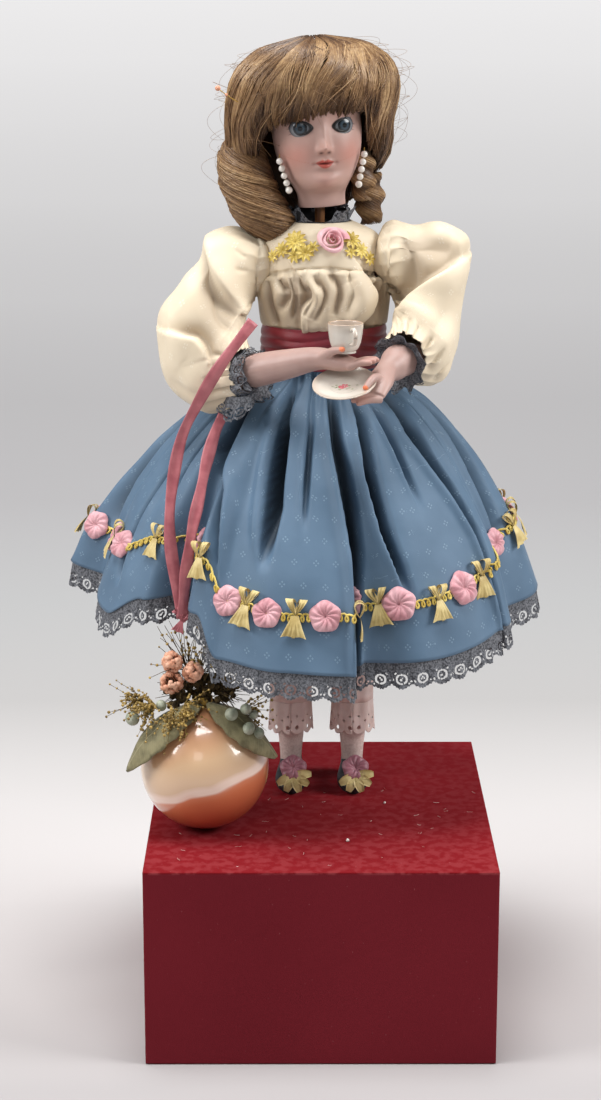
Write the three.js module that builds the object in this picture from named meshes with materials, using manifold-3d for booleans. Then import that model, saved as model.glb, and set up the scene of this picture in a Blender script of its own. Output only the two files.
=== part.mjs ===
// A tea-drinking automaton doll on a velvet box: a bisque-headed lady lifts a cup and saucer,
// turns and nods her head, and is driven by a spring music movement with cams, levers and rods.
// Millimetres, +Z up. The origin is the centre of the box's underside and the doll faces -Y.
// Her right side is the -X side.
import * as THREE from "three";
import { mergeVertices } from "three/addons/utils/BufferGeometryUtils.js";
import Module from "manifold-3d";

const wasm = await Module();
wasm.setup();

// Fits shared by every piece
const seatGap = 0.3;
const runningGap = 0.35;
const cutOverrun = 1;

// Velvet box
const boxWidth = 203;
const boxDepth = 231;
const boxHeight = 118.7;
const boxWall = 6;
const velvetThickness = 0.8;
const velvetLift = 0.5;
const baseBoardThickness = 6;
const baseBoardFit = 0.4;

// Bedplate and its posts
const bedplateThickness = 4;
const bedplateFootHeight = 8;
const bedplateFootRadius = 4;
const bedplateInset = 12;
const bedplateLeft = -78;
const bedplateRight = 92;
const bedplateFront = -22;
const bedplateBack = 104;
const postWidth = 8;
const postThickness = 3.5;
const postCrown = 5;

// Gear train: great wheel, cylinder pinion and cam wheel in one plane
const arborHeight = 54;
const barrelX = -50;
const trainModule = 2.5;
const greatWheelTeeth = 24;
const cylinderPinionTeeth = 8;
const camWheelTeeth = 22;
const trainY = 84;
const trainThickness = 5;
const toothRootHalfShare = 0.26;
const toothTipHalfShare = 0.1;
const addendumShare = 0.72;
const dedendumShare = 1.15;

// Spring barrel and winding key
const barrelRadius = 26;
const barrelLength = 22;
const barrelCapStep = 1.5;
const windingStemRadius = 2.5;
const keyWingRadius = 9;
const keyWingHole = 4;
const keyWingThickness = 2.2;
const keyStandOff = 6;

// Pinned music cylinder and comb
const drumRadius = 12;
const drumFront = 12.5;
const drumBack = 80;
const arborRadius = 2;
const pinReach = 1;
const pinWidth = 0.8;
const combTeeth = 12;
const combFront = 14;
const combPitch = 3;
const combToothWidth = 1.5;
const combToothLength = 17;
const combThickness = 1.2;
const combRootWidth = 14;
const combBridgeThickness = 8;

// Air-brake governor
const brakeModule = 1.5;
const brakeWheelTeeth = 20;
const brakePinionTeeth = 8;
const brakeWheelY = 8;
const brakeWheelThickness = 2.5;
const fanBladeRadius = 12;
const fanBladeLength = 12;
const fanBladeThickness = 1;
const fanGap = 4;

// Cam shaft, cams and follower levers
const camShaftRadius = 3;
const camThickness = 3;
const camBaseRadius = 9;
const camCrownRadius = 16;
const camFront = 29;
const camPitch = 8;
const camMiddleGap = 16;
const leverPivotX = 84;
const leverPivotZ = 84;
const leverPivotRadius = 2;
const leverHubRadius = 4.5;
const leverThickness = 2.5;
const leverDepth = 5;
const leverFootWidth = 3.4;
const noseTipWidth = 3;
const headLeverFall = 5.2;
const bracketPlateThickness = 3;

// Push rods
const rodRadius = 1.1;
const rodSpacing = 4;
const rodBoreRadius = 3.7;
const rodHookRadius = 2;
const armRodTop = 300;
const headRodTop = 316;

// Stop lever at the back
const stopLeverX = 12;
const stopLeverY = 99;
const stopLeverZ = 40;
const stopLeverThickness = 2;
const stopLeverWidth = 4;
const stopHubRadius = 4;
const stopKnobRadius = 3.5;
const stopSlotWidth = 16;
const stopReach = 12;

// Figure: heights in this group are above the box top, y is from her upright axis
const figureY = 45;
const rightLegX = -17.5;
const leftLegX = 21;
const soleThickness = 3;
const ankleRadius = 6.3;
const calfRadius = 9.5;
const thighRadius = 14;
const hipHeight = 205;
const shoeLength = 45;
const shoeWidth = 19;
const shoeHeight = 17;
const shoeHeelBack = 13;
const hipBlockThickness = 17;
const torsoBottom = 222.5;
const torsoTop = 337;
const torsoWall = 3;
const torsoHalfWidth = 33;
const torsoHalfDepth = 21;
const shoulderPlateThickness = 4;
const neckRingRadius = 14;
const neckRingHeight = 9;

// Neck stem and head
const neckStemRadius = 3;
const neckPivotHeight = 378;
const neckPinRadius = 1.1;
const neckPinHalf = 11;
const neckDiscRadius = 11;
const neckDiscThickness = 3;
const neckSocketRadius = 9.5;
const neckSocketTop = 9;
const headYaw = 8;
const headRoll = -4;
const headRimHeight = 360;
const headTopHeight = 446;
const headHalfWidth = 26.5;
const headFrontDepth = 26;
const headBackDepth = 36;
const noseReach = 6.5;
const noseHalfWidth = 3.6;
const eyeRadius = 6;
const eyeSpacing = 12.2;
const eyeHeight = 408;
const eyeSetBack = 20.6;
const pearlRadius = 2.1;
const pearlPitch = 4.3;
const pearlCount = 5;
const earringSpread = 26;
const earringHeight = 388;
const earringForward = -7;

// Wig
const wigTopHeight = 459;
const wigHalfWidth = 53;
const wigFrontDepth = 32;
const wigBackDepth = 46;
const bangHeight = 412;
const wigBottomHeight = 353;
const rollBottomHeight = 350;
const faceWindowHalfWidth = 28.5;
const rollRadius = 20;
const rollCentreX = -38;
const rollTopHeight = 398;
const rollRidges = 5;
const rollRidgeDepth = 1.2;
const lockRadius = 10;

// Arms: elbows, wrists and hands in the figure's frame
const shoulderHeight = 326;
const shoulderAxleRadius = 2;
const shoulderHubRadius = 10;
const shoulderHubThickness = 5;
const rightUpperBend = new THREE.Vector3(-50, -6, 316);
const rightUpperMiddle = new THREE.Vector3(-66, -16, 290);
const rightElbow = new THREE.Vector3(-70, -28, 264);
const rightCuffPoint = new THREE.Vector3(-46, -46, 267);
const rightWrist = new THREE.Vector3(-1.5, -74, 280);
const rightPalm = new THREE.Vector3(12, -79, 278.5);
const rightKnuckles = new THREE.Vector3(20, -82, 278);
const leftUpperBend = new THREE.Vector3(53, -5, 316);
const leftUpperMiddle = new THREE.Vector3(67, -13, 292);
const leftElbow = new THREE.Vector3(66, -27, 273);
const leftCuffPoint = new THREE.Vector3(47, -50, 275);
const leftWrist = new THREE.Vector3(38, -66, 271);
const leftPalm = new THREE.Vector3(33.5, -79, 267);
const leftKnuckles = new THREE.Vector3(29, -88, 261);
const upperArmRadius = 8.2;
const elbowRadius = 7.6;
const elbowPlugRadius = 4.5;
const elbowPlugLength = 8;
const forearmStart = 9;
const forearmRadius = 10.2;
const wristRadius = 7.2;
const palmHalfDepth = 8.6;
const palmHalfHeight = 5.2;
const fingerRadius = 2.1;
const fingerTipRadius = 1.5;
const fingerPitch = 4.1;
const fingerLength = 13;

// Cup and saucer
const cupCentre = new THREE.Vector3(14, -80, 284.6);
const cupRimRadius = 10.2;
const cupBaseRadius = 6;
const cupHeight = 17;
const cupWall = 1.1;
const cupHandleReach = 6;
const cupHandleRadius = 1;
const saucerCentre = new THREE.Vector3(13.5, -86, 266.3);
const saucerRadius = 18.3;
const saucerRise = 2.6;
const saucerWall = 1.2;
const saucerPitch = 20;
const saucerRoll = -6;

// Clothes
const clothThickness = 0.8;
const bodiceTop = 351;
const yokeBottom = 325;
const bodiceBottom = 285;
const bodiceHalfWidth = 36.8;
const bodiceHalfDepth = 32;
const waistShift = 2.6;
const bodiceGathers = 12;
const gatherDepth = 1;
const armholeRadius = 12.5;
const sashTop = 289;
const sashBottom = 265;
const sashHalfWidth = 36.6;
const sashHalfDepth = 31.5;
const sashThickness = 1.4;
const sashFoldDepth = 0.9;
const waistEase = 0.9;
const skirtTop = 268;
const skirtDrop = 162;
const skirtHalfWidth = 140;
const skirtFrontReach = 130;
const skirtBackReach = 102;
const laceWidth = 15;
const laceScallop = 2.5;
const sleeveThickness = 0.8;
const sleeveReach = 70;
const sleeveRightPivot = new THREE.Vector3(-38.4, 0, 302);
const sleeveLeftPivot = new THREE.Vector3(41.3, 0, 304);
const sleeveGatherDepth = 0.9;
const sleeveSeamRadius = 14.5;
const rightSeamShiftShare = 0.35;
const leftSeamShiftShare = 0.95;
const rightCuffStart = 5.2;
const leftCuffStart = -0.6;
const cuffLaceLength = 11;
const cuffLaceRadius = 13.1;
const cuffLaceEndRadius = 11;
const pantaletteTop = 196;
const pantaletteHem = 28;
const pantaletteRadius = 14.5;
const pantaletteHemRadius = 11.5;
const pantaletteRuffle = 1;
const collarHeight = 8.2;
const collarRadius = 17.5;
const collarRuffle = 1.6;

// Ornament tied to her arm
const ornamentCentre = new THREE.Vector3(-68.5, -85, 38.3);
const ornamentRadius = 38;
const ornamentCapRadius = 5;
const ornamentCapHeight = 4;
const ornamentGlass = 1.4;
const ornamentNeckRadius = 3.4;
const ornamentCapWall = 0.8;
const ribbonWidth = 6;
const ribbonThickness = 0.7;

// Colours read from the photograph
const colours = {
  velvet: 0x8e1522,
  wood: 0xb08a5c,
  castIron: 0x4a4a4c,
  steel: 0xa9adb2,
  brass: 0xb8923f,
  composition: 0xb9886a,
  bisque: 0xe6c3b4,
  stocking: 0xe9d6cd,
  shoe: 0x2d3136,
  stem: 0xa0703f,
  glassEye: 0x55707c,
  hair: 0xa67a45,
  pearl: 0xf2ece0,
  china: 0xf3ece2,
  satin: 0xe6d9b5,
  sash: 0x8a1f33,
  dress: 0x5f8099,
  lace: 0x5b5d62,
  underlinen: 0xe3cbc4,
  ribbon: 0xb0606a,
  ornament: 0xe2a678,
  foliage: 0x8c8560,
};

// Materials
function material(colour, roughness = 0.7, metalness = 0) {
  return new THREE.MeshStandardMaterial({ color: colour, roughness, metalness });
}

const materials = {
  velvet: material(colours.velvet, 0.95),
  wood: material(colours.wood, 0.7),
  castIron: material(colours.castIron, 0.6, 0.8),
  steel: material(colours.steel, 0.35, 1),
  brass: material(colours.brass, 0.35, 1),
  composition: material(colours.composition, 0.7),
  bisque: material(colours.bisque, 0.6),
  stocking: material(colours.stocking, 0.8),
  shoe: material(colours.shoe, 0.6),
  stem: material(colours.stem, 0.6),
  glassEye: material(colours.glassEye, 0.08),
  hair: material(colours.hair, 0.55),
  pearl: material(colours.pearl, 0.25),
  china: material(colours.china, 0.2),
  satin: material(colours.satin, 0.45),
  sash: material(colours.sash, 0.4),
  dress: material(colours.dress, 0.45),
  lace: material(colours.lace, 0.85),
  underlinen: material(colours.underlinen, 0.8),
  ribbon: material(colours.ribbon, 0.4),
  ornament: material(colours.ornament, 0.25),
  foliage: material(colours.foliage, 0.85),
};

// Closed surfaces and their joins and cuts

function positionsOnly(geometry) {
  const plain = new THREE.BufferGeometry();
  plain.setAttribute("position", geometry.getAttribute("position"));
  if (geometry.index) plain.setIndex(geometry.index);
  return mergeVertices(plain, 1e-4);
}

function signedVolume(positions, triangles) {
  let volume = 0;
  const corners = [new THREE.Vector3(), new THREE.Vector3(), new THREE.Vector3()];
  for (let i = 0; i < triangles.length; i += 3) {
    corners.forEach((corner, k) => corner.fromArray(positions, 3 * triangles[i + k]));
    volume += corners[0].dot(corners[1].cross(corners[2]));
  }
  return volume;
}

function solidOf(geometry) {
  const merged = positionsOnly(geometry);
  const vertProperties = new Float32Array(merged.getAttribute("position").array);
  const triVerts = new Uint32Array(merged.index.array);
  if (signedVolume(vertProperties, triVerts) < 0) {
    for (let i = 0; i < triVerts.length; i += 3) {
      [triVerts[i + 1], triVerts[i + 2]] = [triVerts[i + 2], triVerts[i + 1]];
    }
  }
  return new wasm.Manifold(new wasm.Mesh({ numProp: 3, vertProperties, triVerts }));
}

function geometryOf(solid) {
  const mesh = solid.getMesh();
  const geometry = new THREE.BufferGeometry();
  geometry.setAttribute("position", new THREE.BufferAttribute(mesh.vertProperties, 3));
  geometry.setIndex(new THREE.BufferAttribute(mesh.triVerts, 1));
  return geometry;
}

function joined(...geometries) {
  return geometryOf(geometries.map(solidOf).reduce((whole, piece) => whole.add(piece)));
}

function cut(geometry, ...tools) {
  return geometryOf(tools.map(solidOf).reduce((left, tool) => left.subtract(tool), solidOf(geometry)));
}

// A surface through rings of points. Ends are capped unless the last ring joins the first.
function surfaceThrough(rings, endsJoin) {
  const count = rings[0].length;
  const positions = rings.flat().flatMap((point) => point.toArray());
  const indices = [];
  const spans = endsJoin ? rings.length : rings.length - 1;
  for (let i = 0; i < spans; i++) {
    const below = i * count;
    const above = ((i + 1) % rings.length) * count;
    for (let k = 0; k < count; k++) {
      const next = (k + 1) % count;
      indices.push(below + k, below + next, above + next);
      indices.push(below + k, above + next, above + k);
    }
  }
  if (!endsJoin) {
    [rings[0], rings.at(-1)].forEach((ring, end) => {
      const middle = new THREE.Vector3();
      ring.forEach((point) => middle.addScaledVector(point, 1 / count));
      const centre = positions.length / 3;
      positions.push(...middle.toArray());
      const start = end ? (rings.length - 1) * count : 0;
      for (let k = 0; k < count; k++) {
        const next = (k + 1) % count;
        if (end) indices.push(start + k, start + next, centre);
        else indices.push(start + next, start + k, centre);
      }
    });
  }
  const geometry = new THREE.BufferGeometry();
  geometry.setAttribute("position", new THREE.Float32BufferAttribute(positions, 3));
  geometry.setIndex(indices);
  return geometryOf(solidOf(geometry));
}

function loft(rings) {
  return surfaceThrough(rings, false);
}

// Thin cloth or a hollow wall: outer rings, then the inner rings back again.
function shell(outerRings, innerRings) {
  return surfaceThrough([...outerRings, ...[...innerRings].reverse()], true);
}

// An ellipse of points in a horizontal plane, from the front (-Y) towards +X.
function levelRing(count, centreX, centreY, height, halfWidth, halfDepth) {
  return Array.from({ length: count }, (_, k) => {
    const turn = (2 * Math.PI * k) / count;
    const x = centreX + halfWidth * Math.sin(turn);
    return new THREE.Vector3(x, centreY - halfDepth * Math.cos(turn), height);
  });
}

// A limb through points, with an oval section [half depth, half height] at each.
function limb(points, sections, sides = 12) {
  const rings = points.map((point, i) => {
    const ahead = points[Math.min(i + 1, points.length - 1)];
    const behind = points[Math.max(i - 1, 0)];
    const along = ahead.clone().sub(behind).normalize();
    const level = new THREE.Vector3(0, 0, 1);
    if (Math.abs(along.z) > 0.9) level.set(0, 1, 0);
    const across = along.clone().cross(level).normalize();
    const up = across.clone().cross(along).normalize();
    return Array.from({ length: sides }, (_, k) => {
      const turn = (2 * Math.PI * k) / sides;
      return point
        .clone()
        .addScaledVector(across, sections[i][0] * Math.cos(turn))
        .addScaledVector(up, sections[i][1] * Math.sin(turn));
    });
  });
  return loft(rings);
}

function block(width, depth, height, x = 0, y = 0, z = 0) {
  return new THREE.BoxGeometry(width, depth, height).translate(x, y, z);
}

function upright(radius, height, x, y, bottom, sides = 20) {
  const shaft = new THREE.CylinderGeometry(radius, radius, height, sides);
  return shaft.rotateX(Math.PI / 2).translate(x, y, bottom + height / 2);
}

// A round bar along Y, from one end plane to the other.
function barAlongY(radius, front, back, x, z, sides = 20) {
  return new THREE.CylinderGeometry(radius, radius, back - front, sides).translate(x, (front + back) / 2, z);
}

// A flat outline in the XZ plane, given thickness along Y from its front face.
function plateAlongY(shape, front, thickness) {
  const plate = new THREE.ExtrudeGeometry(shape, { depth: thickness, bevelEnabled: false, curveSegments: 8 });
  return plate.rotateX(Math.PI / 2).translate(0, front + thickness, 0);
}

// A flat outline in the XY plane, given thickness upwards from its bottom.
function plateUp(shape, bottom, thickness) {
  const plate = new THREE.ExtrudeGeometry(shape, { depth: thickness, bevelEnabled: false, curveSegments: 8 });
  return plate.translate(0, 0, bottom);
}

function named(name, geometry, look) {
  const mesh = new THREE.Mesh(geometry, look);
  mesh.name = name;
  return mesh;
}

// Heights and places worked out from the driving sizes
const velvetInner = velvetThickness + seatGap;
const carcassWidth = boxWidth - 2 * velvetInner;
const carcassDepth = boxDepth - 2 * velvetInner;
const carcassHeight = boxHeight - velvetInner;
const bedplateBottom = baseBoardThickness + bedplateFootHeight;
const bedplateTop = bedplateBottom + bedplateThickness;
const cylinderX = barrelX + (trainModule * (greatWheelTeeth + cylinderPinionTeeth)) / 2;
const camShaftX = cylinderX + (trainModule * (cylinderPinionTeeth + camWheelTeeth)) / 2;
const fanX = cylinderX + (brakeModule * (brakeWheelTeeth + brakePinionTeeth)) / 2;
const backPostFront = trainY + trainThickness + 2 * cutOverrun;
const barrelFront = trainY - barrelLength - barrelCapStep;
const camCount = 4;
const rodOffset = rodSpacing / 2;
const rodY = figureY;
const leverUnderside = leverPivotZ - leverDepth / 2;
const leverTop = leverPivotZ + leverDepth / 2;
const rodBottom = leverTop + seatGap;
const shoulderFace = torsoHalfWidth + 2 * seatGap;

// The four motions that the cams drive, in order along the shaft
const drives = [
  { name: "right_arm", rodX: rightLegX - rodOffset, rodTop: armRodTop, fall: 0 },
  { name: "head_turn", rodX: rightLegX + rodOffset, rodTop: headRodTop, fall: headLeverFall },
  { name: "left_arm", rodX: leftLegX + rodOffset, rodTop: armRodTop, fall: 0 },
  { name: "head_nod", rodX: leftLegX - rodOffset, rodTop: headRodTop, fall: 0 },
];

function camY(index) {
  const middle = index >= camCount / 2 ? camMiddleGap - camPitch : 0;
  return camFront + index * camPitch + middle;
}

// Box
function boxCarcass() {
  const outside = block(carcassWidth, carcassDepth, carcassHeight, 0, 0, carcassHeight / 2);
  const hollowHeight = carcassHeight - boxWall + cutOverrun;
  const hollow = block(
    carcassWidth - 2 * boxWall,
    carcassDepth - 2 * boxWall,
    hollowHeight,
    0,
    0,
    hollowHeight / 2 - cutOverrun,
  );
  return cut(outside, hollow, ...boxOpenings(boxWall));
}

function velvetCover() {
  const outerHeight = boxHeight - velvetLift;
  const outside = block(boxWidth, boxDepth, outerHeight, 0, 0, velvetLift + outerHeight / 2);
  const innerHeight = boxHeight - velvetThickness + cutOverrun;
  const inside = block(
    carcassWidth + 2 * seatGap,
    carcassDepth + 2 * seatGap,
    innerHeight,
    0,
    0,
    innerHeight / 2 - cutOverrun,
  );
  return cut(outside, inside, ...boxOpenings(velvetThickness));
}

// Holes through the top for the rods and through the back for the key and the stop lever.
function boxOpenings(wall) {
  const through = wall + velvetInner + cutOverrun;
  const back = boxDepth / 2;
  const legHoles = [rightLegX, leftLegX].map((x) =>
    upright(rodBoreRadius, through + cutOverrun, x, rodY, boxHeight - through, 10),
  );
  const keyHole = barAlongY(windingStemRadius + 2 * runningGap, back - through, back + cutOverrun, barrelX, arborHeight, 10);
  const slotX = stopLeverX - stopSlotWidth / 2 + stopLeverWidth;
  const slotHeight = stopLeverThickness + 4 * runningGap;
  const slot = block(stopSlotWidth, 2 * through, slotHeight, slotX, back, stopLeverZ);
  return [...legHoles, keyHole, slot];
}

function baseBoard() {
  const fit = 2 * (boxWall + baseBoardFit);
  return block(carcassWidth - fit, carcassDepth - fit, baseBoardThickness, 0, 0, baseBoardThickness / 2);
}

// Movement

// A toothed wheel outline with one tooth centred on the phase angle.
function wheelShape(teeth, module, phase) {
  const pitchRadius = (module * teeth) / 2;
  const tip = pitchRadius + addendumShare * module;
  const root = pitchRadius - dedendumShare * module;
  const step = (2 * Math.PI) / teeth;
  const shape = new THREE.Shape();
  for (let k = 0; k < teeth; k++) {
    const middle = phase + k * step;
    const corners = [
      [root, -toothRootHalfShare],
      [tip, -toothTipHalfShare],
      [tip, toothTipHalfShare],
      [root, toothRootHalfShare],
    ];
    corners.forEach(([radius, share], i) => {
      const angle = middle + share * step;
      const place = [radius * Math.cos(angle), radius * Math.sin(angle)];
      if (k === 0 && i === 0) shape.moveTo(...place);
      else shape.lineTo(...place);
    });
  }
  shape.closePath();
  return shape;
}

function wheelAt(teeth, module, phase, front, thickness, x) {
  return plateAlongY(wheelShape(teeth, module, phase), front, thickness).translate(x, 0, arborHeight);
}

function bearingPost(x, z, front, boreRadius) {
  const height = z + postCrown - bedplateTop + cutOverrun;
  const post = block(postWidth, postThickness, height, x, front + postThickness / 2, z + postCrown - height / 2);
  const bore = barAlongY(
    boreRadius + runningGap,
    front - cutOverrun,
    front + postThickness + cutOverrun,
    x,
    z,
    8,
  );
  return cut(post, bore);
}

function movementBedplate() {
  const width = bedplateRight - bedplateLeft;
  const depth = bedplateBack - bedplateFront;
  const middleX = (bedplateLeft + bedplateRight) / 2;
  const middleY = (bedplateFront + bedplateBack) / 2;
  const plate = block(width, depth, bedplateThickness, middleX, middleY, bedplateBottom + bedplateThickness / 2);
  const feet = [-1, 1].flatMap((side) =>
    [-1, 1].map((end) =>
      upright(
        bedplateFootRadius,
        bedplateFootHeight - seatGap + cutOverrun,
        middleX + side * (width / 2 - bedplateInset),
        middleY + end * (depth / 2 - bedplateInset),
        baseBoardThickness + seatGap,
        8,
      ),
    ),
  );
  const posts = [
    bearingPost(barrelX, arborHeight, barrelFront - barrelCapStep - postThickness - runningGap, windingStemRadius),
    bearingPost(barrelX, arborHeight, backPostFront, windingStemRadius),
    bearingPost(cylinderX, arborHeight, brakeWheelY - postThickness - cutOverrun, arborRadius),
    bearingPost(cylinderX, arborHeight, backPostFront, arborRadius),
    bearingPost(camShaftX, arborHeight, camFront - camPitch, camShaftRadius),
    bearingPost(camShaftX, arborHeight, backPostFront, camShaftRadius),
    bearingPost(fanX, arborHeight, fanPostFront() - postThickness, arborRadius / 2),
    bearingPost(fanX, arborHeight, brakeWheelY + brakeWheelThickness + fanGap / 2, arborRadius / 2),
  ];
  const bridgeHeight = arborHeight - combThickness / 2 - seatGap - bedplateTop + cutOverrun;
  const bridge = block(
    combBridgeThickness,
    combLength(),
    bridgeHeight,
    combRootX() - combRootWidth / 2,
    combFront + combLength() / 2,
    bedplateTop - cutOverrun + bridgeHeight / 2,
  );
  const studHeight = stopLeverZ + 2 * stopLeverThickness - bedplateTop + cutOverrun;
  const stud = upright(arborRadius, studHeight, stopLeverX, stopLeverY, bedplateTop - cutOverrun, 8);
  const collar = upright(
    stopHubRadius,
    stopLeverZ - stopLeverThickness / 2 - seatGap - bedplateTop + cutOverrun,
    stopLeverX,
    stopLeverY,
    bedplateTop - cutOverrun,
    10,
  );
  return joined(plate, ...feet, ...posts, bridge, stud, collar);
}

function springBarrel() {
  const drum = barAlongY(barrelRadius, barrelFront, trainY, barrelX, arborHeight, 22);
  const cap = barAlongY(barrelRadius - barrelCapStep, barrelFront - barrelCapStep, trainY, barrelX, arborHeight, 22);
  const wheel = wheelAt(greatWheelTeeth, trainModule, 0, trainY, trainThickness, barrelX);
  const bore = barAlongY(
    windingStemRadius + runningGap,
    barrelFront - barrelCapStep - cutOverrun,
    trainY + trainThickness + cutOverrun,
    barrelX,
    arborHeight,
    12,
  );
  return cut(joined(drum, cap, wheel), bore);
}

function windingKey() {
  const back = boxDepth / 2;
  const wingY = back + keyStandOff + keyWingRadius;
  const stemFront = barrelFront - postThickness - runningGap - cutOverrun;
  const stem = barAlongY(windingStemRadius, stemFront, wingY, barrelX, arborHeight, 16);
  const wing = (side) => {
    const ring = new THREE.CylinderGeometry(keyWingRadius, keyWingRadius, keyWingThickness, 16);
    const eye = new THREE.CylinderGeometry(keyWingHole, keyWingHole, keyWingThickness + 2 * cutOverrun, 12);
    const plate = cut(ring, eye).rotateX(Math.PI / 2);
    return plate.translate(barrelX + side * keyWingRadius * 0.9, wingY, arborHeight);
  };
  return joined(stem, wing(-1), wing(1));
}

function musicCylinder() {
  const front = brakeWheelY - postThickness - 2 * cutOverrun;
  const arbor = barAlongY(arborRadius, front, backPostFront + postThickness, cylinderX, arborHeight, 8);
  const drum = barAlongY(drumRadius, drumFront, drumBack, cylinderX, arborHeight, 18);
  const step = Math.PI / cylinderPinionTeeth;
  const pinion = wheelAt(cylinderPinionTeeth, trainModule, step, trainY - cutOverrun, trainThickness, cylinderX);
  const brakeWheel = wheelAt(brakeWheelTeeth, brakeModule, 0, brakeWheelY, brakeWheelThickness, cylinderX);
  const pins = Array.from({ length: combTeeth }, (_, k) => {
    const angle = (k * 5 * 2 * Math.PI) / combTeeth + Math.PI / combTeeth;
    const pin = block(2 * pinReach, pinWidth, pinWidth, drumRadius, combFront + (k + 0.5) * combPitch, 0);
    return pin.rotateY(angle).translate(cylinderX, 0, arborHeight);
  });
  return joined(arbor, drum, pinion, brakeWheel, ...pins);
}

function combLength() {
  return combTeeth * combPitch;
}

function combTipX() {
  return cylinderX - drumRadius - pinReach - seatGap;
}

function combRootX() {
  return combTipX() - combToothLength;
}

function comb() {
  const root = combRootX();
  const shape = new THREE.Shape();
  shape.moveTo(root - combRootWidth, combFront);
  for (let k = 0; k < combTeeth; k++) {
    const middle = combFront + (k + 0.5) * combPitch;
    shape.lineTo(root, middle - combToothWidth / 2);
    shape.lineTo(combTipX(), middle - combToothWidth / 2);
    shape.lineTo(combTipX(), middle + combToothWidth / 2);
    shape.lineTo(root, middle + combToothWidth / 2);
  }
  shape.lineTo(root - combRootWidth, combFront + combLength());
  shape.closePath();
  return plateUp(shape, arborHeight - combThickness / 2, combThickness);
}

function fanPostFront() {
  return brakeWheelY - fanGap - fanBladeLength;
}

function governorFan() {
  const back = brakeWheelY + brakeWheelThickness + fanGap / 2 + postThickness;
  const arbor = barAlongY(arborRadius / 2, fanPostFront() - postThickness, back, fanX, arborHeight, 12);
  const step = Math.PI / brakePinionTeeth;
  const pinion = wheelAt(brakePinionTeeth, brakeModule, step, brakeWheelY, brakeWheelThickness, fanX);
  const middle = brakeWheelY - fanGap - fanBladeLength / 2;
  const blades = block(2 * fanBladeRadius, fanBladeLength - fanGap, fanBladeThickness, fanX, middle, arborHeight);
  return joined(arbor, pinion, blades);
}

function camShaft() {
  const shaft = barAlongY(
    camShaftRadius,
    camFront - camPitch,
    backPostFront + postThickness,
    camShaftX,
    arborHeight,
    20,
  );
  const wheel = wheelAt(camWheelTeeth, trainModule, Math.PI, trainY, trainThickness, camShaftX);
  return joined(shaft, wheel);
}

// A cam with one smooth lobe, its crown upwards at rest.
function cam(index) {
  const crown = camCrownRadius - drives[index].fall;
  const shape = new THREE.Shape();
  const steps = 20;
  for (let k = 0; k < steps; k++) {
    const turn = (2 * Math.PI * k) / steps;
    const lift = Math.pow((1 + Math.cos(turn)) / 2, 1 + index / 2);
    const radius = camBaseRadius + (crown - camBaseRadius) * lift;
    const place = [radius * Math.sin(turn), radius * Math.cos(turn)];
    if (k === 0) shape.moveTo(...place);
    else shape.lineTo(...place);
  }
  shape.closePath();
  const bore = new THREE.Path();
  bore.absarc(0, 0, camShaftRadius + seatGap, 0, 2 * Math.PI);
  shape.holes.push(bore);
  return plateAlongY(shape, camY(index) - camThickness / 2, camThickness).translate(camShaftX, 0, arborHeight);
}

// A lever on the pivot rod: hub, bar, nose above its cam, and a foot under its push rod.
function followerLever(index) {
  const y = camY(index);
  const tipX = drives[index].rodX - leverFootWidth / 2;
  const noseTip = arborHeight + camCrownRadius + seatGap;
  const shape = new THREE.Shape();
  shape.moveTo(tipX, leverUnderside);
  shape.lineTo(camShaftX - leverDepth, leverUnderside);
  shape.lineTo(camShaftX - noseTipWidth / 2, noseTip);
  shape.lineTo(camShaftX + noseTipWidth / 2, noseTip);
  shape.lineTo(camShaftX + leverDepth, leverUnderside);
  shape.lineTo(leverPivotX, leverUnderside);
  shape.lineTo(leverPivotX, leverTop);
  shape.lineTo(tipX, leverTop);
  shape.closePath();
  const bar = plateAlongY(shape, y - leverThickness / 2, leverThickness);
  const hub = barAlongY(leverHubRadius, y - leverThickness, y + leverThickness, leverPivotX, leverPivotZ, 12);
  const footReach = Math.abs(rodY - y) + leverThickness / 2 + rodRadius;
  const footMiddle = y + (Math.sign(rodY - y) * (footReach - leverThickness / 2)) / 2;
  const foot = block(
    leverFootWidth,
    footReach,
    leverDepth / 2,
    drives[index].rodX,
    footMiddle,
    leverTop - leverDepth / 4,
  );
  const bore = barAlongY(
    leverPivotRadius + runningGap,
    y - leverThickness - cutOverrun,
    y + leverThickness + cutOverrun,
    leverPivotX,
    leverPivotZ,
    8,
  );
  return cut(joined(bar, hub, foot), bore);
}

// The bracket stands on the bedplate and holds the rod that all four levers turn on.
function leverBracket() {
  const front = camFront - camPitch;
  const back = camY(camCount - 1) + camPitch;
  const bottom = bedplateTop + seatGap;
  const height = leverPivotZ + leverHubRadius - bottom;
  const middleZ = bottom + height / 2;
  const half = bracketPlateThickness / 2;
  const cheeks = [front + half, back - half].map((y) =>
    block(2 * leverHubRadius, bracketPlateThickness, height, leverPivotX, y, middleZ),
  );
  const sole = block(2 * leverHubRadius, back - front, bracketPlateThickness, leverPivotX, (front + back) / 2, bottom + half);
  const rod = barAlongY(leverPivotRadius, front, back, leverPivotX, leverPivotZ, 16);
  return joined(...cheeks, sole, rod);
}

function pushRod(drive) {
  const bottom = rodBottom;
  const top = boxHeight + drive.rodTop;
  const stem = upright(rodRadius, top - bottom, drive.rodX, rodY, bottom, 6);
  const hook = new THREE.SphereGeometry(rodHookRadius, 6, 4).translate(drive.rodX, rodY, top);
  return joined(stem, hook);
}

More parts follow.
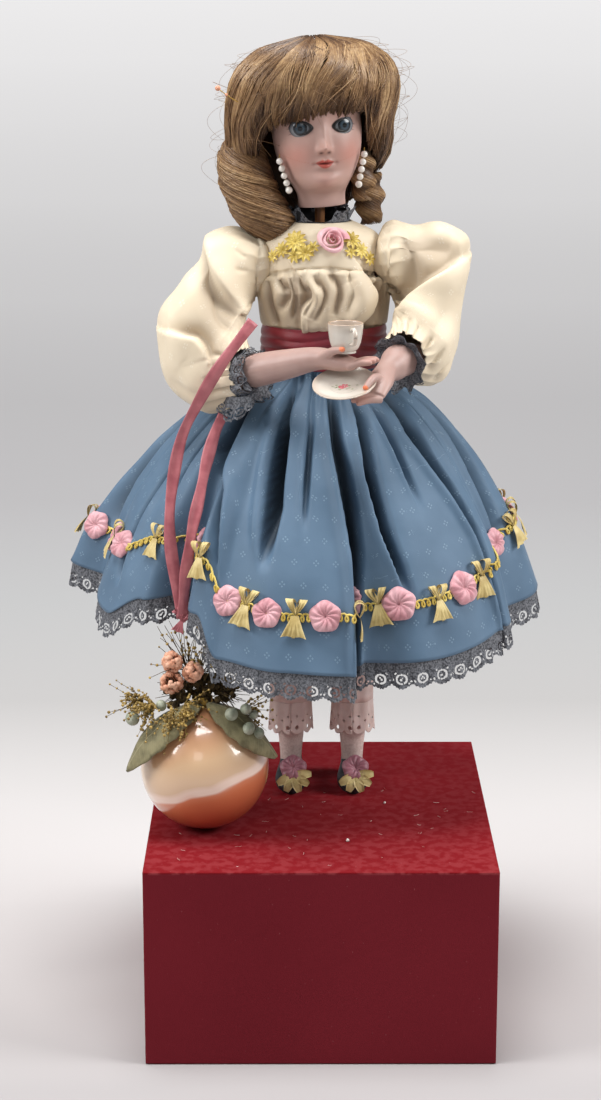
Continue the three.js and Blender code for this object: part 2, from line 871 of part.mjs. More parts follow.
function stopLever() {
  const reach = boxDepth / 2 + stopReach - stopLeverY;
  const arm = block(stopLeverWidth, reach, stopLeverThickness, stopLeverX, stopLeverY + reach / 2, stopLeverZ);
  const half = stopLeverThickness / 2;
  const hub = upright(stopHubRadius, stopLeverThickness, stopLeverX, stopLeverY, stopLeverZ - half, 12);
  const knob = new THREE.SphereGeometry(stopKnobRadius, 8, 6).translate(stopLeverX, stopLeverY + reach, stopLeverZ);
  const bore = upright(
    arborRadius + runningGap,
    stopLeverThickness + 2 * cutOverrun,
    stopLeverX,
    stopLeverY,
    stopLeverZ - half - cutOverrun,
    12,
  );
  return cut(joined(arm, hub, knob), bore);
}

// Figure, static pieces

// Radii of a leg as shares of its length up from the ankle
const legHeightShares = [0.04, 0.1, 0.2, 0.36, 0.5, 0.62, 0.8, 1];
const legRadiusShares = [0, 0, 0.5, 1, 0.8, 0.9, 1.5, 2.35];

function leg(x) {
  const ring = (radius, height) => levelRing(10, x, 0, height, radius, radius);
  const radiusAt = (share) => ankleRadius + (calfRadius - ankleRadius) * Math.min(share, 1) +
    (thighRadius - calfRadius) * Math.max(0, share - 1) / 1.35;
  const bottom = soleThickness + seatGap;
  const rings = legHeightShares.map((share, i) => {
    const height = i === 0 ? bottom : hipHeight * share;
    return ring(radiusAt(legRadiusShares[i]), height);
  });
  rings[rings.length - 1] = ring(thighRadius, hipHeight - seatGap);
  const bore = upright(rodBoreRadius, hipHeight + 2 * cutOverrun, x, 0, -cutOverrun, 12);
  return cut(loft(rings), bore);
}

// Outline shares of a shoe: rings from the sole up, as height, length and width shares
const shoeHeightShares = [0, 0.16, 0.34, 0.6, 0.82, 1];
const shoeLengthShares = [0.96, 1, 0.94, 0.72, 0.56, 0.5];
const shoeWidthShares = [0.92, 1, 0.98, 0.9, 0.86, 0.88];

function shoe(x) {
  const rings = shoeHeightShares.map((share, i) => {
    const length = shoeLength * shoeLengthShares[i];
    const halfWidth = (shoeWidth * shoeWidthShares[i]) / 2;
    const back = shoeHeelBack;
    const middle = back - length / 2;
    return levelRing(10, x, middle, seatGap + share * shoeHeight, halfWidth, length / 2);
  });
  const pocket = upright(ankleRadius + seatGap, shoeHeight + cutOverrun, x, 0, soleThickness, 14);
  const bore = upright(rodBoreRadius, 2 * soleThickness, x, 0, -cutOverrun, 12);
  return cut(loft(rings), pocket, bore);
}

function hipBlock() {
  const bottom = hipHeight;
  const middleX = (rightLegX + leftLegX) / 2;
  const half = hipBlockThickness - seatGap;
  const body = loft([
    levelRing(20, middleX, 0, bottom, torsoHalfWidth, torsoHalfDepth),
    levelRing(20, middleX, 0, bottom + half, torsoHalfWidth, torsoHalfDepth),
  ]);
  const bores = [rightLegX, leftLegX].map((x) => upright(rodBoreRadius, half + 2 * cutOverrun, x, 0, bottom - cutOverrun, 12));
  return cut(body, ...bores);
}

// Torso outline as shares of its height, half width and half depth
const torsoHeightShares = [0, 0.22, 0.45, 0.62, 0.8, 0.92, 1];
const torsoWidthShares = [1, 0.94, 0.87, 0.9, 0.98, 1, 0.86];
const torsoDepthShares = [1, 0.88, 0.78, 0.88, 1.08, 0.98, 0.8];

function torso() {
  const rings = (wall) =>
    torsoHeightShares.map((share, i) =>
      levelRing(
        12,
        waistShift / 2,
        0,
        torsoBottom + (torsoTop - torsoBottom) * share,
        torsoHalfWidth * torsoWidthShares[i] - wall,
        torsoHalfDepth * torsoDepthShares[i] - wall,
      ),
    );
  return cut(shell(rings(0), rings(torsoWall)), axleAlongX(shoulderAxleRadius + seatGap, shoulderFace));
}

// The plate closes the torso and carries the neck ring that the stem turns in.
function shoulderPlate() {
  const bottom = torsoTop + seatGap;
  const halfWidth = torsoHalfWidth * torsoWidthShares.at(-1);
  const halfDepth = torsoHalfDepth * torsoDepthShares.at(-1);
  const plate = loft([
    levelRing(14, waistShift / 2, 0, bottom, halfWidth, halfDepth),
    levelRing(14, waistShift / 2, 0, bottom + shoulderPlateThickness / 2, halfWidth, halfDepth),
    levelRing(14, 0, 0, bottom + shoulderPlateThickness, neckRingRadius + cutOverrun, halfDepth),
  ]);
  const ring = upright(neckRingRadius, neckRingHeight, 0, 0, bottom + cutOverrun, 14);
  const hollow = upright(neckRingRadius - torsoWall / 2, neckRingHeight, 0, 0, bottom + shoulderPlateThickness, 12);
  const bore = upright(neckStemRadius + runningGap, 2 * neckRingHeight, 0, 0, bottom - cutOverrun, 12);
  return cut(joined(plate, ring), hollow, bore);
}

// Arms

function direction(from, to) {
  return to.clone().sub(from).normalize();
}

function discAcross(axis, centre, radius, thickness, sides = 16) {
  const disc = new THREE.CylinderGeometry(radius, radius, thickness, sides);
  const turn = new THREE.Quaternion().setFromUnitVectors(new THREE.Vector3(0, 1, 0), axis);
  return disc.applyQuaternion(turn).translate(...centre.toArray());
}

// The axle runs through the torso from side to side and both arms swing on it.
function axleAlongX(radius, half) {
  return discAcross(new THREE.Vector3(1, 0, 0), new THREE.Vector3(waistShift / 2, 0, shoulderHeight), radius, 2 * half, 12);
}

function shoulderAxle() {
  return axleAlongX(shoulderAxleRadius, shoulderFace + shoulderHubThickness);
}

function upperArm(side, bend, middle, elbow, cuffPoint) {
  const axis = new THREE.Vector3(1, 0, 0);
  const hubX = waistShift / 2 + side * (shoulderFace + shoulderHubThickness / 2);
  const hubCentre = new THREE.Vector3(hubX, 0, shoulderHeight);
  const hub = discAcross(axis, hubCentre, shoulderHubRadius, shoulderHubThickness, 14);
  const along = direction(elbow, cuffPoint);
  const end = elbow.clone().addScaledVector(along, forearmStart - seatGap);
  const plugEnd = end.clone().addScaledVector(along, elbowPlugLength);
  const round = [upperArmRadius, upperArmRadius];
  const slim = [elbowRadius, elbowRadius];
  const plugRound = [elbowPlugRadius, elbowPlugRadius];
  const arm = limb([hubCentre, bend, middle, elbow, end], [round, round, round, slim, slim], 8);
  const plug = limb([elbow, plugEnd], [plugRound, plugRound], 8);
  const bore = axleAlongX(shoulderAxleRadius + runningGap, shoulderFace + shoulderHubThickness + seatGap);
  const torsoSpace = block(
    2 * shoulderFace,
    4 * torsoHalfDepth,
    2 * shoulderHeight,
    waistShift / 2,
    0,
    shoulderHeight,
  );
  return cut(joined(hub, arm, plug), bore, torsoSpace);
}

function finger(from, to, lift) {
  const middle = from.clone().lerp(to, 0.55);
  middle.z += lift;
  const thick = [fingerRadius, fingerRadius];
  const thin = [fingerTipRadius, fingerTipRadius];
  const past = to.clone().addScaledVector(direction(middle, to), fingerTipRadius * 0.8);
  const point = [fingerTipRadius * 0.5, fingerTipRadius * 0.5];
  return limb([from, middle, to, past], [thick, thick, thin, point], 5);
}

// Forearm from its elbow socket to the palm, as one modelled limb with its fingers and thumb.
function forearm(pose) {
  const { elbow, cuffPoint, wrist, palm, knuckles, spread, reach, thumbFrom, thumbTo } = pose;
  const along = direction(elbow, cuffPoint);
  const start = elbow.clone().addScaledVector(along, forearmStart);
  const points = [start, cuffPoint, cuffPoint.clone().lerp(wrist, 0.5), wrist, palm, knuckles];
  const sections = [
    [forearmRadius * 0.85, forearmRadius * 0.85],
    [forearmRadius, forearmRadius],
    [forearmRadius * 0.88, forearmRadius * 0.9],
    [wristRadius, wristRadius],
    [palmHalfDepth, palmHalfHeight],
    [palmHalfDepth * 0.96, palmHalfHeight * 0.62],
  ];
  const arm = limb(points, sections, 10);
  const fingers = [-1.5, -0.5, 0.5, 1.5].map((place) => {
    const base = knuckles.clone().addScaledVector(spread, place * fingerPitch);
    const tip = base.clone().addScaledVector(reach, fingerLength);
    return finger(base, tip, 0);
  });
  const thumb = finger(thumbFrom, thumbTo, fingerRadius / 2);
  const socketRadius = elbowPlugRadius + seatGap;
  const socketEnd = start.clone().addScaledVector(along, elbowPlugLength);
  const socket = limb([elbow, socketEnd], [[socketRadius, socketRadius], [socketRadius, socketRadius]], 8);
  return cut(joined(arm, ...fingers, thumb), socket);
}

const rightHandPose = {
  elbow: rightElbow,
  cuffPoint: rightCuffPoint,
  wrist: rightWrist,
  palm: rightPalm,
  knuckles: rightKnuckles,
  spread: new THREE.Vector3(0.25, 0.97, 0),
  reach: new THREE.Vector3(0.93, -0.1, 0.2),
  thumbFrom: new THREE.Vector3(0, -79, 281.5),
  thumbTo: new THREE.Vector3(11, -90.8, 287.6),
};

const leftHandPose = {
  elbow: leftElbow,
  cuffPoint: leftCuffPoint,
  wrist: leftWrist,
  palm: leftPalm,
  knuckles: leftKnuckles,
  spread: new THREE.Vector3(0.35, -0.6, -0.35),
  reach: new THREE.Vector3(-0.9, -0.3, -0.1),
  thumbFrom: new THREE.Vector3(33, -82, 270),
  thumbTo: new THREE.Vector3(25.5, -93.5, 267.4),
};

// The cup's outline, turned: foot, bowl and lip outside, then the hollow back to the axis.
function cupOutline(extra) {
  const rim = cupRimRadius + extra;
  const base = cupBaseRadius + extra;
  return [
    new THREE.Vector2(0, -extra),
    new THREE.Vector2(base, -extra),
    new THREE.Vector2(base + cupWall / 2, cupHeight * 0.08),
    new THREE.Vector2(rim * 0.86, cupHeight * 0.34),
    new THREE.Vector2(rim * 0.95, cupHeight * 0.66),
    new THREE.Vector2(rim, cupHeight + extra),
  ];
}

function turned(points, sides) {
  return new THREE.LatheGeometry(points, sides).rotateX(Math.PI / 2);
}

function cup() {
  const outside = cupOutline(0);
  const inside = outside
    .slice(2)
    .reverse()
    .map((point) => new THREE.Vector2(point.x - cupWall, Math.max(point.y, 2 * cupWall)));
  const bowl = turned([...outside, ...inside, new THREE.Vector2(0, 2 * cupWall)], 16);
  const top = cupHeight * 0.8;
  const bottom = cupHeight * 0.34;
  const wallTop = cupRimRadius - cupWall / 2;
  const wallBottom = cupRimRadius * 0.9 - cupWall / 2;
  const path = [
    new THREE.Vector3(0, -wallTop, top),
    new THREE.Vector3(0, -wallTop - cupHandleReach * 0.8, top + cupHandleRadius),
    new THREE.Vector3(0, -wallTop - cupHandleReach, (top + bottom) / 2),
    new THREE.Vector3(0, -wallBottom - cupHandleReach * 0.6, bottom + cupHandleRadius),
    new THREE.Vector3(0, -wallBottom, bottom),
  ];
  const section = [cupHandleRadius * 1.3, cupHandleRadius];
  const handle = limb(path, path.map(() => section), 5);
  return joined(bowl, handle).rotateZ(THREE.MathUtils.degToRad(20)).translate(...cupCentre.toArray());
}

function cupSpace() {
  const outline = [...cupOutline(seatGap), new THREE.Vector2(0, cupHeight + seatGap)];
  return turned(outline, 16).translate(...cupCentre.toArray());
}

function placedSaucer(geometry) {
  return geometry
    .rotateX(THREE.MathUtils.degToRad(saucerPitch))
    .rotateY(THREE.MathUtils.degToRad(saucerRoll))
    .translate(...saucerCentre.toArray());
}

function saucer() {
  const well = saucerRadius * 0.42;
  const outline = [
    new THREE.Vector2(0, -saucerWall),
    new THREE.Vector2(well, -saucerWall),
    new THREE.Vector2(saucerRadius * 0.8, 0),
    new THREE.Vector2(saucerRadius, saucerRise - saucerWall * 0.6),
    new THREE.Vector2(saucerRadius, saucerRise - saucerWall * 0.2),
    new THREE.Vector2(saucerRadius * 0.78, saucerWall),
    new THREE.Vector2(well, 0),
    new THREE.Vector2(0, 0),
  ];
  return placedSaucer(turned(outline, 20));
}

function saucerSpace() {
  const height = saucerRise + saucerWall + 2 * seatGap;
  const slab = new THREE.CylinderGeometry(saucerRadius + seatGap, saucerRadius + seatGap, height, 20);
  return placedSaucer(slab.rotateX(Math.PI / 2).translate(0, 0, height / 2 - saucerWall - seatGap));
}

// Head

// Head outline as shares: height up from the neck rim, then half width, front and back depths.
const headHeightShares = [0, 0.1, 0.15, 0.2, 0.255, 0.31, 0.37, 0.43, 0.5, 0.57, 0.64, 0.72, 0.82, 0.91, 0.97];
const headWidthShares = [0.53, 0.56, 0.64, 0.74, 0.83, 0.9, 0.95, 0.98, 1, 1, 1, 0.98, 0.9, 0.7, 0.42];
const headFrontShares = [0.5, 0.62, 0.86, 0.95, 0.93, 0.95, 0.97, 0.98, 0.98, 0.97, 1, 1.02, 0.96, 0.76, 0.46];
const headBackShares = [0.37, 0.38, 0.42, 0.5, 0.6, 0.7, 0.8, 0.88, 0.95, 1, 1.02, 1.02, 0.95, 0.76, 0.46];

function bump(x, z, centreX, centreZ, halfWidth, halfHeight) {
  return Math.exp(-(((x - centreX) / halfWidth) ** 2) - ((z - centreZ) / halfHeight) ** 2);
}

// How far the face stands out of the plain oval at a place on its front.
function faceRelief(x, z) {
  const unit = headHalfWidth;
  const noseZ = headRimHeight + 0.42 * (headTopHeight - headRimHeight);
  const bridge = bump(x, z, 0, noseZ + 0.22 * unit, 0.9 * noseHalfWidth, 0.36 * unit) * noseReach * 0.45;
  const nose = bump(x, z, 0, noseZ, noseHalfWidth, 0.15 * unit) * noseReach * 0.72;
  const wings = bump(Math.abs(x), z, noseHalfWidth * 0.9, noseZ - 0.06 * unit, noseHalfWidth * 0.7, 0.08 * unit);
  const lips = bump(x, z, 0, noseZ - 0.36 * unit, 0.26 * unit, 0.1 * unit);
  const chin = bump(x, z, 0, noseZ - 0.74 * unit, 0.32 * unit, 0.22 * unit);
  const cheeks = bump(Math.abs(x), z, 0.5 * unit, noseZ - 0.1 * unit, 0.3 * unit, 0.36 * unit);
  const sockets = bump(Math.abs(x), z, eyeSpacing, eyeHeight, 0.3 * unit, 0.2 * unit);
  const small = noseReach * 0.2;
  return bridge + nose + small * (wings * 0.9 + lips * 1.3 + chin * 1.2 + cheeks * 0.7 - sockets * 1.1);
}

function headRings(sides, extra) {
  const full = headTopHeight - headRimHeight;
  return headHeightShares.map((share, i) => {
    const height = headRimHeight + full * share + (i === 0 ? -extra : 0);
    const halfWidth = headHalfWidth * headWidthShares[i] + extra;
    const front = headFrontDepth * headFrontShares[i] + extra;
    const back = headBackDepth * headBackShares[i] + extra;
    return Array.from({ length: sides }, (_, k) => {
      const turn = (2 * Math.PI * k) / sides;
      const x = halfWidth * Math.sin(turn);
      const forward = Math.cos(turn);
      const facing = Math.max(0, forward);
      const depth = forward > 0 ? front * forward : back * forward;
      return new THREE.Vector3(x, -depth - facing * faceRelief(x, height), height);
    });
  });
}

function headGeometry() {
  const crown = new THREE.Vector3(0, 0, headTopHeight);
  const rings = headRings(24, 0);
  rings.push(rings.at(-1).map((point) => point.clone().lerp(crown, 0.75).setZ(headTopHeight)));
  const solid = loft(rings);
  const socketHeight = neckPivotHeight - headRimHeight;
  const socket = loft([
    levelRing(16, 0, 0, headRimHeight - cutOverrun, neckSocketRadius + cutOverrun, neckSocketRadius + cutOverrun),
    levelRing(16, 0, 0, headRimHeight + socketHeight, neckSocketRadius, neckSocketRadius),
    levelRing(16, 0, 0, neckPivotHeight + neckSocketTop, neckSocketRadius * 0.7, neckSocketRadius * 0.7),
  ]);
  const pinHoles = new THREE.CylinderGeometry(neckPinRadius + runningGap, neckPinRadius + runningGap, 2 * (neckPinHalf + seatGap), 12)
    .rotateZ(Math.PI / 2)
    .translate(0, 0, neckPivotHeight);
  const eyes = [-1, 1].map((side) => eyeBall(side, eyeRadius + seatGap));
  return cut(solid, socket, pinHoles, ...eyes);
}

function eyeBall(side, radius) {
  return new THREE.SphereGeometry(radius, 12, 8).translate(side * eyeSpacing, -eyeSetBack, eyeHeight);
}

function neckBlock() {
  const bottom = torsoTop - neckDiscThickness - seatGap;
  const stem = upright(neckStemRadius, neckPivotHeight + neckStemRadius - bottom, 0, 0, bottom, 10);
  const disc = upright(neckDiscRadius, neckDiscThickness, 0, 0, bottom, 14);
  const collarBottom = torsoTop + shoulderPlateThickness + 2 * seatGap;
  const collar = upright(2 * neckStemRadius, neckDiscThickness, 0, 0, collarBottom, 12);
  const pin = new THREE.CylinderGeometry(neckPinRadius, neckPinRadius, 2 * neckPinHalf, 8)
    .rotateZ(Math.PI / 2)
    .rotateY(THREE.MathUtils.degToRad(headRoll))
    .translate(0, 0, neckPivotHeight);
  return joined(stem, disc, collar, pin);
}

function earring(side) {
  const pearls = Array.from({ length: pearlCount }, (_, k) => {
    const drop = k * pearlPitch;
    const x = side * (earringSpread - k * pearlPitch * 0.12);
    return new THREE.SphereGeometry(pearlRadius, 6, 3).translate(x, earringForward, earringHeight - drop);
  });
  const wire = upright(
    pearlRadius / 3,
    pearlCount * pearlPitch,
    side * (earringSpread - pearlPitch * 0.2),
    earringForward,
    earringHeight - (pearlCount - 1) * pearlPitch,
    4,
  );
  return joined(wire, ...pearls);
}

// Wig outline shares: height up from its bottom, half width, front and back depth
const wigHeightShares = [0, 0.1, 0.22, 0.36, 0.5, 0.6, 0.7, 0.8, 0.89, 0.96, 1];
const wigWidthShares = [0.5, 0.68, 0.76, 0.8, 0.9, 0.97, 1, 0.96, 0.8, 0.52, 0.2];
const wigFrontShares = [-0.25, -0.1, 0, 0.1, 0.5, 0.95, 1.06, 1.02, 0.86, 0.58, 0.22];
const wigBackShares = [0.55, 0.75, 0.86, 0.92, 0.97, 1, 1, 0.95, 0.8, 0.55, 0.22];

function wig() {
  const full = wigTopHeight - wigBottomHeight;
  const outer = loft(
    wigHeightShares.map((share, i) => {
      const halfWidth = wigHalfWidth * wigWidthShares[i];
      const front = wigFrontDepth * wigFrontShares[i];
      const back = wigBackDepth * wigBackShares[i];
      const middle = (back - front) / 2;
      return levelRing(18, -wigHalfWidth * 0.05, middle, wigBottomHeight + full * share, halfWidth, (front + back) / 2);
    }),
  );
  const rollRings = Array.from({ length: 2 * rollRidges + 1 }, (_, k) => {
    const share = k / (2 * rollRidges);
    const swell = Math.sqrt(Math.max(0.12, 1 - (2 * share - 1) ** 4));
    const ridge = k % 2 ? rollRidgeDepth : 0;
    const radius = rollRadius * swell - ridge;
    const height = rollBottomHeight + (rollTopHeight - rollBottomHeight) * share;
    return levelRing(14, rollCentreX + share * 2, rollRadius * 0.2, height, radius, radius * 1.1);
  });
  const lockRings = Array.from({ length: 2 * rollRidges + 1 }, (_, k) => {
    const share = k / (2 * rollRidges);
    const ridge = k % 2 ? rollRidgeDepth : 0;
    const radius = lockRadius * (0.75 + 0.25 * share) - ridge;
    const height = rollBottomHeight + (rollTopHeight - rollBottomHeight) * 0.8 * share;
    return levelRing(8, -rollCentreX * 0.78 - share * 4, rollRadius * 0.55, height, radius, radius);
  });
  const windowHeight = bangHeight - wigBottomHeight + 10 * cutOverrun;
  const faceWindow = block(
    2 * faceWindowHalfWidth,
    2 * wigFrontDepth,
    windowHeight,
    0,
    -wigFrontDepth + cutOverrun,
    bangHeight - windowHeight / 2,
  );
  const earringHeightSpace = pearlCount * pearlPitch + 2 * pearlRadius;
  const earringSpace = block(
    2 * (earringSpread + pearlRadius + 2 * seatGap),
    2 * wigFrontDepth,
    earringHeightSpace,
    0,
    earringForward + pearlRadius + 2 * seatGap - wigFrontDepth,
    earringHeight + 2 * pearlRadius - earringHeightSpace / 2,
  );
  const neckSpace = upright(
    collarRadius + collarRuffle + 2 * cutOverrun,
    bodiceTop + collarHeight - rollBottomHeight + 4 * cutOverrun,
    0,
    0,
    rollBottomHeight - 2 * cutOverrun,
    20,
  );
  const eyeSpaces = [-1, 1].map((side) => eyeBall(side, eyeRadius + 2 * seatGap));
  const crown = new THREE.Vector3(0, 0, headTopHeight + seatGap);
  const headSpaceRings = headRings(12, 5 * seatGap);
  headSpaceRings.push(headSpaceRings.at(-1).map((point) => point.clone().lerp(crown, 0.7).setZ(headTopHeight + 5 * seatGap)));
  const headSpace = loft(headSpaceRings);
  return cut(joined(outer, loft(rollRings), loft(lockRings)), faceWindow, earringSpace, neckSpace, headSpace, ...eyeSpaces);
}

// Clothes

// Bodice outline: heights from the neck edge down, with half width and half depth shares
const bodiceHeightShares = [0, 0.1, 0.24, 0.4, 0.6, 0.8, 1];
const bodiceWidthShares = [0.52, 0.78, 0.96, 1, 1.01, 0.98, 0.965];
const bodiceDepthShares = [0.54, 0.68, 0.83, 0.9, 1.03, 1, 0.955];

function bodice() {
  const sides = 2 * bodiceGathers;
  const rings = (inset) =>
    bodiceHeightShares.map((share, i) => {
      const height = bodiceTop + (bodiceBottom - bodiceTop) * share;
      const gather = height < yokeBottom ? gatherDepth * (1 - Math.abs(share - 0.7)) : 0;
      const shift = waistShift * share;
      return levelRing(sides, shift, 0, height, bodiceHalfWidth * bodiceWidthShares[i] - inset, bodiceHalfDepth * bodiceDepthShares[i] - inset)
        .map((point, k) => {
          const pull = k % 2 ? gather : 0;
          const out = new THREE.Vector3(point.x - shift, point.y, 0).normalize();
          return point.addScaledVector(out, -pull);
        });
    });
  const cloth = shell(rings(0), rings(clothThickness));
  const armholes = [-1, 1].map((side) =>
    discAcross(
      new THREE.Vector3(1, 0, 0),
      new THREE.Vector3(side * bodiceHalfWidth, 0, shoulderHeight),
      armholeRadius,
      bodiceHalfWidth / 2,
      16,
    ),
  );
  return cut(cloth, ...armholes);
}

function sash() {
  const levels = [0, 0.25, 0.5, 0.75, 1];
  const rings = (inset) =>
    levels.map((share, i) => {
      const fold = inset === 0 && i % 2 ? sashFoldDepth : 0;
      const height = sashBottom + (sashTop - sashBottom) * share;
      const out = sashThickness - inset - fold;
      return levelRing(20, waistShift, 0, height, sashHalfWidth + out, sashHalfDepth + out);
    });
  return shell(rings(0), rings(sashThickness));
}

// Skirt folds read round the hem, from the back of her left side through the front:
// the turn in degrees from the front towards +X, the reach share and the drop share.
const skirtTurnShares = [
  -97, -88, -69, -55, -47, -36, -28, -10, 9, 13, 31, 58, 68, 84, 98, 112, 127, 142, 157, 171, 186, 201, 216, 230, 246,
].map((degrees) => degrees / 360);
const skirtReachShares = [
  1.12, 0.95, 1, 0.93, 0.72, 0.93, 0.965, 1, 0.995, 0.86, 0.975, 0.96, 0.87, 0.965, 0.88, 1, 0.87, 1, 0.88, 1, 0.87,
  1, 0.88, 1.02, 0.9,
];
const skirtDropShares = [
  0.8, 0.83, 0.9, 0.81, 0.79, 0.82, 0.965, 0.985, 1, 0.985, 0.97, 0.92, 0.89, 0.86, 0.85, 0.86, 0.85, 0.87, 0.86,
  0.87, 0.86, 0.87, 0.85, 0.84, 0.82,
];
const skirtLevelShares = [0, 0.04, 0.18, 0.38, 0.58, 0.8, 1];
const skirtFlareShares = [0, 0, 0.27, 0.54, 0.74, 0.9, 1];
const samplesPerFold = 2;
const foldRiseExponent = 0.35;

// The skirt's hem at each sampled turn, eased between the ridges and valleys of its folds.
function hemSamples() {
  const folds = skirtTurnShares.length;
  return skirtTurnShares.flatMap((turn, i) => {
    const next = (i + 1) % folds;
    const nextTurn = skirtTurnShares[next] + (next === 0 ? 1 : 0);
    return Array.from({ length: samplesPerFold }, (_, k) => {
      const share = k / samplesPerFold;
      const ease = (1 - Math.cos(Math.PI * share)) / 2;
      return {
        turn: 2 * Math.PI * THREE.MathUtils.lerp(turn, nextTurn, share),
        reach: THREE.MathUtils.lerp(skirtReachShares[i], skirtReachShares[next], ease),
        drop: THREE.MathUtils.lerp(skirtDropShares[i], skirtDropShares[next], ease),
      };
    });
  });
}

function skirtPoint(sample, level, flare, inset) {
  const front = Math.cos(sample.turn) > 0 ? skirtFrontReach : skirtBackReach;
  const across = Math.sin(sample.turn) / skirtHalfWidth;
  const along = Math.cos(sample.turn) / front;
  const plainReach = 1 / Math.hypot(across, along);
  const waistAcross = Math.sin(sample.turn) / (sashHalfWidth - waistEase);
  const waistAlong = Math.cos(sample.turn) / (sashHalfDepth - waistEase);
  const waistReach = 1 / Math.hypot(waistAcross, waistAlong);
  const foldShare = 1 + (sample.reach - 1) * Math.pow(level, foldRiseExponent);
  const reach = waistReach + (plainReach * foldShare - waistReach) * flare - inset;
  const shift = waistShift * (1 - flare);
  const height = skirtTop - skirtDrop * sample.drop * level - (level < 1 ? inset : 0);
  return new THREE.Vector3(shift + reach * Math.sin(sample.turn), -reach * Math.cos(sample.turn), height);
}

function skirt() {
  const samples = hemSamples();
  const rings = (inset) => skirtLevelShares.map((level, i) => samples.map((sample) => skirtPoint(sample, level, skirtFlareShares[i], inset)));
  return shell(rings(0), rings(clothThickness));
}

// Lace sewn under the hem, with a scalloped lower edge.
function skirtLace() {
  const samples = hemSamples();
  const rows = (inset) => {
    const top = samples.map((sample) => skirtPoint(sample, 1, 1, inset).add(new THREE.Vector3(0, 0, -seatGap)));
    const bottom = top.map((point, k) => {
      const out = new THREE.Vector3(point.x, point.y, 0).normalize();
      const scallop = k % 2 ? laceScallop : 0;
      const fall = laceWidth - scallop;
      return point.clone().addScaledVector(out, laceWidth / 5).add(new THREE.Vector3(0, 0, -fall));
    });
    return [top, bottom];
  };
  return shell(rows(0), rows(clothThickness / 2));
}

// Sleeve stations from the armhole round to the cuff. The sleeve is a bag whose sections fan
// round the armpit: degrees round it, inner and outer reach shares, forward and width shares.
const rightSleeveDegrees = [90, 104, 125, 150, 175, 200, 222, 241, 255];
const rightInnerShares = [0.05, 0.03, 0.03, 0.03, 0.03, 0.045, 0.1, 0.18, 0.29];
const rightOuterShares = [0.57, 0.68, 0.76, 0.8, 0.82, 0.88, 0.98, 1, 0.76];
const rightForwardShares = [0, 0.02, 0.07, 0.14, 0.23, 0.33, 0.44, 0.56, 0.66];
const rightWidthShares = [0.25, 0.32, 0.37, 0.38, 0.38, 0.36, 0.33, 0.28, 0.23];
const rightTwistDegrees = [0, 0, 0, 2, 4, 8, 15, 24, 33];

const leftSleeveDegrees = [90, 106, 128, 150, 175, 198, 220, 240, 256];
const leftInnerShares = [0.05, 0.03, 0.03, 0.03, 0.03, 0.045, 0.075, 0.13, 0.19];
const leftOuterShares = [0.64, 0.76, 0.82, 0.83, 0.72, 0.66, 0.7, 0.75, 0.61];
const leftForwardShares = [0, 0, 0.04, 0.09, 0.15, 0.24, 0.37, 0.53, 0.69];
const leftWidthShares = [0.26, 0.33, 0.37, 0.4, 0.4, 0.38, 0.34, 0.28, 0.22];
const leftTwistDegrees = [0, 0, 0, 0, 6, 12, 26, 44, 62];
const sleeveSides = 16;

function sleeve(pivot, side, table) {
  const rings = (inset) =>
    table.degrees.map((degrees, i) => {
      const angle = THREE.MathUtils.degToRad(degrees);
      const twist = THREE.MathUtils.degToRad(table.twists[i]);
      const outward = new THREE.Vector3(-side * Math.cos(angle), 0, Math.sin(angle));
      const onward = new THREE.Vector3(side * Math.sin(angle), 0, Math.cos(angle));
      const across = new THREE.Vector3(0, Math.cos(twist), 0).addScaledVector(onward, Math.sin(twist));
      const inner = sleeveReach * table.inner[i];
      const outer = sleeveReach * table.outer[i];
      const half = (outer - inner) / 2;
      const centre = pivot.clone().addScaledVector(outward, inner + half);
      centre.y -= sleeveReach * table.forward[i];
      const width = sleeveReach * table.width[i];
      const edge = Math.abs(i / (table.degrees.length - 1) - 0.5) * 2;
      return Array.from({ length: sleeveSides }, (_, k) => {
        const turn = (2 * Math.PI * k) / sleeveSides;
        const pull = inset + (k % 2 ? sleeveGatherDepth * edge * edge : 0);
        return centre
          .clone()
          .addScaledVector(outward, (half - pull) * Math.cos(turn))
          .addScaledVector(across, (width - pull) * Math.sin(turn));
      });
    });
  const seam = (inset) => {
    const seamX = side * bodiceHalfWidth + waistShift * table.seamShift;
    return Array.from({ length: sleeveSides }, (_, k) => {
      const turn = (2 * Math.PI * k) / sleeveSides;
      const up = (sleeveSeamRadius - inset) * Math.cos(turn);
      return new THREE.Vector3(seamX, (sleeveSeamRadius - inset) * Math.sin(turn), shoulderHeight + up);
    });
  };
  return shell([seam(0), ...rings(0)], [seam(sleeveThickness), ...rings(sleeveThickness)]);
}

const rightSleeveTable = {
  degrees: rightSleeveDegrees,
  inner: rightInnerShares,
  outer: rightOuterShares,
  forward: rightForwardShares,
  width: rightWidthShares,
  twists: rightTwistDegrees,
  seamShift: rightSeamShiftShare,
};

const leftSleeveTable = {
  degrees: leftSleeveDegrees,
  inner: leftInnerShares,
  outer: leftOuterShares,
  forward: leftForwardShares,
  width: leftWidthShares,
  twists: leftTwistDegrees,
  seamShift: leftSeamShiftShare,
};

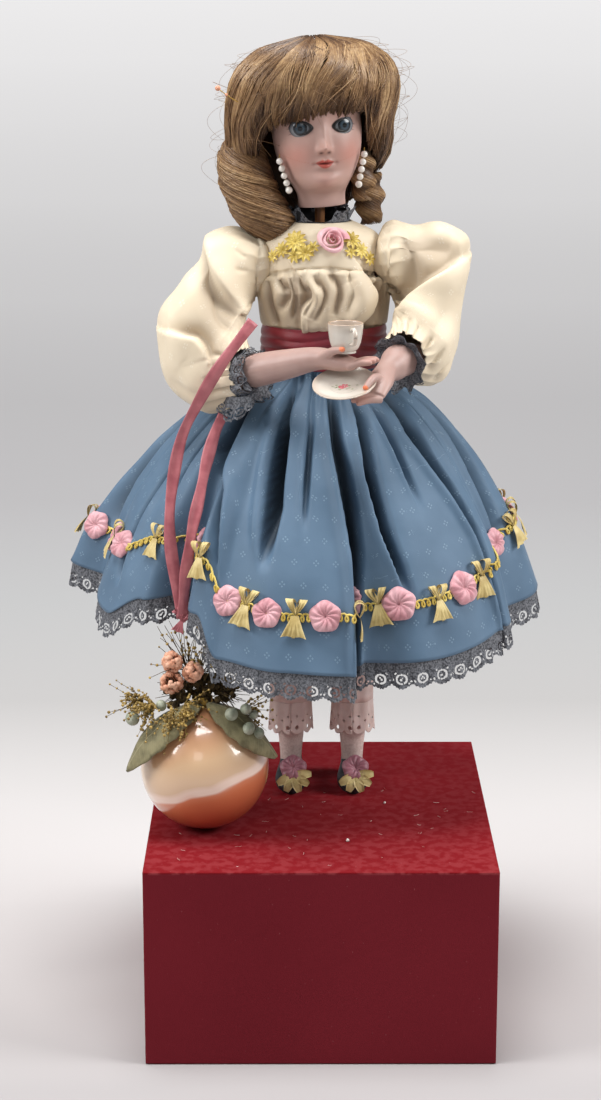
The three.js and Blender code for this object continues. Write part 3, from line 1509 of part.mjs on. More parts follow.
// Lace cuff: a ruffled band round the forearm, just past the sleeve's edge.
function cuffLace(cuffPoint, wrist, start) {
  const along = direction(cuffPoint, wrist);
  const across = along.clone().cross(new THREE.Vector3(0, 0, 1)).normalize();
  const up = across.clone().cross(along);
  const sides = 16;
  const levels = [0, 0.5, 1];
  const rings = (inset) =>
    levels.map((level) => {
      const radius = THREE.MathUtils.lerp(cuffLaceRadius, cuffLaceEndRadius, level) - inset;
      const centre = cuffPoint.clone().addScaledVector(along, start + level * cuffLaceLength);
      return Array.from({ length: sides }, (_, k) => {
        const turn = (2 * Math.PI * k) / sides;
        const ruffle = k % 2 ? clothThickness : 0;
        return centre
          .clone()
          .addScaledVector(across, (radius - ruffle) * Math.cos(turn))
          .addScaledVector(up, (radius - ruffle) * Math.sin(turn));
      });
    });
  return shell(rings(0), rings(clothThickness / 2));
}

function pantalette(x) {
  const levels = [0, 0.5, 0.8, 0.94, 1];
  const rings = (inset) =>
    levels.map((level, i) => {
      const height = pantaletteTop + (pantaletteHem - pantaletteTop) * level;
      const flare = i === levels.length - 1 ? pantaletteRuffle : 0;
      const plain = THREE.MathUtils.lerp(pantaletteRadius + seatGap, pantaletteHemRadius, level) + flare;
      return levelRing(10, x, 0, height, plain, plain).map((point, k) => {
        const ruffle = k % 2 ? pantaletteRuffle * level : 0;
        const out = new THREE.Vector3(point.x - x, point.y, 0).normalize();
        return point.addScaledVector(out, -ruffle - inset);
      });
    });
  return shell(rings(0), rings(clothThickness / 2));
}

function collar() {
  const sides = 20;
  const levels = [0, 0.5, 1];
  const rings = (inset) =>
    levels.map((level) => {
      const flare = collarRadius + level * collarRuffle;
      return levelRing(sides, 0, 0, bodiceTop + seatGap, flare, flare * 0.95).map((point, k) => {
        const out = new THREE.Vector3(point.x, point.y, 0).normalize();
        const ruffle = k % 2 ? collarRuffle * level : 0;
        const dip = 1 - 0.6 * Math.max(0, Math.cos((2 * Math.PI * k) / sides));
        point.z += level * collarHeight * dip;
        return point.addScaledVector(out, -ruffle - inset);
      });
    });
  return shell(rings(0), rings(clothThickness / 2));
}

// Ornament

// A blown ball with an open neck, which the metal cap stands over.
function ornamentBall() {
  const ball = new THREE.SphereGeometry(ornamentRadius, 20, 10).rotateX(Math.PI / 2);
  const hollow = new THREE.SphereGeometry(ornamentRadius - ornamentGlass, 10, 6).rotateX(Math.PI / 2);
  const neckHeight = ornamentGlass + ornamentCapHeight;
  const neckBottom = ornamentRadius - ornamentGlass - 2 * cutOverrun;
  const neck = upright(ornamentNeckRadius, neckHeight, 0, 0, neckBottom, 8);
  const bore = upright(ornamentNeckRadius - ornamentGlass, neckHeight + 2 * cutOverrun, 0, 0, neckBottom - cutOverrun, 6);
  return cut(joined(cut(ball, hollow), neck), bore).translate(...ornamentCentre.toArray());
}

function ornamentCap() {
  const bottom = ornamentRadius + seatGap;
  const cap = upright(ornamentCapRadius, ornamentCapHeight, 0, 0, bottom, 12);
  const hollow = upright(
    ornamentCapRadius - ornamentCapWall,
    ornamentCapHeight - ornamentCapWall + cutOverrun,
    0,
    0,
    bottom - cutOverrun,
    12,
  );
  return cut(cap, hollow).translate(...ornamentCentre.toArray());
}

// The ribbon's route from the ornament's stem up in front, over her forearm and down again
const ribbonRoute = [
  new THREE.Vector3(-81, -85, 128.6),
  new THREE.Vector3(-84, -82, 147),
  new THREE.Vector3(-88, -76, 180),
  new THREE.Vector3(-86, -66, 208),
  new THREE.Vector3(-80, -60, 234),
  new THREE.Vector3(-71, -60.2, 252),
  new THREE.Vector3(-56, -61, 275),
  new THREE.Vector3(-43, -54, 292),
  new THREE.Vector3(-36, -38, 298),
  new THREE.Vector3(-32.5, -33, 288),
];

function ribbonStrap(route) {
  const rings = route.map((point, i) => {
    const ahead = route[Math.min(i + 1, route.length - 1)];
    const behind = route[Math.max(i - 1, 0)];
    const along = direction(behind, ahead);
    const facing = new THREE.Vector3(0.2, -1, 0.2).normalize();
    const across = along.clone().cross(facing).normalize();
    const out = across.clone().cross(along).normalize();
    const corners = [
      [-1, -1],
      [1, -1],
      [1, 1],
      [-1, 1],
    ];
    return corners.map(([side, face]) =>
      point
        .clone()
        .addScaledVector(across, (side * ribbonWidth) / 2)
        .addScaledVector(out, (face * ribbonThickness) / 2),
    );
  });
  return loft(rings);
}

// Leaves, berries and dried flowers bound in a bunch on the ball's cap
const sprayBase = ornamentCentre.clone().add(new THREE.Vector3(0, 0, ornamentRadius));
const mossRadius = 9;
const leafLength = 46;
const leafHalfWidth = 11;
const leafThickness = 1;
const berryRadius = 4.6;
const flowerRadius = 7.5;
const sprayStemRadius = 1.6;

function leaf(bearing, tilt) {
  const steps = 4;
  const standOff = ornamentRadius + 2;
  const rings = Array.from({ length: steps }, (_, i) => {
    const share = i / (steps - 1);
    const slope = (share * leafLength) / standOff + 0.2;
    const half = leafHalfWidth * Math.sin(Math.PI * (0.08 + 0.88 * share)) ** 0.8;
    const across = new THREE.Vector3(Math.cos(bearing), Math.sin(bearing), 0).cross(new THREE.Vector3(0, 0, 1));
    const out = new THREE.Vector3(
      Math.sin(slope) * Math.cos(bearing),
      Math.sin(slope) * Math.sin(bearing),
      Math.cos(slope),
    );
    const middle = out.clone().multiplyScalar(standOff + tilt * share * share);
    const corners = [
      [-1, 0],
      [0, 0],
      [1, 0],
      [1, 1],
      [0, 1],
      [-1, 1],
    ];
    return corners.map(([sideways, outward]) => {
      const lift = outward * leafThickness + (half * half * sideways * sideways) / (2 * standOff) * -1;
      return middle
        .clone()
        .addScaledVector(across, sideways * half)
        .addScaledVector(out, lift)
        .add(ornamentCentre);
    });
  });
  return loft(rings);
}

function ornamentSpray() {
  const bead = (x, y, z, radius, detail = 0) =>
    new THREE.IcosahedronGeometry(radius, detail).translate(sprayBase.x + x, sprayBase.y + y, sprayBase.z + z);
  const stem = limb(
    [
      sprayBase.clone().add(new THREE.Vector3(0, -2, 4)),
      sprayBase.clone().add(new THREE.Vector3(-8, -4, 26)),
      new THREE.Vector3(-81, -85, 128),
    ],
    [
      [2 * sprayStemRadius, 2 * sprayStemRadius],
      [sprayStemRadius, sprayStemRadius],
      [sprayStemRadius, sprayStemRadius],
    ],
    5,
  );
  const moss = bead(-3, -6, 8, mossRadius);
  const berries = [
    bead(-20, -12, 4, berryRadius),
    bead(-28, -10, 0, berryRadius),
    bead(20, -10, -1, berryRadius),
  ];
  const twigs = [
    limb([sprayBase.clone().add(new THREE.Vector3(0, -8, 6)), sprayBase.clone().add(new THREE.Vector3(-40, -8, 12))],
      [[sprayStemRadius, sprayStemRadius], [flowerRadius * 0.7, flowerRadius * 0.7]], 5),
    limb([sprayBase.clone().add(new THREE.Vector3(0, -9, 5)), sprayBase.clone().add(new THREE.Vector3(-29, -10, 2))],
      [[sprayStemRadius, sprayStemRadius], [sprayStemRadius, sprayStemRadius]], 5),
    limb([sprayBase.clone().add(new THREE.Vector3(0, -9, 5)), sprayBase.clone().add(new THREE.Vector3(32, -8, 4))],
      [[sprayStemRadius, sprayStemRadius], [flowerRadius * 0.5, flowerRadius * 0.5]], 5),
  ];
  const flowers = [
    bead(-9, -9, 24, flowerRadius, 1),
    bead(1, -8, 30, flowerRadius * 0.9),
    bead(-11, -7, 38, flowerRadius * 0.9),
  ];
  const bunch = joined(moss, stem, ...berries, ...twigs, ...flowers, leaf(Math.PI * 1.12, 4), leaf(-Math.PI * 0.12, 2));
  const ballSpace = new THREE.SphereGeometry(ornamentRadius + seatGap, 20, 10)
    .rotateX(Math.PI / 2)
    .translate(...ornamentCentre.toArray());
  const capSpace = upright(
    ornamentCapRadius + seatGap,
    ornamentCapHeight + cutOverrun + 2 * seatGap,
    sprayBase.x,
    sprayBase.y,
    sprayBase.z - cutOverrun,
    12,
  );
  return cut(bunch, ballSpace, capSpace);
}

// Assembly
const doll = new THREE.Group();

doll.add(
  named("box_carcass", boxCarcass(), materials.wood),
  named("velvet_cover", velvetCover(), materials.velvet),
  named("base_board", baseBoard(), materials.wood),
  named("movement_bedplate", movementBedplate(), materials.castIron),
  named("spring_barrel", springBarrel(), materials.brass),
  named("winding_key", windingKey(), materials.steel),
  named("music_cylinder", musicCylinder(), materials.brass),
  named("music_comb", comb(), materials.steel),
  named("governor_fan", governorFan(), materials.brass),
  named("cam_shaft", camShaft(), materials.steel),
  named("lever_bracket", leverBracket(), materials.steel),
  named("stop_lever", stopLever(), materials.brass),
);
drives.forEach((drive, index) => {
  doll.add(named(`${drive.name}_cam`, cam(index), materials.brass));
  doll.add(named(`${drive.name}_lever`, followerLever(index), materials.steel));
  doll.add(named(`${drive.name}_rod`, pushRod(drive), materials.steel));
});

const figure = new THREE.Group();
figure.position.set(0, figureY, boxHeight);
doll.add(figure);

figure.add(
  named("leg_right", leg(rightLegX), materials.stocking),
  named("leg_left", leg(leftLegX), materials.stocking),
  named("shoe_right", shoe(rightLegX), materials.shoe),
  named("shoe_left", shoe(leftLegX), materials.shoe),
  named("hip_block", hipBlock(), materials.wood),
  named("torso", torso(), materials.composition),
  named("shoulder_plate", shoulderPlate(), materials.composition),
  named("shoulder_axle", shoulderAxle(), materials.steel),
  named("upper_arm_right", upperArm(-1, rightUpperBend, rightUpperMiddle, rightElbow, rightCuffPoint), materials.composition),
  named("upper_arm_left", upperArm(1, leftUpperBend, leftUpperMiddle, leftElbow, leftCuffPoint), materials.composition),
  named("forearm_right", cut(forearm(rightHandPose), cupSpace()), materials.bisque),
  named("forearm_left", cut(forearm(leftHandPose), saucerSpace()), materials.bisque),
  named("cup", cup(), materials.china),
  named("saucer", saucer(), materials.china),
  named("cuff_right", cuffLace(rightCuffPoint, rightWrist, rightCuffStart), materials.lace),
  named("cuff_left", cuffLace(leftCuffPoint, leftWrist, leftCuffStart), materials.lace),
  named("pantalette_right", pantalette(rightLegX), materials.underlinen),
  named("pantalette_left", pantalette(leftLegX), materials.underlinen),
  named("bodice", bodice(), materials.satin),
  named("sleeve_right", sleeve(sleeveRightPivot, -1, rightSleeveTable), materials.satin),
  named("sleeve_left", sleeve(sleeveLeftPivot, 1, leftSleeveTable), materials.satin),
  named("sash", sash(), materials.sash),
  named("skirt", skirt(), materials.dress),
  named("skirt_lace", skirtLace(), materials.lace),
  named("collar", collar(), materials.lace),
  named("ornament_ball", ornamentBall(), materials.ornament),
  named("ornament_cap", ornamentCap(), materials.brass),
  named("ribbon", ribbonStrap(ribbonRoute), materials.ribbon),
  named("ornament_spray", ornamentSpray(), materials.foliage),
);

// The neck turns about the upright axis and the head leans a little on it.
const neckTurn = new THREE.Group();
neckTurn.rotation.z = THREE.MathUtils.degToRad(headYaw);
neckTurn.add(named("neck_block", neckBlock(), materials.stem));
figure.add(neckTurn);

const headTilt = new THREE.Group();
headTilt.position.z = neckPivotHeight;
headTilt.rotation.y = THREE.MathUtils.degToRad(headRoll);
neckTurn.add(headTilt);

[
  named("head", headGeometry(), materials.bisque),
  named("wig", wig(), materials.hair),
  named("eye_right", eyeBall(-1, eyeRadius), materials.glassEye),
  named("eye_left", eyeBall(1, eyeRadius), materials.glassEye),
  named("earring_right", earring(-1), materials.pearl),
  named("earring_left", earring(1), materials.pearl),
].forEach((mesh) => {
  mesh.position.z = -neckPivotHeight;
  headTilt.add(mesh);
});

export default doll;
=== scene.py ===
from math import cos, log, pi, radians, sin

import bmesh
import bpy
import numpy as np
from mathutils import Matrix, Vector


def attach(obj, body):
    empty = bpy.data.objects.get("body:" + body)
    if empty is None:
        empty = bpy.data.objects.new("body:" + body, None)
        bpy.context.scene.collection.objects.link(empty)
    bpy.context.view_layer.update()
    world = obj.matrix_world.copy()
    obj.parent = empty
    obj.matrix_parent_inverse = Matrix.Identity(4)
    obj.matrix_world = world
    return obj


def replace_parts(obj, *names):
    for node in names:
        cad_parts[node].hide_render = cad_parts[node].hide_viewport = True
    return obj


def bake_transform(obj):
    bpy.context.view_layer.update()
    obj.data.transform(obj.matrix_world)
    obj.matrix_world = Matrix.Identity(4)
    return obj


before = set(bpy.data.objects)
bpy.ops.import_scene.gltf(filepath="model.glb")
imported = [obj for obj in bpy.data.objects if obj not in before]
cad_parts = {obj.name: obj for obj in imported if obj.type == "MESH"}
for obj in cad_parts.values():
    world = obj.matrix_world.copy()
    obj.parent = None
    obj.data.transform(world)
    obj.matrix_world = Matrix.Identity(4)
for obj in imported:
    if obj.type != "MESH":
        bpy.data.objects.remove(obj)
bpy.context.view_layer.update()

# Sizes are in millimetres, and heights on the figure start at the top of the velvet box.
MM = 0.001
FIGURE_FOOT = np.array([0.0, 45.0, 118.7])

# Box and stage
BOX_TOP = 0.0
BOX_EDGE_ROUNDING = 1.3
FLOOR_REACH = 60000.0
# The velvet's height, and where the painted light on its top fades towards the front, in metres in the shared
# frame
BOX_HEIGHT = 118.7 * MM
VELVET_TOP_LIGHT = (-0.12, 0.08)

# Figure
WAIST_SHIFT = 2.6
BODICE_TOP = 351.0
BODICE_BOTTOM = 285.0
YOKE_BOTTOM = 325.0
BODICE_HALF_WIDTH = 36.8
BODICE_HALF_DEPTH = 32.0
BODICE_GATHERS = 27
BODICE_PUFF = 3.4
BODICE_TUCK = 1.4
YOKE_SEAM_DEPTH = 1.2
# Painted shade: satin is painted darker where it was pressed in, from the first depth to the second
FOLD_SHADE_DEPTHS = (0.3, 4.0)
SASH_TOP = 289.5
SASH_BOTTOM = 265.0
SASH_HALF_WIDTH = 36.6
SASH_HALF_DEPTH = 31.5
SHOULDER_HEIGHT = 326.0
SLEEVE_REACH = 70.0
SLEEVE_SEAM_RADIUS = 14.5

# The least share of its cut's area that a gathered cloth may cover
LEAST_FULLNESS = 0.3

# Thicknesses
SKIRT_CLOTH = 0.5
SATIN_CLOTH = 0.4
LINEN_CLOTH = 0.3
EYELET_CLOTH = 0.35
NECK_SHADE_THICKNESS = 0.3
LACE_FRILL = 0.3
LEAF_CLOTH = 0.5
WIG_CLOTH = 0.6

# Skirt: turn in degrees from the front towards her left, share of the full reach, share of the drop
SKIRT_TOP = 268.0
SKIRT_DROP = 162.0
SKIRT_HALF_WIDTH = 140.0
SKIRT_FRONT = 130.0
SKIRT_BACK = 102.0
SKIRT_FOLDS = [
    (-97, 1.12, 0.80), (-88, 0.95, 0.83), (-69, 1.0, 0.90), (-55, 0.93, 0.81), (-47, 0.72, 0.79),
    (-36, 0.93, 0.82), (-28, 0.965, 0.965), (-10, 1.0, 0.985), (9, 0.995, 1.0), (13, 0.86, 0.985),
    (31, 0.975, 0.97), (58, 0.96, 0.92), (68, 0.87, 0.89), (84, 0.965, 0.86), (98, 0.88, 0.85),
    (112, 1.0, 0.86), (127, 0.87, 0.85), (142, 1.0, 0.87), (157, 0.88, 0.86), (171, 1.0, 0.87),
    (186, 0.87, 0.86), (201, 1.0, 0.87), (216, 0.88, 0.85), (230, 1.02, 0.84), (246, 0.9, 0.82),
]
SKIRT_LEVELS = [0.0, 0.04, 0.18, 0.38, 0.58, 0.8, 1.0]
SKIRT_FLARES = [0.0, 0.0, 0.27, 0.54, 0.74, 0.9, 1.0]
# Lapped folds that run down from the waist. Each is a crisp edge, as turn, level and valley width, and
# the valley's depth. The valley lies at lower turns where its width is below zero.
SKIRT_LAPS = [
    ([(-35, 0.07, 5), (-31.5, 0.14, 8), (-26.5, 0.22, 11), (-24.5, 0.31, 13), (-22, 0.46, 15),
      (-19.5, 0.68, 10)], 32.0),
    ([(2, 0.07, 6), (4, 0.25, 10), (6, 0.34, 12), (8, 0.47, 13), (9.5, 0.62, 12), (9.2, 0.8, 9),
      (9, 1.1, 8)], 27.0),
    ([(21.5, 0.08, 9), (19, 0.24, 10), (18.5, 0.36, 10), (20.5, 0.55, 9), (26, 0.8, 7)], 24.0),
    ([(48, 0.08, 13), (44.5, 0.24, 15), (47, 0.34, 12), (50, 0.45, 12), (53, 0.62, 10), (54, 0.8, 8),
      (56, 1.1, 7)], 26.0),
    ([(-50, 0.08, -8), (-46, 0.28, -14), (-45, 0.37, -17), (-37, 0.48, -18), (-33.5, 0.62, -14),
      (-31, 0.78, -8)], 32.0),
    ([(75, 0.1, 10), (71.5, 0.45, 13), (70, 0.8, 10)], 18.0),
    ([(-66, 0.1, -8), (-68, 0.5, -12), (-66, 0.9, -10)], 18.0),
    ([(-92, 0.1, -9), (-90, 0.85, -12)], 14.0),
    ([(-14, 0.05, 4), (-9, 0.2, 6), (-7, 0.55, 6)], 10.0),
    ([(33, 0.05, 4), (33, 0.2, 6), (36, 0.5, 6)], 11.0),
    ([(-60, 0.05, -4), (-58, 0.25, -6), (-58, 0.6, -6)], 9.0),
    ([(62, 0.05, 4), (61, 0.25, 6), (62, 0.5, 6)], 10.0),
] + [([(turn, 0.08, 9), (turn - 3, 0.95, 13)], 16.0) for turn in (98, 127, 157, 186, 216, 246)]
# The waist sits this far under the sash, and folds reach their full depth where the skirt stands this far out
UNDER_SASH = 0.9
FULL_FOLD_REACH = 62.0
LEAST_FOLD = 0.26
WAIST_ARC = 25.0
WAIST_GATHER = 1.8
SKIRT_RIPPLE = 1.1
SKIRT_DROP_ROUND = 160.0
SKIRT_SEAMS = [9, 17, 31, 64, 83, 98, 127, 157, 186, 216, 246, 280, 313, 326, 343]
HEM_LACE = 17.0

# Head, before it leans and turns
HEAD_RIM = 360.0
HEAD_TOP = 446.0
HEAD_HALF_WIDTH = 26.5
HEAD_FRONT = 26.0
HEAD_BACK = 36.0
HEAD_HEIGHTS = [0, 0.1, 0.15, 0.2, 0.255, 0.31, 0.37, 0.43, 0.5, 0.57, 0.64, 0.72, 0.82, 0.91, 0.97, 1]
HEAD_WIDTHS = [0.53, 0.56, 0.64, 0.74, 0.83, 0.9, 0.95, 0.98, 1, 1, 1, 0.98, 0.9, 0.7, 0.42, 0.03]
HEAD_FRONTS = [0.5, 0.62, 0.86, 0.95, 0.93, 0.95, 0.97, 0.98, 0.98, 0.97, 1, 1.02, 0.96, 0.76, 0.46, 0.03]
HEAD_BACKS = [0.37, 0.38, 0.42, 0.5, 0.6, 0.7, 0.8, 0.88, 0.95, 1, 1.02, 1.02, 0.95, 0.76, 0.46, 0.03]
NECK_PIVOT = 378.0
HEAD_ROLL = radians(-4)
HEAD_YAW = radians(8)
NOSE_HEIGHT = 396.1
MOUTH_HEIGHT = 386.6
MOUTH_HALF_WIDTH = 5.8
EYE_HEIGHT = 407.6
EYE_SPACING = 12.2
EYE_HALF_WIDTH = 5.2
EYE_HALF_HEIGHT = 3.35
PEARL_RADIUS = 2.0

# Wig, in the head's own frame
WIG_BOTTOM = 353.0
WIG_TOP = 459.0
WIG_HALF_WIDTH = 51.0
WIG_SHIFT = 1.0
WIG_SWELL_HEIGHTS = [340, 360, 372, 384, 396, 408, 420, 432, 460]
WIG_SWELL = [8, 18, 20, 18, 13, 8, 3, 0, 0]
WIG_FRONT = 32.0
WIG_BACK = 46.0
WIG_HEIGHTS = [0, 0.1, 0.22, 0.36, 0.5, 0.6, 0.7, 0.8, 0.89, 0.96, 1]
WIG_WIDTHS = [0.5, 0.68, 0.76, 0.8, 0.9, 0.97, 1, 0.96, 0.8, 0.52, 0.12]
WIG_FRONTS = [-0.25, -0.1, 0, 0.3, 0.72, 0.97, 1.04, 1.0, 0.86, 0.58, 0.16]
WIG_BACKS = [0.55, 0.75, 0.86, 0.92, 0.97, 1, 1, 0.95, 0.8, 0.55, 0.16]
ROLL_LEVELS = [338, 343, 350, 359, 369, 381, 392, 400, 405]
ROLL_MIDDLES = [-28, -29, -31.5, -36, -40.5, -44.2, -44.5, -44, -43]
ROLL_RADII = [3, 11, 16, 17, 16.2, 15.2, 13.6, 10.5, 5]
ROLL_BACKS = [2, 2, 2, 1, 1, 3, 8, 13, 16]
ROLL_FALL = 34.0
ROLL_LOCK = 6.5

# Glass ornament
ORNAMENT_CENTRE = np.array([-68.5, -85.0, 38.3])
ORNAMENT_RADIUS = 38.0

# The satin ribbon's route from the ornament's stem over her forearm, and its second strand
RIBBON_WIDTH = 7.5
RIBBON_THICKNESS = 0.6
RIBBON_CLOTH = 0.7 * RIBBON_THICKNESS
RIBBON_ROUTE = [
    (-81, -85, 128.6), (-84, -82, 147), (-88, -76, 180), (-86, -66, 208), (-80, -60, 234), (-71, -60.2, 252),
    (-56, -63, 277), (-46, -61, 290), (-39, -58, 299),
]
RIBBON_RETURN = [
    (-57, -53, 243), (-61, -58, 235), (-66, -65, 219), (-70, -74, 201), (-74, -82, 184), (-77, -87, 165),
    (-79, -88, 149), (-80, -86.5, 137), (-80.5, -85.8, 129.5),
]


# Places and numbers


def metres(points):
    """Figure millimetres to metres in the shared frame."""
    return (np.asarray(points, float) + FIGURE_FOOT) * MM


def unit(vector):
    vector = np.asarray(vector, float)
    return vector / np.maximum(np.linalg.norm(vector, axis=-1, keepdims=True), 1e-9)


def blended(first, second, share):
    return first + (second - first) * share


def smooth_step(low, high, value):
    share = np.clip((value - low) / (high - low), 0, 1)
    return share * share * (3 - 2 * share)


def bump(x, z, centre_x, centre_z, half_width, half_height):
    return np.exp(-(((x - centre_x) / half_width) ** 2) - ((z - centre_z) / half_height) ** 2)


def eased(value, stations, amounts):
    """The amount at a value, on a smooth curve through the stations."""
    stations, amounts = np.asarray(stations, float), np.asarray(amounts, float)
    slopes = np.gradient(amounts, stations, axis=0)
    value = np.asarray(value, float)
    before = np.clip(np.searchsorted(stations, value, side="right") - 1, 0, len(stations) - 2)
    step = stations[before + 1] - stations[before]
    share = np.clip((value - stations[before]) / step, 0, 1)
    if amounts.ndim > 1:
        share, step = share[..., None], step[..., None]
    leave = 2 * share**3 - 3 * share**2 + 1
    depart = share**3 - 2 * share**2 + share
    arrive = share**3 - share**2
    start, end = amounts[before], amounts[before + 1]
    return start * leave + end * (1 - leave) + step * (depart * slopes[before] + arrive * slopes[before + 1])


def circle(count):
    """Even turns round a full circle, in radians."""
    return np.linspace(0, 2 * pi, count, endpoint=False)


def around(turn, across, forward, height, middle=(0, 0)):
    """Points round an upright middle. A turn of zero faces forward, and turns grow towards her left."""
    x = middle[0] + across * np.sin(turn)
    y = middle[1] - forward * np.cos(turn)
    return np.stack(np.broadcast_arrays(x, y, height), -1)


def ripple(points, length, seed):
    """Soft waves from -1 to 1, about one length long, for cloth and hair that is never quite even."""
    source = np.random.default_rng(seed)
    total = 0
    waves = 7
    for _ in range(waves):
        direction = unit(source.normal(size=3)) * 2 * pi / (length * source.uniform(0.7, 1.6))
        total = total + np.sin(np.asarray(points) @ direction + source.uniform(0, 2 * pi))
    return total / waves**0.5 / 1.4


def path_through(points, count):
    """Evenly spaced points on a smooth curve through the given ones."""
    points = np.asarray(points, float)
    reach = np.concatenate([[0], np.cumsum(np.linalg.norm(np.diff(points, axis=0), axis=1))])
    return eased(np.linspace(0, reach[-1], count), reach, points)


def path_length(points):
    return float(np.linalg.norm(np.diff(points, axis=0), axis=1).sum())


def lean(points):
    """Leans and turns points from the head's own frame to the place where she holds it."""
    points = np.asarray(points, float)
    x, y, z = points[..., 0], points[..., 1], points[..., 2] - NECK_PIVOT
    x, z = x * cos(HEAD_ROLL) + z * sin(HEAD_ROLL), -x * sin(HEAD_ROLL) + z * cos(HEAD_ROLL)
    x, y = x * cos(HEAD_YAW) - y * sin(HEAD_YAW), x * sin(HEAD_YAW) + y * cos(HEAD_YAW)
    return np.stack([x, y, z + NECK_PIVOT], -1)


def line_distance(points, line):
    """Distance in the front view to a line, above zero on its left, and the share along it."""
    x, z = points[..., 0], points[..., 2]
    line = path_through(line, 24)
    lengths = np.linalg.norm(np.diff(line, axis=0), axis=1)
    starts = np.concatenate([[0], np.cumsum(lengths)])
    nearest = np.full(x.shape, np.inf)
    signed, along = np.zeros(x.shape), np.zeros(x.shape)
    for start, end, length, before in zip(line[:-1], line[1:], lengths, starts):
        way = (end - start) / length
        share = np.clip((x - start[0]) * way[0] + (z - start[1]) * way[1], 0, length)
        off_x, off_z = x - start[0] - way[0] * share, z - start[1] - way[1] * share
        reach = np.hypot(off_x, off_z)
        nearer = reach < nearest
        nearest = np.where(nearer, reach, nearest)
        signed = np.where(nearer, reach * np.where(way[0] * off_z - way[1] * off_x < 0, -1, 1), signed)
        along = np.where(nearer, (before + share) / starts[-1], along)
    return signed, along


def folded(points, normals, folds):
    """Cloth pushed out or in along lines of the front view. A fold laps to the right of its line."""
    facing = smooth_step(0.1, -0.35, normals[..., 1])
    push = np.zeros(points.shape[:2])
    for kind, line, height, width in folds:
        off, along = line_distance(points, line)
        amount = height * np.exp(-np.abs(off / width) ** 1.5) * (0.35 + 0.65 * np.sin(pi * along) ** 0.5)
        push = push + amount * {"crease": -1, "ridge": 1, "fold": np.tanh(off / 0.9)}[kind]
    return points + normals * (push * facing)[..., None]


def grabbed(points, grabs):
    """Moves what lies near each x and z place, softly, within a reach."""
    for x, z, reach, *move in grabs:
        weight = np.exp(-((points[..., 0] - x) ** 2 + (points[..., 2] - z) ** 2) / reach**2)
        points = points + weight[..., None] * np.array(move, float)
    return points


def painted_fold_shade(plain, pressed, normals, low, high):
    """0 to 1 where the cloth was pressed in, from a low to a high depth, as the share of painted shade in a
    fold.
    """
    return smooth_step(low, high, ((plain - pressed) * normals).sum(-1))


def grid_normals(grid):
    """Which way a closed grid faces at each point, outwards."""
    wide = np.concatenate([grid[:, -1:], grid, grid[:, :1]], 1)
    return unit(np.cross(np.gradient(grid, axis=0), wide[:, 2:] - wide[:, :-2]))


# Making pieces


def settle(piece, finish, body, smooth=True):
    mesh = piece.data
    mesh.materials.clear()
    mesh.materials.append(finish)
    mesh.polygons.foreach_set("use_smooth", np.full(len(mesh.polygons), smooth))
    mesh.update()
    if body:
        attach(piece, body)
    return piece


def new_piece(name, mesh):
    piece = bpy.data.objects.new(name, mesh)
    bpy.context.scene.collection.objects.link(piece)
    return piece


def plain_piece(name, points, faces, finish, body="base", smooth=True):
    mesh = bpy.data.meshes.new(name)
    mesh.from_pydata(metres(points).tolist(), [], [list(map(int, face)) for face in faces])
    return settle(new_piece(name, mesh), finish, body, smooth)


def grid_corners(rows, columns, closed):
    """Row and column of each face's corners. Rows run down and columns run anticlockwise from above."""
    across = columns if closed else columns - 1
    row, column = (part.ravel() for part in np.mgrid[0 : rows - 1, 0:across])
    corner_rows = np.stack([row, row + 1, row + 1, row], -1)
    corner_columns = np.stack([column, column, column + 1, column + 1], -1)
    return corner_rows, corner_columns


def grid_faces(rows, columns, closed=True, start=0):
    """Each face's corners, in a grid whose points are numbered row by row."""
    corner_rows, corner_columns = grid_corners(rows, columns, closed)
    return corner_rows * columns + corner_columns % columns + start


def mark(mesh, label, amounts, kind="FLOAT"):
    """Writes an amount on each point of a mesh, for a material or a tree to read."""
    field = "value" if kind == "FLOAT" else "vector"
    amounts = np.asarray(amounts, np.float32).ravel()
    mesh.attributes.new(label, kind, "POINT").data.foreach_set(field, amounts)


def surface(
    name, grid, finish, body="base", closed=True, cloth=None, turned=False, marks=None, keep=None
):
    """A piece from a grid of points, with a cloth map in metres and painted marks where they are given."""
    rows, columns, _ = grid.shape
    corner_rows, corner_columns = grid_corners(rows, columns, closed)
    if keep is not None:
        kept = keep.ravel()
        corner_rows, corner_columns = corner_rows[kept], corner_columns[kept]
    if turned:
        corner_rows, corner_columns = corner_rows[:, ::-1], corner_columns[:, ::-1]
    faces = corner_rows * columns + corner_columns % columns
    used, faces = np.unique(faces, return_inverse=True)
    mesh = bpy.data.meshes.new(name)
    mesh.from_pydata(metres(grid.reshape(-1, 3)[used]).tolist(), [], faces.reshape(-1, 4).tolist())
    if cloth is not None:
        layer = mesh.uv_layers.new(name="cloth")
        layer.data.foreach_set("uv", cloth[corner_rows, corner_columns].ravel() * MM)
    for label, amounts in (marks or {}).items():
        mark(mesh, label, np.reshape(amounts, -1)[used])
    return settle(new_piece(name, mesh), finish, body)


def cloth_map(grid, closed=True, seams=()):
    """Lengths across and down a grid of cloth, so that a weave keeps its size. It starts anew at a seam."""
    wide = np.concatenate([grid, grid[:, :1]], 1) if closed else grid
    across = np.linalg.norm(np.diff(wide, axis=1), axis=2)
    across = np.concatenate([np.zeros((len(grid), 1)), np.cumsum(across, 1)], 1)
    edges = [0, *seams, across.shape[1]]
    middles = [np.full(last - first, (first + last) // 2) for first, last in zip(edges, edges[1:])]
    across = across - across[:, np.concatenate(middles)]
    down = np.linalg.norm(np.diff(wide, axis=0), axis=2).mean(1)
    down = np.concatenate([[0], np.cumsum(down)])
    return np.stack([across, np.broadcast_to(down[:, None], across.shape)], -1)


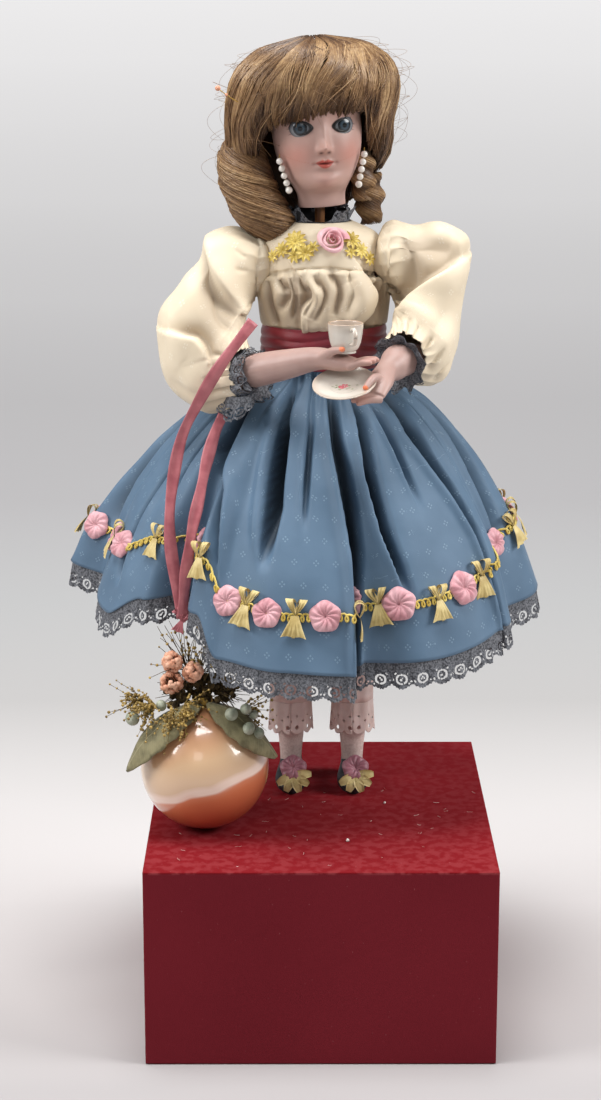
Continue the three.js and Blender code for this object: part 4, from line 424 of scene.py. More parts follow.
def loft(name, rings, finish, body="base", marks=None):
    """A closed form through level or turned rings, with its two ends capped."""
    rings = np.asarray(rings, float)
    rows, columns, _ = rings.shape
    faces = grid_faces(rows, columns).tolist()
    points = np.concatenate([rings.reshape(-1, 3), rings[:1].mean(1), rings[-1:].mean(1)])
    top, bottom = rows * columns, rows * columns + 1
    last = (rows - 1) * columns
    for column in range(columns):
        following = (column + 1) % columns
        faces.append([top, column, following])
        faces.append([bottom, last + following, last + column])
    piece = plain_piece(name, points, faces, finish, body)
    for label, amounts in (marks or {}).items():
        amounts = np.asarray(amounts, np.float32)
        mark(piece.data, label, [*amounts.ravel(), amounts[0].mean(), amounts[-1].mean()])
    return piece


def ring_across(centre, along, half_width, half_height, sides, up=(0, 0, 1)):
    along = unit(along)
    across = unit(np.cross(along, up))
    lift = np.cross(across, along)
    turn = circle(sides)[:, None]
    return np.asarray(centre) + across * np.cos(turn) * half_width - lift * np.sin(turn) * half_height


def limb_rings(points, sections, sides, steps):
    """Rings along a smooth limb: sections are half width and half height at each point."""
    points = np.asarray(points, float)
    stations = np.arange(len(points))
    where = np.linspace(0, len(points) - 1, steps)
    centres = eased(where, stations, points)
    halves = eased(where, stations, sections)
    along = np.gradient(centres, axis=0)
    return [ring_across(centre, way, *half, sides) for centre, way, half in zip(centres, along, halves)]


def turned_rings(outline, sides):
    """Rings round an upright axis, from radius and height pairs that run down."""
    outline = np.asarray(outline, float)
    return around(circle(sides), outline[:, :1], outline[:, :1], outline[:, 1:])


def oriented(rings, turns, centre):
    """Rings turned about X and Y in degrees, and moved to a centre."""
    matrix = Matrix.Rotation(radians(turns[1]), 3, "Y") @ Matrix.Rotation(radians(turns[0]), 3, "X")
    return np.asarray(rings) @ np.array(matrix).T + centre


def faces_outward(piece):
    made = bmesh.new()
    made.from_mesh(piece.data)
    bmesh.ops.remove_doubles(made, verts=made.verts, dist=MM * 0.01)
    bmesh.ops.recalc_face_normals(made, faces=made.faces)
    made.to_mesh(piece.data)
    made.free()
    return piece


def thicken(piece, thickness):
    modifier = piece.modifiers.new("thickness", "SOLIDIFY")
    modifier.thickness = thickness * MM
    modifier.offset = -1
    return piece


def plain_mesh(piece):
    """The piece's finished shape as a plain mesh, with its modifiers used up."""
    graph = bpy.context.evaluated_depsgraph_get()
    mesh = bpy.data.meshes.new_from_object(piece.evaluated_get(graph))
    piece.modifiers.clear()
    piece.data = mesh
    return piece


def declare_sheet(piece, grid):
    """Measures gathered cloth before it is thickened: its cut is its widest row by its drop, and its area is
    kept within that cut; nothing is done with the numbers.
    """
    cloth = cloth_map(grid) * MM
    width, length = float(np.ptp(cloth[..., 0], axis=1).max()), float(np.ptp(cloth[..., 1]))
    area = sum(face.area for face in piece.data.polygons)
    area = float(np.clip(area, LEAST_FULLNESS * width * length, width * length))


# Geometry Nodes: pieces strewn at given places, and strands along given lines


def new_tree(name, inputs):
    tree = bpy.data.node_groups.new(name, "GeometryNodeTree")
    tree.interface.new_socket("Geometry", in_out="INPUT", socket_type="NodeSocketGeometry")
    for label, kind in inputs.items():
        tree.interface.new_socket(label, in_out="INPUT", socket_type=kind)
    tree.interface.new_socket("Geometry", in_out="OUTPUT", socket_type="NodeSocketGeometry")
    return tree, tree.nodes.new("NodeGroupInput"), tree.nodes.new("NodeGroupOutput")


def wire(tree, *links):
    """Links nodes. Each link is a node and its output's name, then a node and its input's name."""
    for source, output, target, entry in links:
        tree.links.new(source.outputs[output], target.inputs[entry])


def end_tree(tree, made, output, given, result):
    """Makes the copies real and gives them their finish."""
    real = tree.nodes.new("GeometryNodeRealizeInstances")
    coat = tree.nodes.new("GeometryNodeSetMaterial")
    wire(
        tree,
        (made, output, real, "Geometry"),
        (real, "Geometry", coat, "Geometry"),
        (given, "Finish", coat, "Material"),
        (coat, "Geometry", result, "Geometry"),
    )
    return tree


def named_attribute(tree, name, kind):
    node = tree.nodes.new("GeometryNodeInputNamedAttribute")
    node.data_type = kind
    node.inputs["Name"].default_value = name
    return node


def strew_tree():
    """Copies of a pattern on the points of a mesh, turned and sized by the marks of each point."""
    inputs = {"Pattern": "NodeSocketObject", "Finish": "NodeSocketMaterial"}
    tree, given, result = new_tree("strew", inputs)
    pattern = tree.nodes.new("GeometryNodeObjectInfo")
    copies = tree.nodes.new("GeometryNodeInstanceOnPoints")
    turn = tree.nodes.new("FunctionNodeEulerToRotation")
    wire(
        tree,
        (given, "Pattern", pattern, "Object"),
        (given, "Geometry", copies, "Points"),
        (pattern, "Geometry", copies, "Instance"),
        (named_attribute(tree, "turn", "FLOAT_VECTOR"), "Attribute", turn, "Euler"),
        (turn, "Rotation", copies, "Rotation"),
        (named_attribute(tree, "size", "FLOAT"), "Attribute", copies, "Scale"),
    )
    return end_tree(tree, copies, "Instances", given, result)


def strand_tree():
    """Tubes along the edges of a mesh, as thick as the marks of its points say."""
    inputs = {"Sides": "NodeSocketInt", "Finish": "NodeSocketMaterial"}
    tree, given, result = new_tree("strands", inputs)
    lines = tree.nodes.new("GeometryNodeMeshToCurve")
    section = tree.nodes.new("GeometryNodeCurvePrimitiveCircle")
    section.inputs["Radius"].default_value = MM
    tubes = tree.nodes.new("GeometryNodeCurveToMesh")
    tubes.inputs["Fill Caps"].default_value = True
    wire(
        tree,
        (given, "Geometry", lines, "Mesh"),
        (given, "Sides", section, "Resolution"),
        (lines, "Curve", tubes, "Curve"),
        (section, "Curve", tubes, "Profile Curve"),
        (named_attribute(tree, "thick", "FLOAT"), "Attribute", tubes, "Scale"),
    )
    return end_tree(tree, tubes, "Mesh", given, result)


STREW = strew_tree()
STRANDS = strand_tree()


def grown(name, carrier, tree, settings, finish, body):
    """Runs a tree on the carrier mesh and keeps the result as a plain mesh."""
    piece = new_piece(name, carrier)
    modifier = piece.modifiers.new("grow", "NODES")
    modifier.node_group = tree
    sockets = {item.name: item.identifier for item in tree.interface.items_tree if item.in_out == "INPUT"}
    for label, value in settings.items():
        modifier[sockets[label]] = value
    modifier[sockets["Finish"]] = finish
    return settle(plain_mesh(piece), finish, body)


def strewn(name, pattern, places, finish, body="base"):
    """Copies of a pattern mesh. A place is a point, the way it faces, the way its top points, and a size."""
    points, outs, tops, sizes = zip(*places)
    carrier = bpy.data.meshes.new(name + "_places")
    carrier.from_pydata(metres(points).tolist(), [], [])
    turns = []
    for out, top in zip(outs, tops):
        out = unit(out)
        across = unit(np.cross(top, out))
        turns.append(Matrix(np.stack([across, np.cross(out, across), out], -1).tolist()).to_euler())
    mark(carrier, "turn", turns, "FLOAT_VECTOR")
    mark(carrier, "size", sizes)
    holder = new_piece(name + "_pattern", pattern)
    piece = grown(name, carrier, STREW, {"Pattern": holder}, finish, body)
    bpy.data.objects.remove(holder)
    return piece


def strands(name, lines, thicknesses, finish, body="base", sides=3, tints=None):
    """Tubes along lines: an array of strands, points and coordinates, with thicknesses to match."""
    lines = np.asarray(lines, float)
    count, length, _ = lines.shape
    carrier = bpy.data.meshes.new(name + "_lines")
    starts = (np.arange(count)[:, None] * length + np.arange(length - 1)[None]).ravel()
    edges = np.stack([starts, starts + 1], -1)
    carrier.from_pydata(metres(lines.reshape(-1, 3)).tolist(), edges.tolist(), [])
    mark(carrier, "thick", np.broadcast_to(thicknesses, (count, length)))
    if tints is not None:
        mark(carrier, "tint", np.broadcast_to(tints, (count, length)))
    return grown(name, carrier, STRANDS, {"Sides": sides}, finish, body)


def pattern_mesh(name, points, faces):
    """A small mesh in metres about its own origin, to be strewn."""
    mesh = bpy.data.meshes.new(name)
    mesh.from_pydata((np.asarray(points, float) * MM).tolist(), [], [list(map(int, face)) for face in faces])
    return mesh


def pattern_grid(name, grid, closed=True, turned=False):
    faces = grid_faces(*grid.shape[:2], closed)
    return pattern_mesh(name, grid.reshape(-1, 3), faces[:, ::-1] if turned else faces)


# Finishes


def paint(red, green, blue):
    """A colour as it is seen on a screen, 0 to 255, turned to the linear light that the shader takes."""
    shares = np.array([red, green, blue]) / 255
    linear = np.where(shares <= 0.04045, shares / 12.92, ((shares + 0.055) / 1.055) ** 2.4)
    return (*linear.tolist(), 1.0)


class Finish:
    """A material with helpers that add its nodes."""

    def __init__(self, name, roughness=0.6, **sockets):
        self.material = bpy.data.materials.new(name)
        self.material.use_nodes = True
        self.tree = self.material.node_tree
        self.shader = self.tree.nodes["Principled BSDF"]
        self.place = self.node("ShaderNodeTexCoord").outputs["Object"]
        self.shader.inputs["Roughness"].default_value = roughness
        for label, value in sockets.items():
            self.shader.inputs[label.replace("_", " ")].default_value = value

    def node(self, kind, **settings):
        made = self.tree.nodes.new(kind)
        for label, value in settings.items():
            setattr(made, label, value)
        return made

    def feed(self, socket, value):
        if isinstance(value, bpy.types.NodeSocket):
            self.tree.links.new(value, socket)
        elif value is not None:
            socket.default_value = value

    def maths(self, operation, first, second=None, third=None):
        made = self.node("ShaderNodeMath", operation=operation)
        for socket, value in zip(made.inputs, (first, second, third)):
            self.feed(socket, value)
        return made.outputs[0]

    def times(self, first, second):
        return self.maths("MULTIPLY", first, second)

    def plus(self, first, second):
        return self.maths("ADD", first, second)

    def minus(self, first, second):
        return self.maths("SUBTRACT", first, second)

    def over(self, first, second):
        return self.maths("DIVIDE", first, second)

    def larger(self, first, second):
        return self.maths("MAXIMUM", first, second)

    def size(self, value):
        return self.maths("ABSOLUTE", value)

    def part_of_one(self, value):
        return self.maths("FRACT", value)

    def moved(self, scale=(1, 1, 1), shift=(0, 0, 0)):
        """Where a pattern lies once it is scaled and shifted."""
        made = self.node("ShaderNodeMapping")
        self.feed(made.inputs["Vector"], self.place)
        made.inputs["Scale"].default_value = scale
        made.inputs["Location"].default_value = shift
        return made.outputs["Vector"]

    def speckle(self, scale, detail=3.0, place=None):
        made = self.node("ShaderNodeTexNoise")
        self.feed(made.inputs["Vector"], place or self.place)
        made.inputs["Scale"].default_value = scale
        made.inputs["Detail"].default_value = detail
        return made.outputs["Fac"]

    def waves(self, scale, direction="X", distortion=0.0, place=None):
        made = self.node("ShaderNodeTexWave", bands_direction=direction)
        self.feed(made.inputs["Vector"], place or self.place)
        made.inputs["Scale"].default_value = scale
        made.inputs["Distortion"].default_value = distortion
        return made.outputs["Fac"]

    def range(self, value, low, high, to_low=0.0, to_high=1.0):
        made = self.node("ShaderNodeMapRange", interpolation_type="SMOOTHSTEP")
        self.feed(made.inputs["Value"], value)
        for label, amount in (("From Min", low), ("From Max", high), ("To Min", to_low), ("To Max", to_high)):
            made.inputs[label].default_value = amount
        return made.outputs["Result"]

    def mix(self, share, first, second, way="MIX"):
        made = self.node("ShaderNodeMix", data_type="RGBA", blend_type=way)
        self.feed(made.inputs["Factor"], share)
        self.feed(made.inputs[6], first)
        self.feed(made.inputs[7], second)
        return made.outputs[2]

    def mottle(self, scale, detail, low, high, first, second):
        """Two colours in soft spots."""
        return self.mix(self.range(self.speckle(scale, detail), low, high), first, second)

    def ramp(self, share, tones):
        """Colours by share, from screen colours or from linear light with its alpha."""
        made = self.node("ShaderNodeValToRGB")
        points = made.color_ramp.elements
        while len(points) < len(tones):
            points.new(0.5)
        for point, (where, tone) in zip(points, tones.items()):
            point.position = where
            point.color = paint(*tone) if len(tone) == 3 else tone
        self.feed(made.inputs[0], share)
        return made.outputs["Color"]

    def attribute(self, name):
        return self.node("ShaderNodeAttribute", attribute_name=name).outputs["Fac"]

    def parts(self, vector):
        made = self.node("ShaderNodeSeparateXYZ")
        self.feed(made.inputs[0], vector)
        return made.outputs

    def cloth_place(self):
        return self.node("ShaderNodeUVMap", uv_map="cloth").outputs["UV"]

    def colour(self, value):
        self.feed(self.shader.inputs["Base Color"], value)
        return self

    def rough(self, value):
        self.feed(self.shader.inputs["Roughness"], value)
        return self

    def relief(self, height, depth, strength=1.0):
        """Bump whose depth is in millimetres."""
        made = self.node("ShaderNodeBump")
        made.inputs["Distance"].default_value = depth * MM
        made.inputs["Strength"].default_value = strength
        self.feed(made.inputs["Height"], height)
        self.feed(self.shader.inputs["Normal"], made.outputs["Normal"])
        return self


def velvet_finish():
    """Crimson velvet with painted light: its top is painted lighter than its sides, as if lit from above, and
    lighter at the back than at the front. It is also rubbed along the edge and dusty in places.
    """
    made = Finish("crimson_velvet", 0.95, Sheen_Weight=0.03, Sheen_Roughness=0.5, Specular_IOR_Level=0.15)
    made.shader.inputs["Sheen Tint"].default_value = paint(225, 90, 95)
    _, away, height = made.parts(made.place)
    side = made.mottle(7, 3, 0.3, 0.7, paint(108, 26, 36), paint(116, 30, 40))
    # Painted light: the top is lighter than the sides, and lighter at the back than at the front edge
    front_shade = made.range(away, *VELVET_TOP_LIGHT, 1.0, 0.0)
    top = made.mix(front_shade, paint(146, 27, 36), paint(118, 14, 22))
    lit_and_worn_nap = made.mix(made.range(height, BOX_HEIGHT - 1.5 * MM, BOX_HEIGHT - 0.3 * MM), side, top)
    to_edge = made.size(made.minus(height, BOX_HEIGHT - 0.7 * MM))
    near_edge = made.range(to_edge, 0.0, BOX_EDGE_ROUNDING * MM, 1.0, 0.0)
    rubbed = made.times(near_edge, made.range(made.speckle(160, 4), 0.42, 0.6))
    lit_and_worn_nap = made.mix(made.times(rubbed, 0.4), lit_and_worn_nap, paint(176, 84, 88))
    dust = made.range(made.speckle(520, 1), 0.73, 0.8)
    lit_and_worn_nap = made.mix(made.times(dust, 0.3), lit_and_worn_nap, paint(170, 100, 104))
    made.colour(lit_and_worn_nap).relief(made.speckle(2200, 2), 0.2, 0.6)
    return made.material


# A jacquard dot's middle and its soft edge, as shares of the pattern's spacing, and the stretch of wood grain
DOT_OFFSET = 0.1
DOT_EDGE = (0.04, 0.065)
WOOD_GRAIN = (1, 0.2, 0.2)


def satin_finish(name, light, dark, dots, deep, spacing, sheen, gloss):
    """Jacquard satin: fine weave, small four-dot figures in offset rows, brighter and glossier, and painted
    shade where the fold mark says the cloth lies in a hollow.
    """
    made = Finish(name, gloss, Sheen_Weight=sheen, Sheen_Roughness=0.5)
    place = made.cloth_place()
    across, down, _ = made.parts(place)
    row = made.maths("FLOOR", made.over(down, spacing))
    shifted = made.plus(made.over(across, spacing), made.times(row, 0.5))
    cell_x = made.minus(made.part_of_one(shifted), 0.5)
    cell_y = made.minus(made.part_of_one(made.over(down, spacing)), 0.5)
    rising, falling = made.size(made.plus(cell_x, cell_y)), made.size(made.minus(cell_x, cell_y))
    across_dot = made.size(made.minus(rising, DOT_OFFSET))
    to_dot = made.larger(across_dot, made.size(made.minus(falling, DOT_OFFSET)))
    figure = made.range(to_dot, *DOT_EDGE, 1.0, 0.0)
    threads = made.waves(900, "Y", place=place)
    ground = made.mottle(38, 2, 0.2, 0.8, dark, light)
    ground = made.mix(made.times(threads, 0.06), ground, dark)
    ground = made.mix(made.times(figure, 0.4), ground, dots)
    # Painted shade: the deep colour is mixed in by the fold mark
    made.colour(made.mix(made.attribute("fold"), ground, deep))
    made.rough(made.minus(gloss, made.times(figure, 0.12)))
    height = made.plus(made.times(threads, 0.3), made.times(figure, 0.8))
    made.relief(made.plus(height, made.speckle(260, 2)), 0.1, 0.6)
    return made.material


def sash_finish():
    made = Finish("burgundy_satin", 0.38, Sheen_Weight=0.2, Sheen_Roughness=0.4)
    made.colour(made.mottle(40, 3, 0.3, 0.7, paint(112, 24, 38), paint(150, 40, 54)))
    made.relief(made.waves(700, "Y", 2.0, made.cloth_place()), 0.1, 0.5)
    return made.material


def lace_finish():
    made = Finish("dark_lace_thread", 0.6)
    twist = made.speckle(900, 2)
    made.colour(made.mix(made.range(twist, 0.35, 0.65), paint(52, 54, 60), paint(116, 118, 124)))
    made.relief(twist, 0.1)
    return made.material


def lid_finish():
    made = Finish("painted_lid_black", 0.5)
    made.colour(made.mottle(600, 2, 0.3, 0.7, paint(9, 8, 10), paint(20, 18, 20)))
    return made.material


def linen_finish():
    made = Finish("pink_underlinen", 0.75, Subsurface_Weight=0.1, Sheen_Weight=0.1)
    made.shader.inputs["Subsurface Radius"].default_value = (0.003, 0.002, 0.0015)
    made.colour(made.mottle(90, 3, 0.3, 0.7, paint(222, 196, 187), paint(238, 216, 208)))
    made.relief(made.speckle(1200, 2), 0.12)
    return made.material


def ribbon_finish(name, dark, light, gloss=0.42):
    made = Finish(name, gloss, Sheen_Weight=0.15)
    made.colour(made.mottle(120, 3, 0.32, 0.68, dark, light))
    made.relief(made.speckle(700, 1), 0.08)
    return made.material


BISQUE_GLOW = (0.004, 0.002, 0.0015)
FACE_PAINTS = {
    "blush": (190, 122, 106), "lips": (178, 84, 73), "lipline": (94, 36, 34), "shadow": (70, 40, 36),
    "lids": (20, 18, 20),
}


def bisque_finish():
    """Painted bisque: blushed cheeks, coral lips, dark lid lines, all kept on the head's own marks."""
    made = Finish("painted_bisque", 0.47, Subsurface_Weight=0.08)
    made.shader.inputs["Subsurface Radius"].default_value = BISQUE_GLOW
    tone = made.mottle(45, 3, 0.3, 0.7, paint(180, 146, 135), paint(188, 154, 144))
    for mark_name, colour in FACE_PAINTS.items():
        tone = made.mix(made.attribute(mark_name), tone, paint(*colour))
    made.colour(tone).relief(made.speckle(1500, 2), 0.04, 0.6)
    return made.material


def hand_finish():
    made = Finish("bisque_hand", 0.45, Subsurface_Weight=0.08)
    made.shader.inputs["Subsurface Radius"].default_value = BISQUE_GLOW
    tone = made.mottle(60, 3, 0.3, 0.7, paint(170, 138, 129), paint(180, 149, 140))
    tone = made.mix(made.attribute("warmth"), tone, paint(186, 124, 108))
    made.colour(made.mix(made.attribute("nail"), tone, paint(222, 122, 78)))
    made.relief(made.speckle(1400, 2), 0.04, 0.6)
    return made.material


# Colours by the reach from the pupil's middle, by the tint of each hair, and by the level in the ball
EYE_TONES = {
    0.19: (5, 6, 8), 0.24: (56, 70, 80), 0.38: (44, 58, 68), 0.45: (9, 12, 16), 0.58: (7, 8, 11),
    0.64: (122, 124, 128), 1.0: (96, 96, 100),
}
HAIR_TONES = {0.0: (46, 30, 19), 0.3: (94, 66, 42), 0.62: (147, 113, 76), 1.0: (198, 164, 120)}
BALL_TONES = {
    0.0: (176, 92, 58), 0.26: (206, 122, 82), 0.34: (214, 136, 98), 0.375: (240, 214, 196),
    0.44: (236, 208, 190), 0.5: (216, 182, 148), 0.75: (214, 178, 140), 1.0: (200, 140, 100),
}


def eye_finish():
    """A grey-blue glass eye: its colours follow the reach from the pupil's middle."""
    made = Finish("grey_blue_glass_eye", 0.22, Coat_Weight=0.5, Coat_Roughness=0.06, Specular_IOR_Level=0.3)
    iris = made.ramp(made.attribute("reach"), EYE_TONES)
    streaks = made.range(made.speckle(260, 4), 0.35, 0.75, 0.0, 0.25)
    made.colour(made.mix(streaks, iris, paint(40, 54, 70)))
    return made.material


def hair_finish():
    made = Finish("golden_brown_mohair", 0.42, Anisotropic=0.5, Coat_Weight=0.1, Coat_Roughness=0.35)
    tone = made.ramp(made.attribute("tint"), HAIR_TONES)
    darker = made.range(made.speckle(380, 3), 0.35, 0.7, 0.0, 0.4)
    made.colour(made.mix(darker, tone, paint(96, 62, 34)))
    return made.material


def pearl_finish():
    made = Finish("pearl", 0.18, Coat_Weight=0.8, Coat_Roughness=0.08, Sheen_Weight=0.2)
    made.colour(made.mottle(320, 2, 0.35, 0.65, paint(222, 214, 204), paint(244, 238, 230)))
    made.relief(made.speckle(600, 1), 0.03)
    return made.material


def china_finish():
    made = Finish("white_china", 0.16, Coat_Weight=0.6, Coat_Roughness=0.05)
    glaze = made.mottle(80, 3, 0.3, 0.7, paint(203, 195, 183), paint(213, 206, 195))
    made.colour(made.mix(made.attribute("gilt"), glaze, paint(160, 108, 60)))
    made.relief(made.speckle(240, 2), 0.04, 0.5)
    return made.material


# How far the ball's bands wander, in metres, and how they slope
BALL_SWING = 0.012
BALL_TILT = -0.34


def ornament_finish():
    """Peach glass with pale and dark bands that lie a little aslant."""
    made = Finish("peach_glass_ball", 0.28, Coat_Weight=1.0, Coat_Roughness=0.04, Specular_IOR_Level=0.6)
    local = made.moved(shift=tuple(-metres(ORNAMENT_CENTRE)))
    across, _, height = made.parts(local)
    swing = made.times(made.minus(made.speckle(26, 2, local), 0.5), BALL_SWING)
    level = made.plus(made.plus(height, made.times(across, BALL_TILT)), swing)
    reach = ORNAMENT_RADIUS * MM
    made.colour(made.ramp(made.range(level, -reach, reach), BALL_TONES))
    made.relief(made.speckle(40, 1), 0.05, 0.3)
    return made.material


def mottled_finish(name, dark, light, scale=300, roughness=0.8, depth=0.2, **sockets):
    made = Finish(name, roughness, **sockets)
    spots = made.speckle(scale, 3)
    made.colour(made.mix(made.range(spots, 0.32, 0.68), dark, light))
    made.relief(spots, depth)
    return made.material


VEINS_A_METRE = 260


def leaf_finish():
    """Sage green, with a pale middle vein and slanting side veins."""
    made = Finish("sage_leaf", 0.7, Sheen_Weight=0.1)
    across, along, _ = made.parts(made.cloth_place())
    shade = made.speckle(140, 3)
    tone = made.mix(made.range(shade, 0.3, 0.7), paint(104, 98, 68), paint(142, 134, 98))
    aside = made.size(across)
    middle = made.range(aside, 0.0, 0.7 * MM, 1.0, 0.0)
    slanting = made.part_of_one(made.times(made.minus(along, aside), VEINS_A_METRE))
    veins = made.range(slanting, 0.0, 0.16, 1.0, 0.0)
    lines = made.larger(middle, made.times(veins, 0.45))
    made.colour(made.mix(made.times(lines, 0.6), tone, paint(168, 160, 122)))
    made.relief(made.plus(lines, shade), 0.25)
    return made.material


def metal_finish(name, colour, tarnish, roughness):
    made = Finish(name, roughness, Metallic=1.0)
    spots = made.speckle(130, 4)
    made.colour(made.mix(made.range(spots, 0.4, 0.75), colour, tarnish))
    made.rough(made.range(spots, 0.3, 0.8, roughness, min(1.0, roughness + 0.25)))
    made.relief(made.waves(500, "Z", 1.5), 0.02)
    return made.material


def wood_finish(name, dark, light, roughness=0.6):
    made = Finish(name, roughness)
    grain = made.waves(60, "X", 4.0, made.moved(WOOD_GRAIN))
    made.colour(made.mix(grain, dark, light))
    made.relief(made.plus(grain, made.speckle(500, 3)), 0.1)
    return made.material


VELVET = velvet_finish()
# Light, dark, dots, and the painted shade of deep folds
BLOUSE_TONES = paint(232, 217, 191), paint(223, 206, 178), paint(250, 243, 226), paint(120, 96, 74)
DRESS_TONES = paint(90, 116, 140), paint(75, 101, 125), paint(134, 160, 178), paint(20, 28, 38)
BLOUSE = satin_finish("cream_satin", *BLOUSE_TONES, spacing=0.013, sheen=0.05, gloss=0.56)
DRESS = satin_finish("dusty_blue_satin", *DRESS_TONES, spacing=0.0125, sheen=0.03, gloss=0.62)
SASH = sash_finish()
LACE = lace_finish()
LINEN = linen_finish()
RIBBON = ribbon_finish("mauve_pink_ribbon", paint(162, 84, 92), paint(186, 108, 114))
ROSETTE = ribbon_finish("pink_rosette_ribbon", paint(196, 134, 142), paint(222, 172, 178), 0.55)
ROSE = ribbon_finish("pale_rose_ribbon", paint(222, 158, 166), paint(242, 196, 200), 0.55)
GOLD_RIBBON = ribbon_finish("straw_gold_ribbon", paint(178, 154, 92), paint(214, 194, 134), 0.5)
GOLD_THREAD = ribbon_finish("yellow_gold_thread", paint(190, 160, 60), paint(232, 208, 110), 0.35)
BISQUE = bisque_finish()
HAND = hand_finish()
EYE = eye_finish()
LID_BLACK = lid_finish()
HAIR = hair_finish()
PEARL = pearl_finish()
CHINA = china_finish()
PETAL = mottled_finish("painted_sprig_pink", paint(196, 96, 104), paint(222, 140, 144), 900, 0.2, 0.02)
STALK = mottled_finish("painted_sprig_green", paint(110, 126, 84), paint(150, 160, 110), 900, 0.2, 0.02)
GLASS = ornament_finish()
LEAF = leaf_finish()
MOSS = mottled_finish("dry_moss", paint(44, 34, 20), paint(104, 84, 46), 420, 0.95, 0.8)
SEED = mottled_finish("brown_gold_seed", paint(106, 84, 36), paint(186, 156, 84), 300, 0.45, 0.1)
BERRY = mottled_finish("pale_green_berry", paint(138, 144, 124), paint(188, 192, 172), 160, 0.5, 0.1)
FLOWER = mottled_finish("peach_paper_flower", paint(206, 142, 112), paint(238, 186, 158), 260, 0.8, 0.15)
SHOE = mottled_finish("black_kid_leather", paint(22, 24, 28), paint(46, 48, 54), 500, 0.45, 0.06)
STOCKING = mottled_finish("pale_stocking", paint(214, 190, 181), paint(232, 211, 203), 700, 0.8, 0.06)
STEEL = metal_finish("bright_steel", paint(176, 180, 186), paint(120, 116, 110), 0.32)
BRASS = metal_finish("clock_brass", paint(196, 160, 84), paint(132, 100, 50), 0.34)
IRON = metal_finish("painted_iron", paint(74, 76, 80), paint(50, 46, 44), 0.55)
ROSETTE_DARK = ribbon_finish("mauve_rosette_ribbon", paint(150, 92, 104), paint(182, 122, 134))
# Painted shade: near black, for the sheet that stands in for the shade inside the neck's opening
NECK_SHADE = mottled_finish("painted_neck_shade", paint(14, 14, 16), paint(26, 26, 30), 500, 0.9, 0.1)
WOOD = wood_finish("plain_pine", paint(150, 112, 72), paint(184, 146, 98))
COMPOSITION = wood_finish("pink_composition", paint(186, 136, 112), paint(202, 154, 130), 0.7)
STEM_WOOD = wood_finish("neck_stem_wood", paint(120, 74, 40), paint(164, 110, 66), 0.5)


# Box, legs and shoes


def box_velvet():
    """The velvet over the box, with its edges softly rounded."""
    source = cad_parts["velvet_cover"]
    piece = faces_outward(new_piece("box_velvet", source.data.copy()))
    bevel = piece.modifiers.new("rounding", "BEVEL")
    bevel.width = BOX_EDGE_ROUNDING * MM * 0.55
    bevel.segments = 3
    bevel.limit_method = "ANGLE"
    bevel.angle_limit = radians(50)
    settle(piece, VELVET, "base", smooth=False)
    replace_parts(piece, "velvet_cover")


LINT_COUNT = 46
LINT_LIFT = 0.14


def lint():
    """A few pale fibres and a bead or two that lie on the velvet."""
    source = np.random.default_rng(5)
    x = source.uniform(-92, 96, LINT_COUNT)[:, None]
    y = source.uniform(-152, -20, LINT_COUNT)[:, None]
    bend = source.uniform(0, 2 * pi, LINT_COUNT)[:, None]
    reach = source.uniform(0.5, 2.2, LINT_COUNT)[:, None]
    shares = np.linspace(-1, 1, 5)
    across, along = np.cos(bend) * reach * shares, np.sin(bend) * reach * shares + 0.5 * shares**2
    lines = np.stack(np.broadcast_arrays(x + across, y + along, BOX_TOP + LINT_LIFT), -1)
    strands("velvet_lint", lines, source.uniform(0.05, 0.13, LINT_COUNT)[:, None], LINEN)
    beads = [((16, -112, 0.9), (0, 0, 1), (0, 1, 0), 1.0), ((40, -48, 0.7), (0, 0, 1), (0, 1, 0), 0.8)]
    strewn("velvet_beads", ball_pattern(1.0, 2), beads, PEARL)


def ball_pattern(radius, subdivisions, stretch=(1, 1, 1)):
    mesh = bpy.data.meshes.new("ball")
    made = bmesh.new()
    bmesh.ops.create_icosphere(made, subdivisions=subdivisions, radius=radius * MM)
    bmesh.ops.scale(made, vec=stretch, verts=made.verts)
    made.to_mesh(mesh)
    made.free()
    return mesh


LEGS = {"right": -17.5, "left": 21.0}
LEG_HEIGHTS = [205, 150, 110, 74, 45, 20, 9]
LEG_RADII = [14, 13.4, 10.8, 10.2, 9.4, 7.0, 6.3]
SHOE_HALF_WIDTH = 9.5
SHOE_TOE = -32.0
SHOE_HEEL = 13.0
SHOE_SOLE = 0.2
# From toe to heel, as a share of the half width, and as the height of the shoe's back
SHOE_WIDTHS = [(0, 0.3), (0.06, 0.66), (0.25, 1), (0.5, 0.92), (0.72, 0.74), (0.92, 0.6), (1, 0.24)]
SHOE_TOPS = [(0, 4.5), (0.08, 8), (0.3, 10.5), (0.55, 13.5), (0.75, 16.5), (0.94, 16.8), (1, 13)]


def leg(side):
    heights = np.linspace(LEG_HEIGHTS[0], LEG_HEIGHTS[-1], 40)
    radii = eased(-heights, [-height for height in LEG_HEIGHTS], LEG_RADII)
    rings = turned_rings(np.stack([radii, heights], -1), 32) + (LEGS[side], 0, 0)
    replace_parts(loft("stocking_leg_" + side, rings, STOCKING), "leg_" + side)


def shoe(side):
    """A low kid shoe: round toe, rising to the ankle at the back."""
    along = np.linspace(0, 1, 26)
    widths = SHOE_HALF_WIDTH * eased(along, *np.transpose(SHOE_WIDTHS))
    tops = eased(along, *np.transpose(SHOE_TOPS))
    cosines, sines = np.cos(circle(28)), np.sin(circle(28))
    rings = []
    for share, width, top in zip(along, widths, tops):
        x = LEGS[side] + np.sign(cosines) * np.abs(cosines) ** 0.7 * width
        up = SHOE_SOLE + top * (0.5 + 0.5 * np.sign(sines) * np.abs(sines) ** 0.8)
        y = SHOE_TOE + (SHOE_HEEL - SHOE_TOE) * share
        rings.append(np.stack(np.broadcast_arrays(x, y, up), -1))
    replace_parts(faces_outward(loft("kid_shoe_" + side, rings, SHOE)), "shoe_" + side)


PETAL_LENGTH = 7.0
PETAL_WIDTH = 3.6
PETAL_TURNS = (-64, -24, 20, 60, 100)


